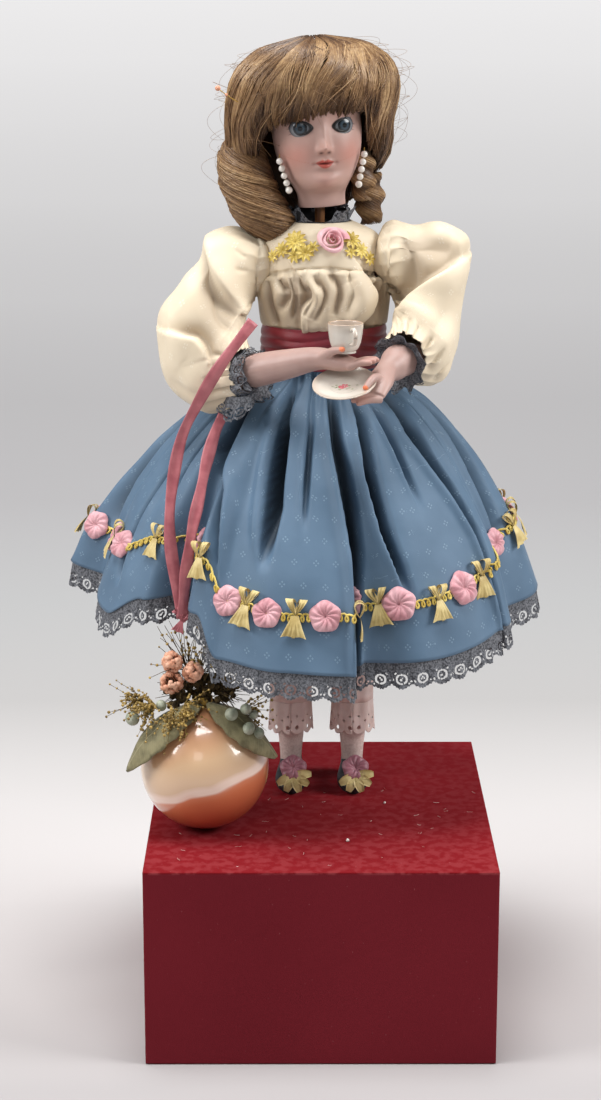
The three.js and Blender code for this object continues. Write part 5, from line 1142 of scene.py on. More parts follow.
def ribbon_petal():
    """One small loop of ribbon that opens from its tied end, ribbed along its length."""
    along = np.linspace(0, 1, 7)[:, None]
    across = np.linspace(-1, 1, 5)[None]
    x = across * PETAL_WIDTH / 2 * np.sin(pi * (0.12 + 0.72 * along)) ** 0.8
    z = 1.5 * np.sin(pi * along * 0.85) + 0.35 * np.cos(across * 2.2 * pi)
    grid = np.stack(np.broadcast_arrays(x, PETAL_LENGTH * along, z), -1)
    return pattern_grid("ribbon_petal", grid, closed=False, turned=True)


def shoe_trim():
    """A mauve rosette on each instep with straw petals under it."""
    roses, petals = [], []
    for x in LEGS.values():
        roses.append(((x + 1.5, -26.5, 15.6), (0.05, -0.8, 0.6), (0, 0.4, 1), 0.86))
        for turn in PETAL_TURNS:
            way = radians(turn)
            top = (sin(way), -0.25, -cos(way))
            petals.append(((x + 1.5, -29.6, 12.0), (0, -0.9, 0.42), top, 1.6))
    strewn("shoe_rosettes", rosette_pattern(), roses, ROSETTE_DARK)
    strewn("shoe_petals", ribbon_petal(), petals, GOLD_RIBBON)


# Skirt, garland and hem


def fold_shares(turns):
    """Reach and drop shares at turns in degrees: broad on the ridges and tight in the valleys."""
    table = np.array(SKIRT_FOLDS + [(SKIRT_FOLDS[0][0] + 360, *SKIRT_FOLDS[0][1:])], float)
    turns = (np.asarray(turns, float) - table[0, 0]) % 360 + table[0, 0]
    before = np.clip(np.searchsorted(table[:, 0], turns, side="right") - 1, 0, len(SKIRT_FOLDS) - 1)
    start, end = table[before], table[before + 1]
    share = (turns - start[:, 0]) / (end[:, 0] - start[:, 0])
    ease = (1 - np.cos(pi * share)) / 2
    broad = np.where(start[:, 1] > end[:, 1], ease**1.5, 1 - (1 - ease) ** 1.5)
    return blended(start[:, 1], end[:, 1], broad), blended(start[:, 2], end[:, 2], ease)


def skirt_reach(way, side, front, back):
    """How far an oval round the waist's middle reaches at a turn."""
    depth = np.where(np.cos(way) > 0, front, back)
    return 1 / np.hypot(np.sin(way) / side, np.cos(way) / depth)


def skirt_grid(turns, levels, inset=0.0, creased=1.0):
    """The skirt's cloth at turns in degrees and levels from waist to hem, with or without its folds."""
    turns, levels = np.asarray(turns, float), np.asarray(levels, float)[:, None]
    way = np.radians(turns)[None]
    reach_share, drop_share = (part[None] for part in fold_shares(turns))
    flare = eased(levels, SKIRT_LEVELS, SKIRT_FLARES)
    plain = skirt_reach(way, SKIRT_HALF_WIDTH, SKIRT_FRONT, SKIRT_BACK)
    waist_depth = SASH_HALF_DEPTH - UNDER_SASH
    waist = skirt_reach(way, SASH_HALF_WIDTH - UNDER_SASH, waist_depth, waist_depth)
    fold = 1 + (reach_share - 1) * np.maximum(levels, 1e-6) ** 0.35
    reach = waist + (plain * fold - waist) * flare
    room = np.clip(plain * flare / FULL_FOLD_REACH, LEAST_FOLD, 1)
    for places, deep in SKIRT_LAPS:
        centres, heights, widths = np.array(places, float).T
        off = (turns[None] - np.interp(levels, heights, centres) + 180) % 360 - 180
        across = np.radians(off) * (plain * flare + WAIST_ARC) / np.interp(levels, heights, widths)
        near_end = 1 - smooth_step(heights[-1] - 0.2, heights[-1], levels)
        window = smooth_step(heights[0] - 0.05, heights[0] + 0.07, levels) * near_end
        valley = smooth_step(-0.04, 0.14, across) * (1 - smooth_step(0.4, 1.05, across))
        ridge = 0.14 * np.exp(-(((across + 0.22) / 0.3) ** 2))
        reach = reach - creased * deep * window * room * (valley - ridge)
    gathers = np.sin(way * 31 + 1.3 * np.sin(way * 5)) + 0.5 * np.sin(way * 53 + 2)
    at_waist = np.exp(-levels / 0.15) * smooth_step(0.0, 0.05, levels)
    reach = reach + creased * WAIST_GATHER * gathers * at_waist
    points = around(way, reach, reach, levels * SKIRT_DROP_ROUND)
    reach = reach + creased * SKIRT_RIPPLE * ripple(points, 46, 3) * smooth_step(0.15, 0.5, levels) - inset
    height = SKIRT_TOP - SKIRT_DROP * drop_share * levels
    return around(way, reach, reach, height, (WAIST_SHIFT * (1 - flare), 0))


SKIRT_TURNS = np.arange(0, 360, 0.6)


def skirt():
    levels = np.linspace(0, 1, 70) ** 0.9
    grid = skirt_grid(SKIRT_TURNS, levels)
    smooth = skirt_grid(SKIRT_TURNS, levels, creased=0)
    seams = [int(np.searchsorted(SKIRT_TURNS, turn)) for turn in SKIRT_SEAMS]
    sunk = np.hypot(smooth[..., 0], smooth[..., 1]) - np.hypot(grid[..., 0], grid[..., 1])
    # Painted shade: the skirt is painted darker the deeper its folds' valleys sink
    marks = {"fold": 0.72 * smooth_step(1.5, 15, sunk)}
    piece = surface("satin_skirt", grid, DRESS, cloth=cloth_map(grid, True, seams), marks=marks)
    declare_sheet(piece, grid)
    thicken(piece, SKIRT_CLOTH)
    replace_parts(piece, "skirt")


def skirt_normal(turn, level):
    patch = skirt_grid([turn - 1.2, turn + 1.2], [level - 0.02, level + 0.02])
    across = patch[:, 1].mean(0) - patch[:, 0].mean(0)
    down = patch[1].mean(0) - patch[0].mean(0)
    return unit(np.cross(down, across)), unit(-down)


GARLAND_LEVELS = {
    -93: 0.81, -86: 0.8, -73: 0.74, -53: 0.74, -39: 0.77, -26: 0.785, -7: 0.81, 1: 0.8, 23: 0.8, 43: 0.78,
    60: 0.76, 79: 0.7, 100: 0.72, 180: 0.76, 267: 0.81,
}


def garland_level(turn):
    return float(eased((turn + 93) % 360 - 93, list(GARLAND_LEVELS), list(GARLAND_LEVELS.values())))


# From the middle out: share of the radius and lift
ROSETTE_RADIUS = 9.6
ROSETTE_SECTION = [
    (0.02, 0.5), (0.2, 2.0), (0.42, 3.0), (0.64, 3.1), (0.84, 2.5), (0.97, 1.2), (1.0, 0.2), (0.9, -0.6),
]


def rosette_pattern():
    """A pleated ribbon disc, drawn in at its middle."""
    turn = circle(44)[None]
    share, lift = (part[:, None] for part in np.transpose(ROSETTE_SECTION))
    pleat = (1 - np.abs(np.sin((turn + 0.5 * share) * 5.5)) ** 0.5) * 2.4 * np.sin(pi * share * 0.8)
    radius = ROSETTE_RADIUS * share * (1 + 0.05 * np.sin(turn * 5))
    grid = np.stack([radius * np.cos(turn), radius * np.sin(turn), lift - pleat], -1)
    return pattern_grid("rosette", grid, turned=True)


def bow_pattern():
    """Two upright loops, a knot and two ribbed tails of narrow ribbon."""
    grids = []
    across = np.linspace(-1, 1, 9)[None]
    share = np.linspace(0, 1, 12)[:, None]
    angle = 2 * pi * share
    for side in (-1, 1):
        loop_x = side * (3.4 * np.sin(angle * 0.5) + 1.5 * np.sin(angle) * 0.5)
        x = loop_x + across * 2.0 * np.sin(pi * share) ** 0.5
        y = 8.4 * np.sin(pi * share)
        z = 1.2 + 2.4 * np.sin(2 * pi * share) + 0.3 * np.cos(across * 6)
        grids.append(np.stack(np.broadcast_arrays(x, y, z), -1))
        x = side * (0.4 + 2.5 * share**1.2) + across * (1.4 + 2.2 * share)
        y = -10.5 * share - 0.8 * across**2 * share
        z = 1.6 + 0.6 * np.sin(pi * share) + 0.7 * np.cos(across * 9) * share
        grids.append(np.stack([x, y, z], -1))
    points = [grid.reshape(-1, 3) for grid in grids]
    faces = [grid_faces(12, 9, False, len(points[0]) * number) for number in range(len(grids))]
    return pattern_mesh("bow", np.concatenate(points), np.concatenate(faces))


ROSETTE_TURNS = [-93, -84, -72, -44, -27, -15, 1, 12, 23, 43, 56, 69] + list(range(92, 260, 11))
BOW_TURNS = [-79, -56, -37, -21, -7, 9, 18, 34, 51, 78] + [turn + 5.5 for turn in range(81, 259, 11)]


GARLAND_LIFT = 1.2
THREAD_LOOPS = 210
THREAD_POINTS = 2200


def garland():
    """Pink rosettes, straw bows and a looped gold thread sewn round the skirt."""
    source = np.random.default_rng(11)
    for name, pattern, turns, finish, sizes in (
        ("garland_rosettes", rosette_pattern(), ROSETTE_TURNS, ROSETTE, (0.88, 1.04)),
        ("garland_bows", bow_pattern(), BOW_TURNS, GOLD_RIBBON, (1.0, 1.22)),
    ):
        places = []
        for turn in turns:
            level = garland_level(turn) + source.uniform(-0.008, 0.008)
            out, up = skirt_normal(turn, level)
            point = skirt_grid([turn], [level])[0, 0] + out * GARLAND_LIFT
            top = unit(up + source.normal(scale=0.16, size=3))
            places.append((point, out, top, source.uniform(*sizes)))
        strewn(name, pattern, places, finish)
    line = []
    loops = np.linspace(0, 2 * pi * THREAD_LOOPS, THREAD_POINTS)
    for turn, loop in zip(np.linspace(-93, 267, THREAD_POINTS), loops):
        level = garland_level(turn) + 0.013 * np.sin(loop)
        line.append(skirt_grid([turn + 0.8 * np.cos(loop)], [level], -GARLAND_LIFT)[0, 0])
    strands("garland_thread", [line], 0.7, GOLD_THREAD, sides=5)


# Lace, cut from a fine grid that hangs between two lines


def lattice(value, pitch, half_thread):
    return half_thread - np.abs(np.mod(value, pitch) - pitch / 2)


def dark_lace(height, period=12.5):
    """Above zero where there is thread: net, ringed figures, leaves and a corded scallop edge."""

    def pattern(across, down):
        middle = np.mod(across, period) - period / 2
        edge = height - 2.8 * (np.abs(middle) * 2 / period) ** 1.6 + 0.35 * np.cos(across * 2 * pi / 1.9)
        inside = edge - down
        fine = np.maximum(lattice(across + down, 1.9, 0.5), lattice(across - down, 1.9, 0.5))
        open_net = np.maximum(lattice(across + down, 2.3, 0.36), lattice(across - down, 2.3, 0.36))
        net = np.where(down < height * 0.45, fine, open_net)
        reach = np.hypot(middle, (down - height * 0.66) * 1.15)
        ring = 0.5 - np.abs(reach - 1.9)
        arc = 0.6 - np.abs(reach - 4.1)
        leaf_x, leaf_y = np.abs(middle) - period / 2 + 0.3, down - height * 0.5
        leaf = 1.0 - np.hypot(leaf_x / 1.6, leaf_y / 3.2)
        petals = 0.6 - np.abs(np.hypot(middle, down - height * 0.2) - 1.6)
        cord = 0.7 - np.abs(inside - 0.7)
        header = 1.4 - down
        notches = np.cos(np.arctan2(middle, 1) * 9) < 0.6
        hollow = np.where((reach > 2.5) & (reach < 3.6) & notches, -0.4, net)
        figure = np.maximum.reduce([hollow, ring, arc, leaf, petals, cord, header])
        return np.minimum(figure, inside)

    return pattern


def eyelet_linen(height, period=8.0):
    """Above zero where there is cloth: ringed eyelets over a scalloped edge."""

    def pattern(across, down):
        middle = np.mod(across, period) - period / 2
        inside = height - 2.2 * (np.abs(middle) * 2 / period) ** 2 - down
        big = np.hypot(middle, down - height + 4.2) - 1.15
        beside = np.mod(across + period / 2, period) - period / 2
        small = np.hypot(beside, down - height + 8.5) - 0.75
        upper = np.hypot(middle, down - height + 11.5) - 0.6
        return np.minimum.reduce([inside, big, small, upper])

    return pattern


def lace(
    name, top, bottom, height, pattern, finish, body="base", ruffle=0.0, ruffle_length=9.0, cell=0.5
):
    """Openwork between a top and a bottom line of the same count, with thread where the pattern says."""
    top, bottom = np.asarray(top, float), np.asarray(bottom, float)
    reach = np.concatenate([[0], np.cumsum(np.linalg.norm(np.diff((top + bottom) / 2, axis=0), axis=1))])
    columns, rows = int(reach[-1] / cell), int(height / cell)
    across, down = np.meshgrid(np.arange(columns + 1) * cell, np.arange(rows + 1) * cell)
    amount = pattern(across, down)
    corners = np.stack([amount[:-1, :-1], amount[1:, :-1], amount[1:, 1:], amount[:-1, 1:]])
    keep = corners.mean(0) > 0
    nudge = 0.05
    slope_x = (pattern(across + nudge, down) - pattern(across - nudge, down)) / (2 * nudge)
    slope_y = (pattern(across, down + nudge) - pattern(across, down - nudge)) / (2 * nudge)
    short = np.clip(-amount, 0, 0.3) / np.maximum(slope_x**2 + slope_y**2, 0.2)
    across, down = np.clip(across + short * slope_x, 0, reach[-1]), down + short * slope_y
    upper, lower = (
        np.stack([np.interp(across, reach, line[:, axis]) for axis in range(3)], -1) for line in (top, bottom)
    )
    share = (down / height)[..., None]
    way = lower - upper
    out = unit(np.cross(np.gradient(upper, axis=1), way))
    wave = np.sin(across * 2 * pi / ruffle_length + np.sin(across / 17) * 1.5)[..., None]
    grid = upper + way * share - out * ruffle * wave * share
    return surface(name, grid, finish, body, closed=False, keep=keep)


def hem_lace():
    top = skirt_grid(np.arange(80, 441, 0.6), [0.99], 0.9)[0]
    bottom = top + unit(top * (1, 1, 0)) * 2.5 - (0, 0, HEM_LACE)
    piece = lace("hem_lace", top, bottom, HEM_LACE, dark_lace(HEM_LACE), LACE, ruffle=1.0)
    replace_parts(piece, "skirt_lace")


PANTALETTE_TOP = 196.0
PANTALETTE_HEM = 33.0
PANTALETTE_EYELETS = 20.0


def pantalette(side):
    """Gathered linen leg, with a band of eyelet work at its hem."""
    turns = np.linspace(0, 2 * pi, 97)

    def line(height):
        share = (PANTALETTE_TOP - height) / (PANTALETTE_TOP - PANTALETTE_HEM)
        flare = 1.6 * smooth_step(0.86, 1, share)
        radius = blended(15.0, 12.4, share) + flare + 0.45 * share * np.sin(turns * 9 + share * 2)
        return around(turns, radius, radius, height, (LEGS[side], 0))

    band_top = PANTALETTE_HEM + PANTALETTE_EYELETS
    grid = np.array([line(height)[:-1] for height in np.linspace(PANTALETTE_TOP, band_top, 30)])
    leg_cloth = surface("pantalette_leg_" + side, grid, LINEN, cloth=cloth_map(grid))
    declare_sheet(leg_cloth, grid)
    thicken(leg_cloth, LINEN_CLOTH)
    pattern = eyelet_linen(PANTALETTE_EYELETS)
    top, bottom = line(band_top), line(PANTALETTE_HEM)
    name = "pantalette_eyelets_" + side
    thicken(lace(name, top, bottom, PANTALETTE_EYELETS, pattern, LINEN), EYELET_CLOTH)
    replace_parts(leg_cloth, "pantalette_" + side)


# Bodice, sash and collar


BODICE_HEIGHTS = [0, 0.1, 0.24, 0.4, 0.6, 0.8, 1]
BODICE_WIDTHS = [0.52, 0.88, 0.97, 1, 1.01, 0.98, 0.965]
BODICE_DEPTHS = [0.54, 0.68, 0.83, 0.9, 1.03, 1, 0.955]
BUST_FOLDS = [
    ("crease", [(-26.2, 320.8), (-20.4, 311.9), (-24.1, 301.5)], 5.4, 2.4),
    ("fold", [(-13.0, 322.2), (-5.6, 311.9), (-11.5, 298.5), (-10.8, 289.6)], 4.8, 7.0),
    ("crease", [(-11.0, 322.2), (-4.2, 311.0), (-9.5, 298.5)], 5.8, 2.6),
    ("crease", [(-4.2, 322.2), (3.2, 311.9), (0.3, 304.5), (-4.1, 295.6)], 6.7, 3.0),
    ("crease", [(6.1, 324.4), (12.0, 316.3), (9.2, 298.5)], 5.8, 2.8),
    ("fold", [(18.1, 289.6), (26.9, 295.6), (33.4, 310.4), (25.2, 323.7)], 4.2, 10.0),
    ("crease", [(27.2, 323.7), (35.4, 310.4), (30.0, 296.0), (21.0, 289.6)], 5.4, 2.6),
    ("crease", [(-31.6, 317.8), (-30.1, 301.5), (-25.8, 291.1)], 4.8, 2.4),
    ("crease", [(-19.0, 322.0), (-15.0, 310.0), (-17.0, 296.0)], 3.5, 1.8),
    ("crease", [(17.0, 322.0), (20.0, 312.0), (16.0, 300.0)], 3.5, 2.0),
    ("ridge", [(-8.0, 320.0), (-1.0, 308.0), (-4.0, 297.0)], 2.6, 3.0),
    ("ridge", [(20.0, 319.0), (24.0, 307.0), (17.0, 294.0)], 3.8, 6.0),
]


def bodice_point(turn, height, out=0.0):
    share = (BODICE_TOP - np.asarray(height, float)) / (BODICE_TOP - BODICE_BOTTOM)
    half_width = BODICE_HALF_WIDTH * eased(share, BODICE_HEIGHTS, BODICE_WIDTHS) + out
    half_depth = BODICE_HALF_DEPTH * eased(share, BODICE_HEIGHTS, BODICE_DEPTHS) + out
    return around(turn, half_width, half_depth, height, (WAIST_SHIFT * share, 0))


def bodice():
    """Gathered satin that puffs out below the yoke's seam and tucks under the sash."""
    turns = circle(400)[None]
    heights = np.linspace(BODICE_TOP, BODICE_BOTTOM, 110)[:, None]
    seam_height = YOKE_BOTTOM + 1.2 - 7 * np.sin(turns) ** 2
    below = smooth_step(seam_height, seam_height - 3.5, heights)
    share = np.clip((seam_height - heights) / (seam_height - BODICE_BOTTOM), 0, 1)
    leaning = turns + 0.07 * np.sin(turns * 3 + 1) * share
    fine = np.abs(np.sin(leaning * BODICE_GATHERS / 2 + 0.8 * np.sin(leaning * 4 + 1))) ** 0.7
    large = np.sin(leaning * 9 + 1.4 * np.sin(leaning * 2.0 + 0.6) + 1.1 * share)
    puff = BODICE_PUFF * np.sin(pi * np.clip(share * 0.9 + 0.08, 0, 1)) ** 0.7
    near_seam = np.exp(-(share / 0.18) ** 2) + np.exp(-((share - 1) / 0.12) ** 2)
    out = below * (puff + (0.4 + 2.0 * near_seam) * (0.9 * fine - 0.7) + 0.7 * large * np.sin(pi * share))
    tucked = smooth_step(0.84, 0.98, share)
    out = out * (1 - tucked) - BODICE_TUCK * tucked
    out = out - YOKE_SEAM_DEPTH * np.exp(-(((heights - seam_height + 0.6) / 0.8) ** 2))
    soft = ripple(bodice_point(turns, heights), 26, 8) * 0.4
    plain = bodice_point(turns, heights, out + soft)
    normals = grid_normals(plain)
    grid = folded(plain, normals, BUST_FOLDS)
    pressed = painted_fold_shade(plain, grid, normals, *FOLD_SHADE_DEPTHS)
    # Painted shade: the gathered satin below the yoke is painted a little darker, and darker still where its
    # folds press in
    marks = {"fold": np.clip(0.24 * below + 0.5 * pressed, 0, 0.7)}
    middle = (grid[:-1] + grid[1:]) / 2
    off = np.hypot(middle[..., 1], middle[..., 2] - SHOULDER_HEIGHT)
    keep = (off >= SLEEVE_SEAM_RADIUS - 2.5) | (np.abs(middle[..., 0]) <= 20)
    piece = surface("satin_bodice", grid, BLOUSE, cloth=cloth_map(grid), marks=marks, keep=keep)
    declare_sheet(piece, grid)
    thicken(piece, SATIN_CLOTH)
    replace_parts(piece, "bodice")


def yoke_place(x, z, out=0.9):
    """Where a point of the yoke's front lies, with the ways that it faces and points up."""
    share = (BODICE_TOP - z) / (BODICE_TOP - BODICE_BOTTOM)
    half_width = BODICE_HALF_WIDTH * float(eased(share, BODICE_HEIGHTS, BODICE_WIDTHS))
    turn = np.arcsin(np.clip((x - WAIST_SHIFT * share) / half_width, -0.97, 0.97))
    point, above = bodice_point(turn, z, out), bodice_point(turn, z + 2, out)
    side = bodice_point(turn + 0.05, z, out)
    facing = unit(np.cross(side - point, above - point))
    return point, facing, unit(above - point)


# Clusters of leaves: x, z, how many leaves, and their size
YOKE_CLUSTERS = [
    (-21.5, 336.0, 9, 0.7), (-14.0, 341.0, 11, 0.95), (-8.5, 335.0, 9, 0.8), (-27.0, 332.0, 8, 0.56),
    (-14.5, 333.0, 8, 0.66), (-4.0, 338.0, 7, 0.55), (18.0, 341.5, 9, 0.8), (23.5, 335.5, 9, 0.7),
    (28.5, 330.5, 8, 0.62), (17.5, 335.0, 7, 0.55),
]


GOLD_LEAF_LENGTH = 7.6
GOLD_LEAF_HALF_WIDTH = 1.45


def gold_leaf_pattern():
    """A narrow silk leaf with a folded middle."""
    along = np.linspace(0, 1, 7)[:, None]
    across = np.linspace(-1, 1, 5)[None]
    half = GOLD_LEAF_HALF_WIDTH * np.sin(pi * np.clip(along * 0.96 + 0.03, 0, 1)) ** 0.8
    z = 0.5 + 0.9 * np.sin(pi * along) - 0.6 * (1 - np.abs(across))
    grid = np.stack(np.broadcast_arrays(across * half, GOLD_LEAF_LENGTH * along, z), -1)
    return pattern_grid("gold_leaf", grid, closed=False, turned=True)


ROSE_WINDS = 3.3
ROSE_RADIUS = 8.6


def ribbon_rose_pattern():
    """A soft ribbon rose: a strip wound round itself, wide outside and close within."""
    along = np.linspace(0, 1, 120)[:, None]
    up = np.linspace(0, 1, 7)[None]
    angle = along * ROSE_WINDS * 2 * pi
    radius = ROSE_RADIUS * (1 - along) ** 0.8 + 0.7
    lean_out = (1 - along) ** 0.7
    frill = 0.7 * np.sin(angle * 2.6 + 1) * up
    reach = radius * (0.55 + 0.55 * up * lean_out) + frill
    height = 0.5 + (1.5 + 4.4 * (0.35 + 0.65 * along)) * np.sin(up * 0.62 * pi) - 2.2 * lean_out * up**3
    grid = np.stack([reach * np.cos(angle), reach * np.sin(angle), height], -1)
    return pattern_grid("ribbon_rose", grid, closed=False)


def yoke_trim():
    """The pink ribbon rose and the gold silk leaves on the yoke."""
    places = []
    for x, z, count, size in YOKE_CLUSTERS:
        point, facing, up = yoke_place(x, z)
        side = np.cross(up, facing)
        for turn in np.arange(count) * 2 * pi / count + x:
            places.append((point, facing, unit(up * cos(turn) + side * sin(turn)), size))
    strewn("yoke_leaves", gold_leaf_pattern(), places, GOLD_THREAD)
    point, facing, up = yoke_place(7.0, 341.0, 0.3)
    rose = [(point, facing, up, 1.0)]
    strewn("yoke_rose", ribbon_rose_pattern(), rose, ROSE)


def sash():
    """A wide satin sash drawn into level folds."""
    turns = circle(240)[None]
    heights = np.linspace(SASH_TOP, SASH_BOTTOM, 44)[:, None]
    share = (SASH_TOP - heights) / (SASH_TOP - SASH_BOTTOM)
    phase = share * 4.2 * pi + 0.9 * np.sin(turns * 2 + 0.4) + 0.5 * np.sin(turns * 5)
    fold = np.abs(np.sin(phase)) ** 0.8 * np.sin(pi * np.clip(share, 0.02, 0.98)) ** 0.4
    out = 0.35 + fold + 0.5 * np.sin(pi * share)
    grid = around(turns, SASH_HALF_WIDTH + out, SASH_HALF_DEPTH + out, heights, (WAIST_SHIFT, 0))
    piece = surface("satin_sash", grid, SASH, cloth=cloth_map(grid))
    declare_sheet(piece, grid)
    thicken(piece, SATIN_CLOTH)
    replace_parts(piece, "sash")


COLLAR_RADIUS = 17.6
COLLAR_FLATNESS = 0.95
COLLAR_BOTTOM = 351.2
COLLAR_LACE = 8.0
FINE_CELL = 0.4


def collar():
    """Gathered lace that stands round the neck and lies low in front, with a dark sheet of painted shade
    below it, for the shade inside the neck's opening.
    """
    turns = np.linspace(-pi, pi, 240)
    dip = 1 - 0.93 * np.exp(-((turns / 0.5) ** 4))
    reach = COLLAR_RADIUS + 1.6 + 3.0 * np.sin(turns * 9 + 0.8 * np.sin(turns * 3)) * dip
    base = around(turns, COLLAR_RADIUS, COLLAR_RADIUS * COLLAR_FLATNESS, COLLAR_BOTTOM)
    edge = around(turns, reach, reach * COLLAR_FLATNESS, COLLAR_BOTTOM + 8.4 * dip)
    pattern = dark_lace(COLLAR_LACE, 7.0)
    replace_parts(lace("lace_collar", base, edge, COLLAR_LACE, pattern, LACE, cell=FINE_CELL), "collar")
    # Painted shade: a near-black sheet below and behind the lace, where the neck's opening lies in shade
    turn = circle(64)[None]
    radii = np.array([17.0, 17.3, 15.5, 11.0, 7.4])[:, None]
    standing = 351 + 6.5 * smooth_step(0.45, 0.8, np.abs(np.mod(turn + pi, 2 * pi) - pi))
    lying = np.array([351.0, 350.2, 349.7, 349.5])[:, None] + np.zeros(64)
    grid = around(turn, radii, COLLAR_FLATNESS * radii, np.concatenate([standing, lying]))
    thicken(surface("neck_lining", grid, NECK_SHADE, turned=True), NECK_SHADE_THICKNESS)


# Sleeves and cuffs


# Each sleeve is a bag of rings that fan round its pivot, from the armhole to the cuff. The lists give each
# ring's angle, its inner and outer edge, its way forward and its half width, as shares of the sleeve's
# reach, and its twist. A grab is x, z and reach, then the move. A fold is its kind, line, height and width.
SLEEVES = {
    "right": {
        "side": -1,
        "pivot": (-38.4, 0, 302),
        "degrees": [90, 104, 125, 150, 175, 200, 222, 241, 255],
        "inner": [0.05, 0.03, 0.03, 0.03, 0.03, 0.045, 0.1, 0.18, 0.29],
        "outer": [0.57, 0.68, 0.76, 0.8, 0.82, 0.88, 0.98, 1, 0.76],
        "forward": [0, 0.02, 0.07, 0.14, 0.23, 0.33, 0.44, 0.56, 0.66],
        "width": [0.25, 0.32, 0.37, 0.38, 0.38, 0.36, 0.33, 0.28, 0.23],
        "twist": [0, 0, 0, 2, 4, 8, 15, 24, 33],
        "grabs": [
            (-88, 334, 16, 13, 0, -5), (-91, 313, 12, 6, 0, 0), (-67, 350, 12, 0, 0, -3),
            (-80, 240, 14, 3, 0, 1), (-56, 250, 13, 9, -3, 2), (-50, 262, 9, 3, -2, 0),
            (-40, 334, 8, 2.5, -2, 1),
        ],
        "folds": [
            ("fold", [(-68.2, 340.6), (-65.4, 327.4), (-57.4, 312.5), (-45.6, 300.6)], 4.6, 13.0),
            ("crease", [(-70.0, 336.0), (-67.4, 325.4), (-59.4, 310.5), (-47.6, 299.0)], 2.0, 3.5),
            ("fold", [(-65.1, 276.7), (-67.3, 282.7), (-71.7, 287.9), (-79.8, 289.4), (-89.5, 290.2)],
             4.4, 12.0),
            ("crease", [(-64.0, 278.7), (-66.3, 285.7), (-72.7, 290.9), (-80.8, 292.0)], 2.4, 3.0),
            ("ridge", [(-65.0, 344.0), (-80.0, 312.0), (-90.0, 290.0)], 1.6, 6.0),
            ("crease", [(-51.5, 273.8), (-63.3, 272.3)], 2.6, 1.6),
            ("crease", [(-50.8, 267.8), (-66.1, 264.9)], 2.8, 1.6),
            ("crease", [(-51.6, 260.3), (-64.9, 257.3)], 2.8, 1.7),
            ("crease", [(-53.1, 252.8), (-67.8, 248.3)], 2.8, 1.7),
            ("crease", [(-52.0, 279.0), (-62.0, 280.0)], 2.2, 1.5),
            ("crease", [(-50.0, 292.0), (-58.0, 300.0), (-60.0, 312.0)], 2.2, 3.0),
            ("crease", [(-88.0, 262.0), (-78.0, 256.0), (-70.0, 254.0)], 1.6, 4.0),
            ("crease", [(-44.0, 332.0), (-50.0, 336.0)], 1.2, 1.4),
            ("crease", [(-43.0, 324.0), (-50.0, 325.0)], 1.2, 1.4),
        ],
    },
    "left": {
        "side": 1,
        "pivot": (41.3, 0, 304),
        "degrees": [90, 106, 128, 150, 175, 198, 220, 240, 256],
        "inner": [0.05, 0.03, 0.03, 0.03, 0.03, 0.045, 0.075, 0.13, 0.19],
        "outer": [0.64, 0.76, 0.82, 0.83, 0.72, 0.66, 0.7, 0.75, 0.61],
        "forward": [0, 0, 0.04, 0.09, 0.15, 0.24, 0.37, 0.53, 0.69],
        "width": [0.26, 0.33, 0.37, 0.4, 0.4, 0.38, 0.34, 0.28, 0.22],
        "twist": [0, 0, 0, 0, 6, 12, 26, 44, 62],
        "grabs": [
            (58, 356, 13, 0, 0, -7), (41, 352, 7, 0, -2, 4), (94, 320, 20, -4, 0, 0), (94, 303, 16, -4, 0, 0),
            (87, 340, 7, 2, 0, 1),
        ],
        "folds": [
            ("fold", [(85.7, 331.2), (72.2, 325.2), (61.7, 318.4), (48.3, 304.7), (37.8, 289.4)], 4.8, 18.0),
            ("crease", [(80.0, 332.0), (70.2, 328.2), (58.7, 321.4), (47.0, 309.0)], 2.4, 3.0),
            ("crease", [(49.4, 341.5), (52.5, 332.5), (51.9, 319.9), (46.0, 307.7)], 5.0, 3.6),
            ("crease", [(52.4, 338.5), (64.5, 339.3), (78.0, 337.3)], 4.4, 6.5),
            ("ridge", [(49.3, 349.3), (74.9, 346.3), (84.8, 339.5)], 2.0, 4.0),
            ("fold", [(35.0, 350.0), (34.4, 335.0), (44.5, 306.2)], 1.6, 8.0),
            ("ridge", [(42.0, 348.0), (41.0, 330.0), (46.0, 313.0)], 2.6, 4.5),
            ("crease", [(42.0, 286.4), (50.9, 300.1)], 2.4, 1.7),
            ("crease", [(49.6, 281.8), (57.0, 294.0)], 2.4, 1.7),
            ("crease", [(57.2, 277.3), (64.6, 287.9)], 2.4, 1.7),
            ("crease", [(62.6, 269.6), (72.3, 281.8)], 2.4, 1.7),
            ("crease", [(66.0, 262.0), (76.0, 272.0)], 2.0, 1.7),
            ("crease", [(46.0, 284.0), (54.0, 297.0)], 1.8, 1.3),
            ("crease", [(80.0, 312.0), (72.0, 300.0), (66.0, 292.0)], 1.6, 5.0),
        ],
    },
}


CUFF_GATHER = 1.5
SEAM_GATHER = 1.3
SHOULDER_ROUNDING = 1.8


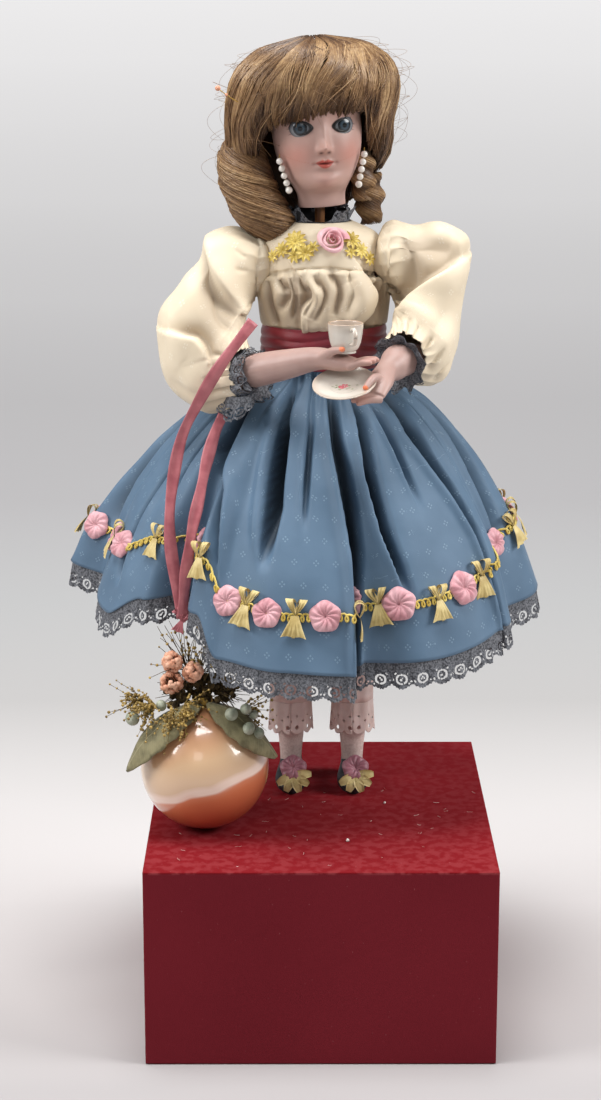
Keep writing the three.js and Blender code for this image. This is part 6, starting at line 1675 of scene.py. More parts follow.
def sleeve_grid(shape):
    """A puffed sleeve: a bag whose rings fan from the armhole round to the cuff."""
    side, pivot = shape["side"], np.array(shape["pivot"], float)
    stations = np.arange(9)
    where = np.linspace(0, 8, 130)
    parts = ("degrees", "inner", "outer", "forward", "width", "twist")
    degrees, inner, outer, forward, width, twist = (eased(where, stations, shape[part]) for part in parts)
    angle, twist = np.radians(degrees), np.radians(twist)
    zero = np.zeros_like(angle)
    outward = np.stack([-side * np.cos(angle), zero, np.sin(angle)], -1)
    onward = np.stack([side * np.sin(angle), zero, np.cos(angle)], -1)
    across = np.stack([zero, np.cos(twist), zero], -1) + onward * np.sin(twist)[:, None]
    half = SLEEVE_REACH * (outer - inner) / 2
    middle = SLEEVE_REACH * inner + half
    centre = pivot + outward * middle[:, None] - np.array([0, 1, 0]) * (SLEEVE_REACH * forward)[:, None]
    turns = circle(200)
    near_cuff = smooth_step(6.3, 8, where)[:, None]
    near_seam = 1 - smooth_step(0, 1.6, where)[:, None]
    pull = near_cuff * CUFF_GATHER * np.abs(np.sin(turns * 9 + 0.6 * np.sin(turns * 4))) ** 0.7
    pull = pull + near_seam * SEAM_GATHER * np.abs(np.sin(turns * 8 + 0.4)) ** 0.8
    wide = SLEEVE_REACH * width
    across_part = across[:, None] * (wide[:, None] - pull)[..., None] * np.sin(turns)[None, :, None]
    outward_part = outward[:, None] * (half[:, None] - pull)[..., None] * np.cos(turns)[None, :, None]
    rings = centre[:, None] + outward_part + across_part
    out = unit(rings - centre[:, None])
    soft = ripple(rings, 24, 20 + side) * 0.7 * smooth_step(0.3, 1.5, where)[:, None]
    rings = rings + out * soft[..., None]
    seam_y = SLEEVE_SEAM_RADIUS * np.sin(turns)
    seam_z = SHOULDER_HEIGHT + SLEEVE_SEAM_RADIUS * np.cos(turns)
    slant = np.arcsin(np.clip(seam_y / (0.8 * BODICE_HALF_DEPTH), -1, 1))
    seam = bodice_point(side * (pi / 2 - slant * side), seam_z, -0.8)
    seam = np.stack([seam[:, 0], seam_y, seam_z], -1)
    steps = []
    for share in (0, 0.25, 0.5, 0.75):
        step = blended(seam, rings[0], share)
        steps.append(step + unit(step - step.mean(0)) * SHOULDER_ROUNDING * sin(pi * share))
    return grabbed(np.concatenate([steps, rings]), shape["grabs"])


def sleeve(name):
    shape = SLEEVES[name]
    side = shape["side"]
    plain = sleeve_grid(shape)
    normals = side * grid_normals(plain)
    grid = folded(plain, normals, shape["folds"])
    # Painted shade: the sleeve is painted darker where its folds press in
    marks = {"fold": 0.5 * painted_fold_shade(plain, grid, normals, *FOLD_SHADE_DEPTHS)}
    cloth = cloth_map(grid)
    piece = surface(
        "satin_sleeve_" + name, grid, BLOUSE, None, cloth=cloth, turned=side < 0, marks=marks
    )
    declare_sheet(piece, grid)
    plain_mesh(thicken(piece, SATIN_CLOTH))
    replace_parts(piece, "sleeve_" + name)
    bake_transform(piece)


ARMS = {
    "right": {
        "body": "arm_right",
        "elbow": (-70, -28, 264), "cuff": (-46, -46, 267), "wrist": (-1.5, -74, 280),
        "palm": (12, -79, 278.5),
        "knuckles": (20, -82, 278), "spread": (0.25, 0.97, 0), "reach": (0.93, -0.1, 0.2),
        "thumb": [(0, -79, 281.5), (6.5, -86, 286.2), (12.4, -91.2, 287.9)], "nail": (11.9, -92.6, 288.9),
        "cuff_start": 0.5, "cuff_length": 12.0, "cuff_radii": (14.6, 15.6), "cuff_drop": 3.0,
    },
    "left": {
        "body": "arm_left",
        "elbow": (66, -27, 273), "cuff": (47, -50, 275), "wrist": (38, -66, 271), "palm": (33.5, -79, 267),
        "knuckles": (29, -88, 261), "spread": (0.35, -0.6, -0.35), "reach": (-0.9, -0.3, -0.1),
        "thumb": [(33, -82, 270), (29.5, -89, 271), (25.2, -94.6, 266.6)], "nail": (24.9, -96.2, 266.4),
        "cuff_start": -1.0, "cuff_length": 4.5, "cuff_radii": (11.5, 17.5), "cuff_drop": 1.5,
    },
}
FINGER_PITCH = 4.1
FINGER_LENGTH = 13.0
FINGER_ROOT = 4.0
HAND_GRAIN = 0.55
# Half widths and half heights from the elbow to the knuckles, and from each finger's root to its tip
FOREARM_SECTIONS = [(8.6, 8.6), (9.9, 9.9), (8.9, 9.1), (6.7, 6.6), (8.4, 5.0), (8.2, 3.2)]
FINGER_SECTIONS = [(2.2, 2.3), (2.0, 2.05), (1.6, 1.6), (0.5, 0.5)]
THUMB_SECTIONS = [(2.9, 3.0), (2.4, 2.5), (1.9, 1.8), (0.6, 0.6)]


def hand(name):
    """Forearm, palm and fingers modelled as one smooth bisque limb."""
    arm = {}
    for key, value in ARMS[name].items():
        arm[key] = value if isinstance(value, str) else np.array(value, float)
    elbow, cuff_place, wrist, knuckles = arm["elbow"], arm["cuff"], arm["wrist"], arm["knuckles"]
    start = elbow + unit(cuff_place - elbow) * 9
    points = [start, cuff_place, blended(cuff_place, wrist, 0.5), wrist, arm["palm"], knuckles]
    shells = [limb_rings(points, FOREARM_SECTIONS, 24, 40)]
    for place in (-1.5, -0.5, 0.5, 1.5):
        base = knuckles + arm["spread"] * place * FINGER_PITCH - arm["reach"] * FINGER_ROOT
        length = FINGER_LENGTH * (1 - 0.12 * abs(place - 0.3))
        tip = base + arm["reach"] * (length + FINGER_ROOT)
        bend = blended(base, tip, 0.55) + np.array([0, 0, 0.9])
        shells.append(limb_rings([base, bend, tip, tip + arm["reach"] * 1.3], FINGER_SECTIONS, 12, 14))
    thumb = arm["thumb"]
    thumb_tip = thumb[-1] + unit(thumb[-1] - thumb[-2]) * 1.2
    shells.append(limb_rings([*thumb, thumb_tip], THUMB_SECTIONS, 12, 14))
    points, faces, first = [], [], 0
    for rings in shells:
        rings = np.asarray(rings)
        rows, columns, _ = rings.shape
        last = first + (rows - 1) * columns
        faces += grid_faces(rows, columns, True, first).tolist()
        faces += [list(range(first, first + columns)), list(range(last, last + columns))[::-1]]
        points.append(rings.reshape(-1, 3))
        first += rows * columns
    piece = plain_piece("bisque_hand_" + name, np.concatenate(points), faces, HAND, None)
    faces_outward(piece)
    remesh = piece.modifiers.new("one_skin", "REMESH")
    remesh.mode = "VOXEL"
    remesh.voxel_size = HAND_GRAIN * MM
    softer = piece.modifiers.new("soften", "SMOOTH")
    softer.iterations = 7
    softer.factor = 0.5
    mesh = plain_mesh(piece).data
    where = np.zeros(len(mesh.vertices) * 3)
    mesh.vertices.foreach_get("co", where)
    where = where.reshape(-1, 3) / MM - FIGURE_FOOT
    to_nail = np.linalg.norm((where - arm["nail"]) * (1, 0.8, 1), axis=1)
    to_tips = np.linalg.norm(where - (knuckles + arm["reach"] * FINGER_LENGTH), axis=1)
    mark(mesh, "nail", smooth_step(2.3, 1.7, to_nail))
    mark(mesh, "warmth", 0.4 * smooth_step(16, 4, to_tips))
    settle(piece, HAND, arm["body"])
    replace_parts(piece, "forearm_" + name)


CUFF_LACE = 12.5
TAIL_LACE = 15.0
TAIL_ROUTE = [(-57, -48, 258), (-53, -55, 255), (-47, -60, 255), (-40, -62, 257), (-36, -60, 259)]


def cuff(name):
    """Dark lace gathered close round the wrist, that flares and droops out of the sleeve's end."""
    arm = ARMS[name]
    start, wrist = np.array(arm["cuff"], float), np.array(arm["wrist"], float)
    along = unit(wrist - start)
    across = unit(np.cross(along, (0, 0, 1)))
    up = np.cross(across, along)
    turns = np.linspace(-pi, pi, 260)

    def line(distance, radius, ruffle, drop):
        reach = radius + ruffle * np.sin(turns * 9 + 0.9 * np.sin(turns * 3))
        round_it = across * np.cos(turns)[:, None] + up * np.sin(turns)[:, None]
        wander = 1.5 * ruffle * np.sin(turns * 9 + 1.2)
        return start + along * (distance + wander)[:, None] + round_it * reach[:, None] - (0, 0, drop)

    first, drop, (near, far) = arm["cuff_start"], arm["cuff_drop"], arm["cuff_radii"]
    last = first + arm["cuff_length"]
    outer, inner = line(last - 1.2, far - 1.2, 1.2, drop), line(last - 4.5, 9.2, 0.1, 0)
    gathers = blended(outer[None], inner[None], np.linspace(0, 1, 8)[:, None, None])
    thicken(surface("cuff_gathers_" + name, gathers[:, :-1], LACE, arm["body"]), LACE_FRILL)
    top, bottom, pattern = line(first, near, 0.4, drop), line(last, far, 1.6, drop), dark_lace(CUFF_LACE, 9.0)
    piece = lace(
        "lace_cuff_" + name, top, bottom, CUFF_LACE, pattern, LACE, arm["body"], cell=FINE_CELL
    )
    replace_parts(piece, "cuff_" + name)


def cuff_tail():
    """The lace that droops in loops under her right wrist."""
    share = np.linspace(0, 1, 60)
    top = path_through(TAIL_ROUTE, 60)
    drop = TAIL_LACE * np.sin(pi * np.clip(share * 0.8 + 0.25, 0, 1)) ** 0.6
    bottom = top + np.stack([6 * share - 4, -3 * np.sin(pi * share), -drop], -1)
    pattern = dark_lace(TAIL_LACE, 8.0)
    lace("lace_cuff_tail", top, bottom, TAIL_LACE, pattern, LACE, "arm_right", ruffle=1.4)


# Cup and saucer


CUP_CENTRE = (14, -80, 284.6)
SAUCER_CENTRE = (13.5, -86, 266.3)


def china(name, outline, gilt, turns, centre, body, node, sides=72):
    """A turned china piece; its gilt share is painted along the outline."""
    where = np.linspace(0, len(outline) - 1, 5 * (len(outline) - 1) + 1)
    outline = eased(where, np.arange(len(outline)), outline)
    amounts = np.interp(where, np.arange(len(gilt)), gilt)
    rings = oriented(turned_rings(outline, sides), turns, centre)
    marks = {"gilt": np.broadcast_to(amounts[:, None], rings.shape[:2])}
    piece = loft(name, rings, CHINA, body, marks)
    faces_outward(piece)
    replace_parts(piece, node)
    return piece


def cup():
    outline = [
        (0.3, 2.4), (5.6, 2.7), (7.8, 6), (8.7, 11), (9.1, 16.4), (9.65, 17), (10.2, 16.5), (9.8, 11.5),
        (8.9, 6),
        (7.4, 2.4), (6.1, 1.2), (6.2, 0), (5.0, 0), (4.9, 0.7), (0.3, 0.8),
    ]
    gilt = [0.35, 0.35, 0.3, 0.2, 0.35, 0.9, 0.25, 0, 0, 0, 0, 0, 0, 0, 0]
    china("china_cup", outline, gilt, (0, 0), CUP_CENTRE, "arm_right", "cup")
    handle_line = [(0, -9.5, 13.8), (0, -13.2, 15.2), (0, -16, 11.5), (0, -14.4, 7.2), (0, -8.8, 5.8)]
    handle = path_through(handle_line, 9)
    rings = limb_rings(handle, [(1.25, 0.95)] * 9, 12, 26)
    turn = np.array(Matrix.Rotation(radians(20), 3, "Z"))
    rings = np.asarray(rings) @ turn.T + CUP_CENTRE
    amounts = np.zeros(rings.shape[:2]) + 0.35 * np.exp(-(((np.arange(len(rings)) - 13) / 5.0) ** 2))[:, None]
    faces_outward(loft("china_cup_handle", rings, CHINA, "arm_right", {"gilt": amounts}))


def saucer():
    outline = [
        (0.3, 0.1), (7.4, 0.1), (9.0, 0.5), (14.2, 1.1), (17.9, 2.35), (18.3, 2.1), (18.1, 1.6), (14.6, 0.1),
        (8.6, -0.6), (7.6, -1.2), (6.8, -1.2), (6.4, -0.7), (0.3, -0.7),
    ]
    gilt = [0, 0, 0, 0, 0.25, 0.3, 0.2, 0, 0, 0, 0, 0, 0]
    china("china_saucer", outline, gilt, (20, -6), SAUCER_CENTRE, "arm_left", "saucer")
    source = np.random.default_rng(3)
    pink, green = [], []
    facing = oriented([(0, 0, 1)], (20, -6), 0)[0]
    up = oriented([(0, 1, 0)], (20, -6), 0)[0]
    for _ in range(34):
        spot = source.normal(scale=(2.3, 1.4), size=2)
        point = oriented([(spot[0] - 0.5, spot[1] - 1, 0.16)], (20, -6), SAUCER_CENTRE)[0]
        (pink if np.hypot(*spot) < 2.4 else green).append((point, facing, up, source.uniform(0.5, 1.0)))
    flat = ball_pattern(1.05, 2, (1, 1, 0.12))
    strewn("saucer_sprig_petals", flat, pink, PETAL, "arm_left")
    strewn("saucer_sprig_leaves", ball_pattern(0.6, 2, (1.5, 0.6, 0.12)), green, STALK, "arm_left")


# Head, eyes and earrings


def face_relief(x, z):
    """How far the face stands out of the plain oval."""
    side = np.abs(x)
    bridge = bump(x, z, 0, NOSE_HEIGHT + 6.2, 3.0, 8.5) * 3.0
    nose = bump(x, z, 0, NOSE_HEIGHT, 2.7, 3.6) * 5.2 + bump(x, z, 0, NOSE_HEIGHT - 0.8, 4.2, 2.2) * 1.0
    wings = bump(side, z, 3.2, NOSE_HEIGHT - 1.7, 1.5, 1.7) * 2.0
    under = bump(x, z, 0, NOSE_HEIGHT - 4.6, 3.4, 1.3) * 0.8
    upper_lip = bump(side, z, 1.7, MOUTH_HEIGHT + 1.4, 2.4, 1.3) * 1.5
    lower_lip = bump(x, z, 0, MOUTH_HEIGHT - 1.6, 3.0, 1.3) * 1.7
    parting = bump(x, z, 0, MOUTH_HEIGHT, 5.0, 0.5) * 1.4
    corners = bump(side, z, 6.2, MOUTH_HEIGHT, 1.4, 1.4) * 0.5
    below_lip = bump(x, z, 0, MOUTH_HEIGHT - 4.8, 4.5, 1.8) * 0.8
    chin = bump(x, z, 0, MOUTH_HEIGHT - 10.2, 8.0, 5.2) * 2.0
    cheeks = bump(side, z, 14.0, NOSE_HEIGHT - 5, 8.0, 9.0) * 1.7
    brow = bump(side, z, 11.5, EYE_HEIGHT + 7.5, 9.0, 3.5) * 1.3
    sockets = bump(side, z, EYE_SPACING, EYE_HEIGHT, 7.6, 5.8) * 1.4
    raised = bridge + nose + wings + upper_lip + lower_lip + chin + cheeks + brow
    return raised - under - parting - corners - below_lip - sockets


def eye_reach(x, z):
    """1 on the rim of the eye opening, less inside it; the opening is a soft almond."""
    side = (np.abs(x) - EYE_SPACING) / EYE_HALF_WIDTH
    height = (z - EYE_HEIGHT) / EYE_HALF_HEIGHT
    return np.hypot(side, height / (1 - 0.18 * np.clip(np.abs(side), 0, 1.3) ** 2))


def head():
    """The painted bisque head, with open eye sockets and a flat neck rim."""
    plain_turn = np.linspace(-pi, pi, 320, endpoint=False)
    turns = (plain_turn - 0.52 * np.sin(plain_turn))[None]
    shares = np.linspace(1, 0, 210)[:, None]
    z = HEAD_RIM + (HEAD_TOP - HEAD_RIM) * shares + 0 * turns
    half_width = HEAD_HALF_WIDTH * eased(shares, HEAD_HEIGHTS, HEAD_WIDTHS)
    front = HEAD_FRONT * eased(shares, HEAD_HEIGHTS, HEAD_FRONTS)
    back = HEAD_BACK * eased(shares, HEAD_HEIGHTS, HEAD_BACKS)
    forward = np.cos(turns)
    x = half_width * np.sin(turns)
    facing = np.clip(forward * 1.5, 0, 1)
    reach = eye_reach(x, z)
    on_face = forward > 0.2
    lid = 0.75 * np.exp(-(((reach - 1.1) / 0.13) ** 2)) - 4.6 * smooth_step(1.02, 0.8, reach)
    relief = face_relief(x, z) + np.where(on_face, lid, 0)
    y = -np.where(forward > 0, front, back) * forward - facing * relief
    side = np.abs(x)
    mouth_middle = MOUTH_HEIGHT + 0.35 * (x / MOUTH_HALF_WIDTH) ** 2
    narrowing = np.clip(1 - (side / MOUTH_HALF_WIDTH) ** 1.7, 0, 1)
    upper = mouth_middle + 2.7 * narrowing - 0.9 * np.exp(-((x / 1.1) ** 2))
    lower = mouth_middle - 2.9 * np.clip(1 - (side / (MOUTH_HALF_WIDTH * 0.86)) ** 2, 0, 1)
    within = np.minimum(upper - z, z - lower)
    blush = 0.6 * bump(side, z, 15.5, 391.5, 8.5, 8.0) + 0.25 * bump(x, z, 0, 376, 7, 4)
    blush = blush + 0.18 * bump(x, z, 0, NOSE_HEIGHT, 4, 4) + 0.25 * bump(side, z, 12, 415, 9, 4)
    shadow = 1.1 * bump(side, z, 2.3, NOSE_HEIGHT - 3.1, 1.1, 0.7)
    shadow = shadow + 0.2 * bump(x, z, 0, MOUTH_HEIGHT - 4.4, 3.6, 1)
    rim = smooth_step(0.74, 0.86, reach) * (1 - smooth_step(1.26, 1.38, reach))
    lash = bump(side, z, EYE_SPACING + EYE_HALF_WIDTH + 1.4, EYE_HEIGHT - 0.2, 1.3, 0.35)
    marks = {
        "blush": np.where(on_face, blush, 0),
        "lips": np.where(on_face, smooth_step(-0.25, 0.35, within), 0),
        "lipline": np.where(on_face, 0.95 * bump(x, z, 0, MOUTH_HEIGHT, 4.8, 0.55), 0),
        "shadow": np.where(on_face, shadow, 0),
        "lids": np.where(on_face, np.maximum(rim, 0.7 * lash), 0),
    }
    grid = lean(np.stack([x, y, z], -1))
    inner = blended(grid[-1], grid[-1].mean(0), 0.16) + (0, 0, 0.8)
    up_inside = inner + (0, 0, 9)
    grid = np.concatenate([grid, inner[None], up_inside[None]])
    marks = {label: np.concatenate([amount, np.zeros_like(amount[-2:])]) for label, amount in marks.items()}
    piece = surface("bisque_head", grid, BISQUE, "head", marks=marks)
    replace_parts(piece, "head")


EYE_TURN = 19.0
LID_LINE = np.full(49, 0.72)


def eye(side, name):
    """A glass eye set in its socket and turned a little outwards."""
    shares = np.linspace(0.02, 1, 26)
    turns = np.linspace(0, 2 * pi, 48, endpoint=False)
    radius = np.sin(shares * pi / 2)[:, None] * np.ones(48)
    x = 7.3 * radius * np.cos(turns)
    z = 6.4 * radius * np.sin(turns)
    y = -4.3 * np.sqrt(np.clip(1 - radius**2, 0, 1))
    way = radians(EYE_TURN) * side
    turned_x = x * cos(way) - y * sin(way)
    turned_y = x * sin(way) + y * cos(way)
    grid = np.stack([turned_x + side * (EYE_SPACING - 0.4), turned_y - 19.4, z + EYE_HEIGHT], -1)
    reach = np.hypot(x, z) / 6.9
    piece = loft("glass_eye_" + name, lean(grid), EYE, "head", {"reach": reach})
    faces_outward(piece)
    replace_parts(piece, "eye_" + name)


def on_brow(x, z, out):
    """The face's surface at a place in front, or a little before it."""
    share = (z - HEAD_RIM) / (HEAD_TOP - HEAD_RIM)
    half_width = HEAD_HALF_WIDTH * eased(share, HEAD_HEIGHTS, HEAD_WIDTHS)
    front = HEAD_FRONT * eased(share, HEAD_HEIGHTS, HEAD_FRONTS)
    turn = np.arcsin(np.clip(x / half_width, -1, 1))
    relief = face_relief(x, z) * np.clip(np.cos(turn) * 1.5, 0, 1)
    return np.stack([x, -front * np.cos(turn) - relief - out, z], -1)


def lid_lines():
    """The thick black line round each eye opening."""
    turns = np.linspace(0, 2 * pi, 49)
    lines = []
    for side in (-1, 1):
        size = np.ones(49)
        for _ in range(6):
            x = side * EYE_SPACING + EYE_HALF_WIDTH * size * np.cos(turns)
            z = EYE_HEIGHT + EYE_HALF_HEIGHT * size * np.sin(turns)
            size = size / eye_reach(x, z)
        lines.append(on_brow(x, z, 0.75))
    strands("lid_lines", lean(np.array(lines)), LID_LINE, LID_BLACK, "head", sides=8)


def lashes():
    """Fine lashes painted at the outer corners, raised a hair's breadth."""
    lines = []
    for side in (-1, 1):
        for k in range(5):
            start_x = EYE_SPACING + EYE_HALF_WIDTH * (0.78 + 0.06 * k)
            start_z = EYE_HEIGHT + 3.2 - 1.5 * k
            share = np.linspace(0, 1, 4)
            x = start_x + 2.1 * share
            z = start_z + (1.1 - 0.5 * k) * share
            lines.append(on_brow(x, z, 0.35) * (side, 1, 1))
    strands("painted_lashes", lean(np.array(lines)), np.array([0.16, 0.14, 0.1, 0.05]), LACE, "head")


def earrings():
    for side, name in ((-1, "right"), (1, "left")):
        places, line = [], []
        for k in range(5):
            point = lean([side * 25.2 - side * k * 1.1, -13.5, 389.0 - k * 4.3])
            swing = np.array([side * 0.0, 0, 0])
            places.append((point + swing, (0, -1, 0), (0, 0, 1), 1.0 + 0.06 * (k == 4)))
            line.append(point)
        pearls = strewn("pearl_drop_" + name, ball_pattern(PEARL_RADIUS, 4), places, PEARL, "head")
        line = [np.array(line[0]) + (0, 0, 4.0)] + line
        strands("pearl_wire_" + name, [path_through(line, 12)], 0.25, BRASS, "head", sides=6)
        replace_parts(pearls, "earring_" + name)


# Wig


def wig_point(turn, height, inset=0.0):
    share = np.clip((np.asarray(height, float) - WIG_BOTTOM) / (WIG_TOP - WIG_BOTTOM), 0, 1)
    half_width = WIG_HALF_WIDTH * eased(share, WIG_HEIGHTS, WIG_WIDTHS) - inset
    front = WIG_FRONT * eased(share, WIG_HEIGHTS, WIG_FRONTS)
    back = WIG_BACK * eased(share, WIG_HEIGHTS, WIG_BACKS)
    fuller = 7 * bump(0, height, 0, 387, 1, 13) * np.clip(np.sin(turn), 0, 1)
    leftwards = np.clip(-np.sin(turn), 0, 1)
    fuller = fuller + leftwards * eased(height, WIG_SWELL_HEIGHTS, WIG_SWELL)
    x = WIG_SHIFT + (half_width + fuller) * np.sin(turn)
    forward = 9 * bump(0, height, 0, 388, 1, 15) * leftwards
    y = -forward + (back - front) / 2 - ((front + back) / 2 - inset) * np.cos(turn)
    return np.stack([x, y, np.asarray(height, float) + 0 * x], -1)


WIG_ENDS = {
    -180: 351, -140: 352, -112: 358, -96: 364, -80: 371, -66: 382, -56: 395, -48: 406, -38: 411, -15: 413.5,
    0: 414.5, 18: 415.5, 34: 416.5, 41: 412, 47: 396, 56: 386, 74: 381, 96: 378, 120: 366, 150: 353, 180: 351,
}


def wig_end(turn):
    return eased(np.degrees(turn), list(WIG_ENDS), list(WIG_ENDS.values()))


def wig_cap():
    """The foundation under the hair, cut back from the face, painted dark for the shaded hair deep under the
    strands.
    """
    turns = np.linspace(-pi, pi, 120, endpoint=False)[None]
    share = np.linspace(0, 1, 60)[:, None]
    top = WIG_TOP - 3.5
    height = top + (wig_end(turns) + 4 - top) * share
    grid = wig_point(turns, height, 3.2)
    crown = blended(grid[0], grid[0].mean(0), 0.97) + (0, 0, 1.2)
    grid = lean(np.concatenate([crown[None], grid]))
    # Painted shade: the cap is tinted dark
    tints = np.full(grid.shape[:2], 0.14)
    piece = surface("wig_cap", grid, HAIR, "head", marks={"tint": tints})
    thicken(piece, WIG_CLOTH)
    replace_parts(piece, "wig")


def combed(count, low, high, seed, deep=2.2):
    """Strands that fall from the crown to the hair's edge, drawn a little together into soft locks."""
    source = np.random.default_rng(seed)
    end_turn = np.radians(source.uniform(low, high, count))
    lock_width = radians(5.2)
    lock = np.round(end_turn / lock_width) * lock_width + lock_width * 0.35 * np.sin(end_turn * 23)
    share = np.linspace(0, 1, 14)[None]
    swirl = np.radians(30 + 16 * np.sin(lock * 5 + 1))[:, None] * (1 - share) ** 1.5
    pull = source.uniform(0.15, 0.6, count)[:, None]
    turn = blended(end_turn[:, None], lock[:, None], pull * share**1.5) + swirl
    stray = np.where(source.uniform(size=count) < 0.12, source.normal(scale=0.2, size=count), 0)[:, None]
    turn = turn + stray * np.sin(pi * share) + 0.035 * np.sin(share * 6 + lock[:, None] * 7)
    start = source.uniform(WIG_TOP - 4.5, WIG_TOP - 0.2, count)[:, None]
    finish = wig_end(end_turn)[:, None] + source.normal(scale=1.3, size=(count, 1))
    height = start + (finish - start) * (0.42 * share + 0.58 * share**1.7)
    turn = turn + 0.07 * ripple(wig_point(turn, height), 34, 12) * np.sin(pi * share)
    turn = turn + 0.32 * smooth_step(0.72, 1, share) * bump(np.degrees(end_turn)[:, None], 0, -82, 0, 24, 1)
    inside = source.uniform(0, deep, count)[:, None] + 0.5 * np.sin(lock * 11)[:, None]
    inset = inside * (0.3 + 0.7 * share) + 3.2 * smooth_step(0.84, 1, share)
    wave = 0.4 * np.sin(share * 8 + end_turn[:, None] * 21)
    points = wig_point(turn, height, inset + wave)
    tint = 0.62 + 0.13 * np.sin(lock * 17)[:, None] + source.normal(scale=0.12, size=(count, 1))
    # Painted light and shade: strands that lie deeper in are darker, each strand's upper middle is lighter as
    # a painted highlight, and the ends are darker where they curl under into shade. Strands are also darker
    # where they leave the crown.
    tint = tint + 0.16 * ripple(points, 16, 31) - 0.09 * inside
    tint = tint - 0.3 * (1 - smooth_step(0.02, 0.2, share))
    tint = tint - 0.32 * smooth_step(0.7, 1, share) + 0.1 * np.sin(pi * np.minimum(share * 1.3, 1))
    return points, np.clip(tint, 0.05, 1)


def strand_thickness(count, points, thick, source):
    share = np.linspace(0, 1, points)
    profile = 0.45 + 0.55 * np.sin(pi * np.clip(share * 0.9 + 0.08, 0, 1)) ** 0.5
    return thick * profile[None] * source.uniform(0.7, 1.15, count)[:, None]


def hair_piece(name, points, tints, thick, seed):
    source = np.random.default_rng(seed)
    thickness = strand_thickness(len(points), points.shape[1], thick, source)
    strands(name, lean(points), thickness, HAIR, "head", tints=tints)


def roll_point(turn, height, inset):
    """A place on the big side roll, which is a rounded mass of hair beside the cheek."""
    middle = eased(height, ROLL_LEVELS, ROLL_MIDDLES)
    reach = eased(height, ROLL_LEVELS, ROLL_RADII) - inset
    back = eased(height, ROLL_LEVELS, ROLL_BACKS)
    return np.stack([middle + reach * np.sin(turn), back - reach * np.cos(turn), height], -1)


def roll_core():
    heights = np.linspace(ROLL_LEVELS[0], ROLL_LEVELS[-1], 30)[:, None] + np.zeros((1, 40))
    turns = np.linspace(0, 2 * pi, 40, endpoint=False)[None] + np.zeros((30, 1))
    rings = lean(roll_point(turns, heights, 1.6))
    # Painted shade: the core is tinted dark, for the shaded hair deep in the roll
    faces_outward(loft("wig_roll_core", rings, HAIR, "head", {"tint": np.full(rings.shape[:2], 0.3)}))


def rolled(count, seed):
    """Strands wound round the side roll in soft locks that fall as they come forward."""
    source = np.random.default_rng(seed)
    start = source.uniform(ROLL_LEVELS[0] + 6, ROLL_LEVELS[-1] + 4, count)
    lock = np.round(start / ROLL_LOCK) * ROLL_LOCK
    start = blended(start, lock + 0.8 * np.sin(lock), source.uniform(0.1, 0.5, count))
    share = np.linspace(0, 1, 16)[None]
    turn = np.radians(blended(-170, 140, share) + source.normal(scale=14, size=(count, 1)))
    slope = 1 + 0.25 * np.sin(lock * 1.7)[:, None]
    height = start[:, None] + ROLL_FALL * slope * (0.5 - smooth_step(-0.05, 1.05, share))
    height = height + 0.7 * np.sin(share * 9 + lock[:, None])
    height = np.clip(height, ROLL_LEVELS[0] + 0.5, ROLL_LEVELS[-1] - 0.5)
    swell = 0.9 * np.cos(start / ROLL_LOCK * 2 * pi)[:, None] + 0.5 * np.sin(lock * 2.3)[:, None]
    points = roll_point(turn, height, source.uniform(-0.2, 1.6, count)[:, None] - swell)
    # Painted light and shade: each lock is lighter along its ridge, where it stands out, and the strands
    # darken towards their ends, on the roll's side towards her face, which lies in shade
    tint = 0.5 + 0.12 * np.cos(start / ROLL_LOCK * 2 * pi)[:, None] + 0.12 * np.sin(lock * 5.1)[:, None]
    tint = tint + source.normal(scale=0.11, size=(count, 1)) - 0.45 * smooth_step(0.6, 0.92, share)
    return points, np.clip(tint, 0.05, 1)


def ringlet(centre, bottom, top, radius, pitch, count, seed):
    """A spiral lock: strands that wind down round an upright line in a swelling coil."""
    source = np.random.default_rng(seed)
    share = np.linspace(0, 1, 30)[None]
    start = source.uniform(0, 2 * pi, count)[:, None]
    height = top + (bottom - top) * share + source.uniform(-1.5, 1.5, count)[:, None]
    turn = start + (top - height) * 2 * pi / pitch * 0.45
    coil = np.cos(2 * pi * height / pitch + turn)
    reach = radius * (0.86 + 0.14 * coil) * (0.72 + 0.28 * np.sin(pi * np.clip(share + 0.1, 0, 1)))
    reach = reach - source.uniform(0, 1.2, count)[:, None]
    x = centre[0] + reach * np.sin(turn)
    y = centre[1] - reach * np.cos(turn)
    # Painted light: the strands are lighter where the coil swells out
    tint = 0.5 + 0.25 * coil + source.normal(scale=0.1, size=(count, 1))
    return np.stack([x, y, height], -1), np.clip(tint, 0.05, 1)


def flyaways():
    source = np.random.default_rng(77)
    count = 90
    turn = np.radians(source.uniform(-150, 150, count))
    start = source.uniform(392, 457, count)
    high = np.where(np.abs(turn) < radians(48), np.maximum(start, 430), start)
    share = np.linspace(0, 1, 16)[None]
    reach = source.uniform(3, 13, count)[:, None] * np.sin(pi * share) ** 0.8
    slide = source.uniform(-0.5, 0.5, count)[:, None] * share
    fall = source.uniform(-4, 26, count)[:, None] * share
    points = wig_point(turn[:, None] + slide, high[:, None] - fall, -reach)
    points[..., 2] += 0.5 * reach * source.uniform(-0.5, 1, count)[:, None]
    tint = 0.6 + 0 * points[..., 0]
    strands("wig_flyaways", lean(points), 0.09, HAIR, "head", tints=tint)


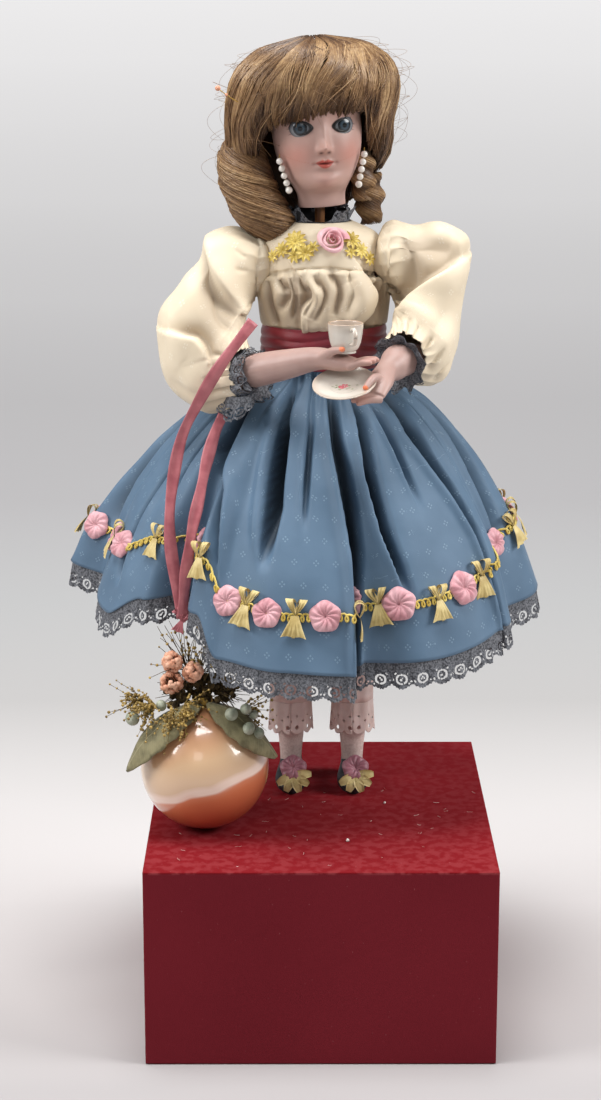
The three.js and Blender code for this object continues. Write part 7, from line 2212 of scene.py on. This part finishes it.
def wig():
    wig_cap()
    for name, low, high, count, seed in (
        ("wig_bangs_right", -52, 2, 1750, 1),
        ("wig_bangs_left", -2, 50, 1750, 11),
        ("wig_left_side", 44, 130, 1550, 2),
        ("wig_right_side", -130, -48, 1550, 3),
    ):
        hair_piece(name, *combed(count, low, high, seed), 0.36, seed)
    hair_piece("wig_back", *combed_back(1300, 4), 0.45, 4)
    roll_core()
    hair_piece("wig_roll", *rolled(1800, 5), 0.37, 6)
    hair_piece("wig_roll_tail", *ringlet((-34, 8), 337, 354, 14, 16, 620, 9), 0.36, 9)
    hair_piece("wig_ringlet_front", *ringlet((27, 10), 361, 388, 9, 12, 560, 7), 0.36, 7)
    hair_piece("wig_ringlet_back", *ringlet((31, 14), 346, 374, 10, 13, 560, 8), 0.36, 8)
    flyaways()
    pin_line = path_through([(-47, -14, 425), (-54, -16, 430), (-58.5, -17, 434)], 8)
    strands("wig_pin", lean([pin_line]), 0.3, BRASS, "head", sides=6)
    bead = [(lean(pin_line[-1]), (0, -1, 0), (0, 0, 1), 0.7), (lean(pin_line[4]), (0, -1, 0), (0, 0, 1), 0.4)]
    strewn("wig_pin_bead", ball_pattern(2.3, 3, (1, 1, 1.25)), bead, FLOWER, "head")


def combed_back(count, seed):
    source = np.random.default_rng(seed)
    points, tints = combed(count, 124, 180, seed)
    other, other_tints = combed(count, -180, -124, seed + 40)
    half = source.permutation(count)[: count // 2]
    return np.concatenate([points[half], other[half]]), np.concatenate([tints[half], other_tints[half]])


# Ornament


def lathe_piece(name, outline, finish, centre, nodes=(), sides=64, body="base"):
    where = np.linspace(0, len(outline) - 1, 4 * (len(outline) - 1) + 1)
    outline = eased(where, np.arange(len(outline)), outline)
    piece = faces_outward(loft(name, turned_rings(outline, sides) + np.asarray(centre), finish, body))
    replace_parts(piece, *nodes)
    return piece


def ornament_ball():
    angles = np.linspace(0.09, pi - 0.005, 34)
    outline = [(3.2, ORNAMENT_RADIUS + 4.2), (3.2, ORNAMENT_RADIUS + 2.0)]
    outline += [(ORNAMENT_RADIUS * sin(angle), ORNAMENT_RADIUS * cos(angle)) for angle in angles]
    lathe_piece("glass_ball", outline, GLASS, ORNAMENT_CENTRE, ["ornament_ball"], 96)
    cap = [
        (0.4, 43.4), (3.6, 43.3), (5.0, 42.6), (5.2, 39.6),
        (5.6, 38.4), (4.8, 38.4), (4.7, 42.0), (0.4, 42.6),
    ]
    lathe_piece("ball_cap", cap, BRASS, ORNAMENT_CENTRE, ["ornament_cap"], 40)


def sage_leaf(name, points, half_width):
    """One pressed leaf along a line, cupped across and turned down at its tip."""
    points = path_through(points, 22)
    share = np.linspace(0, 1, 22)[:, None]
    across_share = np.linspace(-1, 1, 13)[None]
    along = unit(np.gradient(points, axis=0))
    out = unit(points - ORNAMENT_CENTRE)
    side = unit(np.cross(along, out))
    half = half_width * np.sin(pi * np.clip(share * 0.93 + 0.05, 0, 1)) ** 0.75
    edge = half * (1 + 0.04 * np.sin(share * 34))
    offset = across_share * edge
    curl = -0.035 * offset**2 + 0.6 * np.sin(share * 9 + across_share * 3)
    grid = points[:, None] + side[:, None] * offset[..., None] + out[:, None] * curl[..., None]
    cloth = np.stack([offset, np.broadcast_to(share * path_length(points), offset.shape)], -1)
    piece = surface(name, grid, LEAF, closed=False, cloth=cloth)
    thicken(piece, LEAF_CLOTH)
    return piece


def tufts(name, anchors, count, reach, thick, finish, seed, droop=0.0):
    """Short crooked stems that spring from the anchors."""
    source = np.random.default_rng(seed)
    lines = []
    for _ in range(count):
        anchor, way = anchors[source.integers(len(anchors))]
        way = unit(np.asarray(way, float) + source.normal(scale=0.5, size=3))
        length = reach * source.uniform(0.5, 1.15)
        share = np.linspace(0, 1, 7)[:, None]
        bend = source.normal(scale=0.25, size=3)
        line = np.asarray(anchor) + way * length * share + bend * length * share**2
        line[:, 2] -= droop * length * share[:, 0] ** 2
        lines.append(line + source.normal(scale=0.25, size=line.shape) * share)
    strands(name, lines, thick * np.linspace(1, 0.5, 7), finish)
    return lines


def ornament_spray():
    """Leaves, dry moss, seed heads, pale berries and three paper flowers bound over the ball's neck."""
    source = np.random.default_rng(21)
    left_line = [(-71, -92, 79), (-86, -103, 75), (-101, -107, 62), (-113, -106, 42)]
    left = sage_leaf("sage_leaf_left", left_line, 12.5)
    sage_leaf("sage_leaf_right", [(-65, -92, 79), (-52, -101, 76), (-38, -103, 64), (-26, -100, 48)], 12.5)
    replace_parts(left, "ornament_spray")
    moss_spots = []
    for _ in range(150):
        share = source.uniform(0, 1)
        point = blended(np.array([-88, -86, 82]), np.array([-54, -84, 84]), share)
        point = point + source.normal(scale=(3.5, 4, 3.8))
        point[2] += 9 * sin(pi * share) * source.uniform(-0.2, 1)
        moss_spots.append((point, source.normal(size=3), (0.1, 0, 1), source.uniform(0.5, 1.1)))
    strewn("spray_moss", ball_pattern(2.6, 2, (1, 1, 0.7)), moss_spots, MOSS)
    anchors = [
        ((-70, -86, 84), (0, -0.3, 1)),
        ((-80, -88, 84), (-0.8, -0.4, 0.5)),
        ((-60, -88, 84), (0.9, -0.3, 0.3)),
    ]
    tufts("spray_moss_stems", anchors, 240, 15, 0.36, MOSS, 22)
    up = [((-72, -85, 92), (0.15, -0.1, 1)), ((-78, -84, 96), (-0.1, 0, 1))]
    tips = tufts("spray_upright_stems", up, 46, 27, 0.34, MOSS, 23)
    low = [
        ((-86, -108, 80), (-0.1, -0.6, -0.5)),
        ((-96, -100, 80), (-0.8, -0.4, 0.1)),
        ((-79, -104, 82), (0.3, -0.6, -0.3)),
    ]
    low_tips = tufts("spray_seed_stems", low, 110, 15, 0.25, SEED, 24, 0.4)
    side = [((-104, -92, 80), (-1, -0.1, 0.25)), ((-46, -90, 74), (1, -0.2, -0.1))]
    side_tips = tufts("spray_side_stems", side, 60, 15, 0.28, MOSS, 25, 0.1)
    seeds = []
    for lines, share in ((tips, 0.5), (low_tips, 1.0), (side_tips, 0.8)):
        for line in lines:
            for spot in line[3:]:
                if source.uniform() < share:
                    seeds.append((spot, source.normal(size=3), (0, 0.1, 1), source.uniform(0.6, 1.2)))
    strewn("spray_seeds", ball_pattern(0.95, 1), seeds, SEED)
    berries = [
        ((-110, -97, 71), (-0.9, 0, -0.5), 1.35), ((-101, -99, 77), (-0.6, 0, 0.6), 1.1),
        ((-93, -99, 79.5), (0.9, 0, 0.3), 1.05), ((-52, -102, 75), (0.7, 0, -0.5), 1.3),
        ((-43.5, -101, 78), (0.3, 0, 1), 1.05), ((-42, -104, 67), (0.6, 0, -0.7), 1.25),
        ((-36, -102, 63.5), (1, 0, -0.1), 1.1), ((-39, -96, 73), (0, 0, 1), 0.9),
    ]
    places = [(point, (0, -1, 0.2), way, size) for point, way, size in berries]
    strewn("spray_berries", ball_pattern(4.1, 3, (0.78, 0.74, 1.15)), places, BERRY)
    blooms = (((-86.5, -92, 104), 7.0), ((-74.5, -93, 98), 7.0), ((-87, -94, 92), 8.0))
    for number, (centre, size) in enumerate(blooms):
        florets = []
        for _ in range(64):
            way = unit(source.normal(size=3))
            point = np.array(centre) + way * size * 0.72
            florets.append((point, way, (0.1, 0.2, 1), source.uniform(0.8, 1.2)))
        strewn(f"paper_flower_{number + 1}", ball_pattern(2.0, 1, (1, 1, 0.8)), florets, FLOWER)


# Ribbon


def ribbon_strip(route, width):
    """A flat satin ribbon along a route, facing forward and a little crimped across."""
    line = path_through(route, 90)
    along = unit(np.gradient(line, axis=0))
    facing = unit(np.array([0.2, -1, 0.2]))
    across = unit(np.cross(along, facing))
    out = unit(np.cross(across, along))
    shares = np.linspace(-0.5, 0.5, 7)
    stations = np.linspace(0, 1, len(line))
    narrow = width * (1 - 0.22 * np.sin(stations * 11 + 1) ** 2)
    crimp = 0.45 * np.cos(shares[None] * 2 * pi) * np.sin(stations * 9)[:, None]
    front = line[:, None] + across[:, None] * (narrow[:, None] * shares)[..., None]
    front = front + out[:, None] * (crimp + RIBBON_THICKNESS / 2)[..., None]
    return line, front


def ribbon():
    """The satin ribbon that hangs over her forearm, held by the ornament's stem at both ends."""
    made = []
    for name, route in (("satin_ribbon", RIBBON_ROUTE), ("satin_ribbon_return", RIBBON_RETURN)):
        line, grid = ribbon_strip(route, RIBBON_WIDTH)
        cloth = np.zeros((*grid.shape[:2], 2))
        piece = surface(name, grid, RIBBON, None, closed=False, cloth=cloth)
        plain_mesh(thicken(piece, RIBBON_CLOTH))
        made.append((piece, metres(line)))
    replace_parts(made[0][0], "ribbon")
    for piece, line in made:
        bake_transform(piece)
    knot = [
        ((-81, -86, 127), (0, -1, 0.3), (0.4, 0, 1), 0.62),
        ((-82, -85.5, 131), (0, -1, 0.1), (-0.7, 0, 1), 0.5),
    ]
    strewn("ribbon_knot", bow_pattern(), knot, RIBBON)


# Finishes for what stays as the frame has it


KEPT_FINISHES = {
    "box_carcass": WOOD, "base_board": WOOD, "movement_bedplate": IRON, "spring_barrel": BRASS,
    "winding_key": STEEL, "music_cylinder": BRASS, "music_comb": STEEL, "governor_fan": BRASS,
    "cam_shaft": STEEL,
    "lever_bracket": STEEL, "stop_lever": BRASS, "hip_block": WOOD, "torso": COMPOSITION,
    "shoulder_plate": COMPOSITION, "shoulder_axle": STEEL, "upper_arm_right": COMPOSITION,
    "upper_arm_left": COMPOSITION, "neck_block": STEM_WOOD,
}


def paint_kept_nodes():
    for drive in ("right_arm", "head_turn", "left_arm", "head_nod"):
        KEPT_FINISHES[drive + "_cam"] = BRASS
        KEPT_FINISHES[drive + "_lever"] = STEEL
        KEPT_FINISHES[drive + "_rod"] = STEEL
    for name, finish in KEPT_FINISHES.items():
        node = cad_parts[name]
        if not node.material_slots:
            node.data.materials.append(finish)
        for place in node.material_slots:
            place.link = "OBJECT"
            place.material = finish


# Camera, lights and floor


# Painted light and shade on the paper: its colour, graded by distance to stand in for the light that falls on
# it, and how much it glows, by metres behind the box's middle
FLOOR_LIT_TONES = {
    -0.147: (172, 168, 168), -0.028: (190, 185, 184), 0.131: (207, 202, 201), 0.285: (199, 195, 194),
    0.42: (191, 188, 187), 0.577: (179, 177, 176), 0.9: (185, 185, 185), 1.34: (196, 194, 195),
}
FLOOR_START = -0.15
FLOOR_SPAN = 1.5
FLOOR_FAR = 26.0
# At the sides and in front the paper is as pale as it is this far behind
FLOOR_BESIDE = 0.35
FLOOR_BEFORE = 0.6
FLOOR_PAINTED_GLOW = {1.34: 0.0, 1.98: 0.15, 2.97: 0.36, 4.75: 0.52, 7.63: 0.61, 12.4: 0.675, 25.0: 0.715}


def camera():
    view = bpy.data.cameras.new("camera")
    view.lens = 78.51
    view.sensor_width = 36
    view.clip_end = 200
    place = bpy.data.objects.new("camera", view)
    place.location = (-0.0138, -1.3898, 0.6286)
    place.rotation_euler = (radians(90 - 14.15), 0, radians(-0.093))
    bpy.context.scene.collection.objects.link(place)
    bpy.context.scene.camera = place


def lamp(name, place, target, size, power):
    light = bpy.data.lights.new(name, "AREA")
    light.shape = "RECTANGLE"
    light.size, light.size_y = size
    light.energy = power
    holder = bpy.data.objects.new(name, light)
    holder.location = place
    holder.rotation_euler = (Vector(target) - Vector(place)).to_track_quat("-Z", "Y").to_euler()
    bpy.context.scene.collection.objects.link(holder)


def floor():
    """A pale paper sweep that grows lighter far away, as the photograph's does."""
    made = Finish("pale_paper", 0.95)
    sideways, away, _ = made.parts(made.place)
    beside = made.minus(made.size(sideways), FLOOR_BESIDE)
    before = made.minus(-FLOOR_BEFORE, away)
    away = made.larger(made.larger(away, beside), before)
    tones = {(where - FLOOR_START) / FLOOR_SPAN: tone for where, tone in FLOOR_LIT_TONES.items()}
    made.colour(made.ramp(made.over(made.plus(away, -FLOOR_START), FLOOR_SPAN), tones))
    # Painted light: far off, the paper glows, though it is no lamp
    glow = {}
    for where, light in FLOOR_PAINTED_GLOW.items():
        glow[log(where, FLOOR_FAR)] = (light, 0.99 * light, 0.99 * light, 1)
    far = made.ramp(made.maths("LOGARITHM", made.larger(away, 1.0), FLOOR_FAR), glow)
    made.feed(made.shader.inputs["Emission Color"], far)
    made.shader.inputs["Emission Strength"].default_value = 1.0
    mesh = bpy.data.meshes.new("floor")
    reach = FLOOR_REACH * MM
    corners = [(-reach, -reach, 0), (reach, -reach, 0), (reach, reach, 0), (-reach, reach, 0)]
    mesh.from_pydata(corners, [], [(0, 1, 2, 3)])
    piece = new_piece("floor", mesh)
    mesh.materials.append(made.material)


def room_light():
    world = bpy.data.worlds.new("studio")
    bpy.context.scene.world = world
    world.use_nodes = True
    tree = world.node_tree
    seen = tree.nodes.new("ShaderNodeLightPath")
    plain = tree.nodes["Background"]
    plain.inputs["Color"].default_value = paint(246, 246, 248)
    plain.inputs["Strength"].default_value = 0.23
    shown = tree.nodes.new("ShaderNodeBackground")
    shown.inputs["Color"].default_value = paint(236, 233, 233)
    either = tree.nodes.new("ShaderNodeMath")
    either.operation = "MAXIMUM"
    mix = tree.nodes.new("ShaderNodeMixShader")
    tree.links.new(seen.outputs["Is Camera Ray"], either.inputs[0])
    tree.links.new(seen.outputs["Is Transmission Ray"], either.inputs[1])
    tree.links.new(either.outputs[0], mix.inputs[0])
    tree.links.new(plain.outputs[0], mix.inputs[1])
    tree.links.new(shown.outputs[0], mix.inputs[2])
    tree.links.new(mix.outputs[0], tree.nodes["World Output"].inputs["Surface"])
    lamp("top", (-0.15, -0.05, 2.3), (0, 0, 0.3), (1.1, 1.1), 44)
    lamp("left", (-1.7, -0.5, 1.5), (0, 0, 0.35), (0.9, 0.9), 28)
    lamp("right", (1.7, -0.4, 1.4), (0, 0, 0.35), (0.9, 0.9), 32)
    lamp("front", (-0.5, -2.2, 1.6), (0, 0, 0.35), (0.7, 0.7), 3)


# Putting it together


camera()
room_light()
floor()
ribbon()
paint_kept_nodes()
box_velvet()
lint()
for side in LEGS:
    leg(side)
    shoe(side)
shoe_trim()
for side in LEGS:
    pantalette(side)
skirt()
garland()
hem_lace()
bodice()
yoke_trim()
sash()
collar()
sleeve("right")
sleeve("left")
for side in ARMS:
    hand(side)
    cuff(side)
cuff_tail()
cup()
saucer()
head()
eye(-1, "right")
eye(1, "left")
lid_lines()
lashes()
earrings()
wig()
ornament_ball()
ornament_spray()

bpy.context.scene.view_settings.view_transform = "Standard"
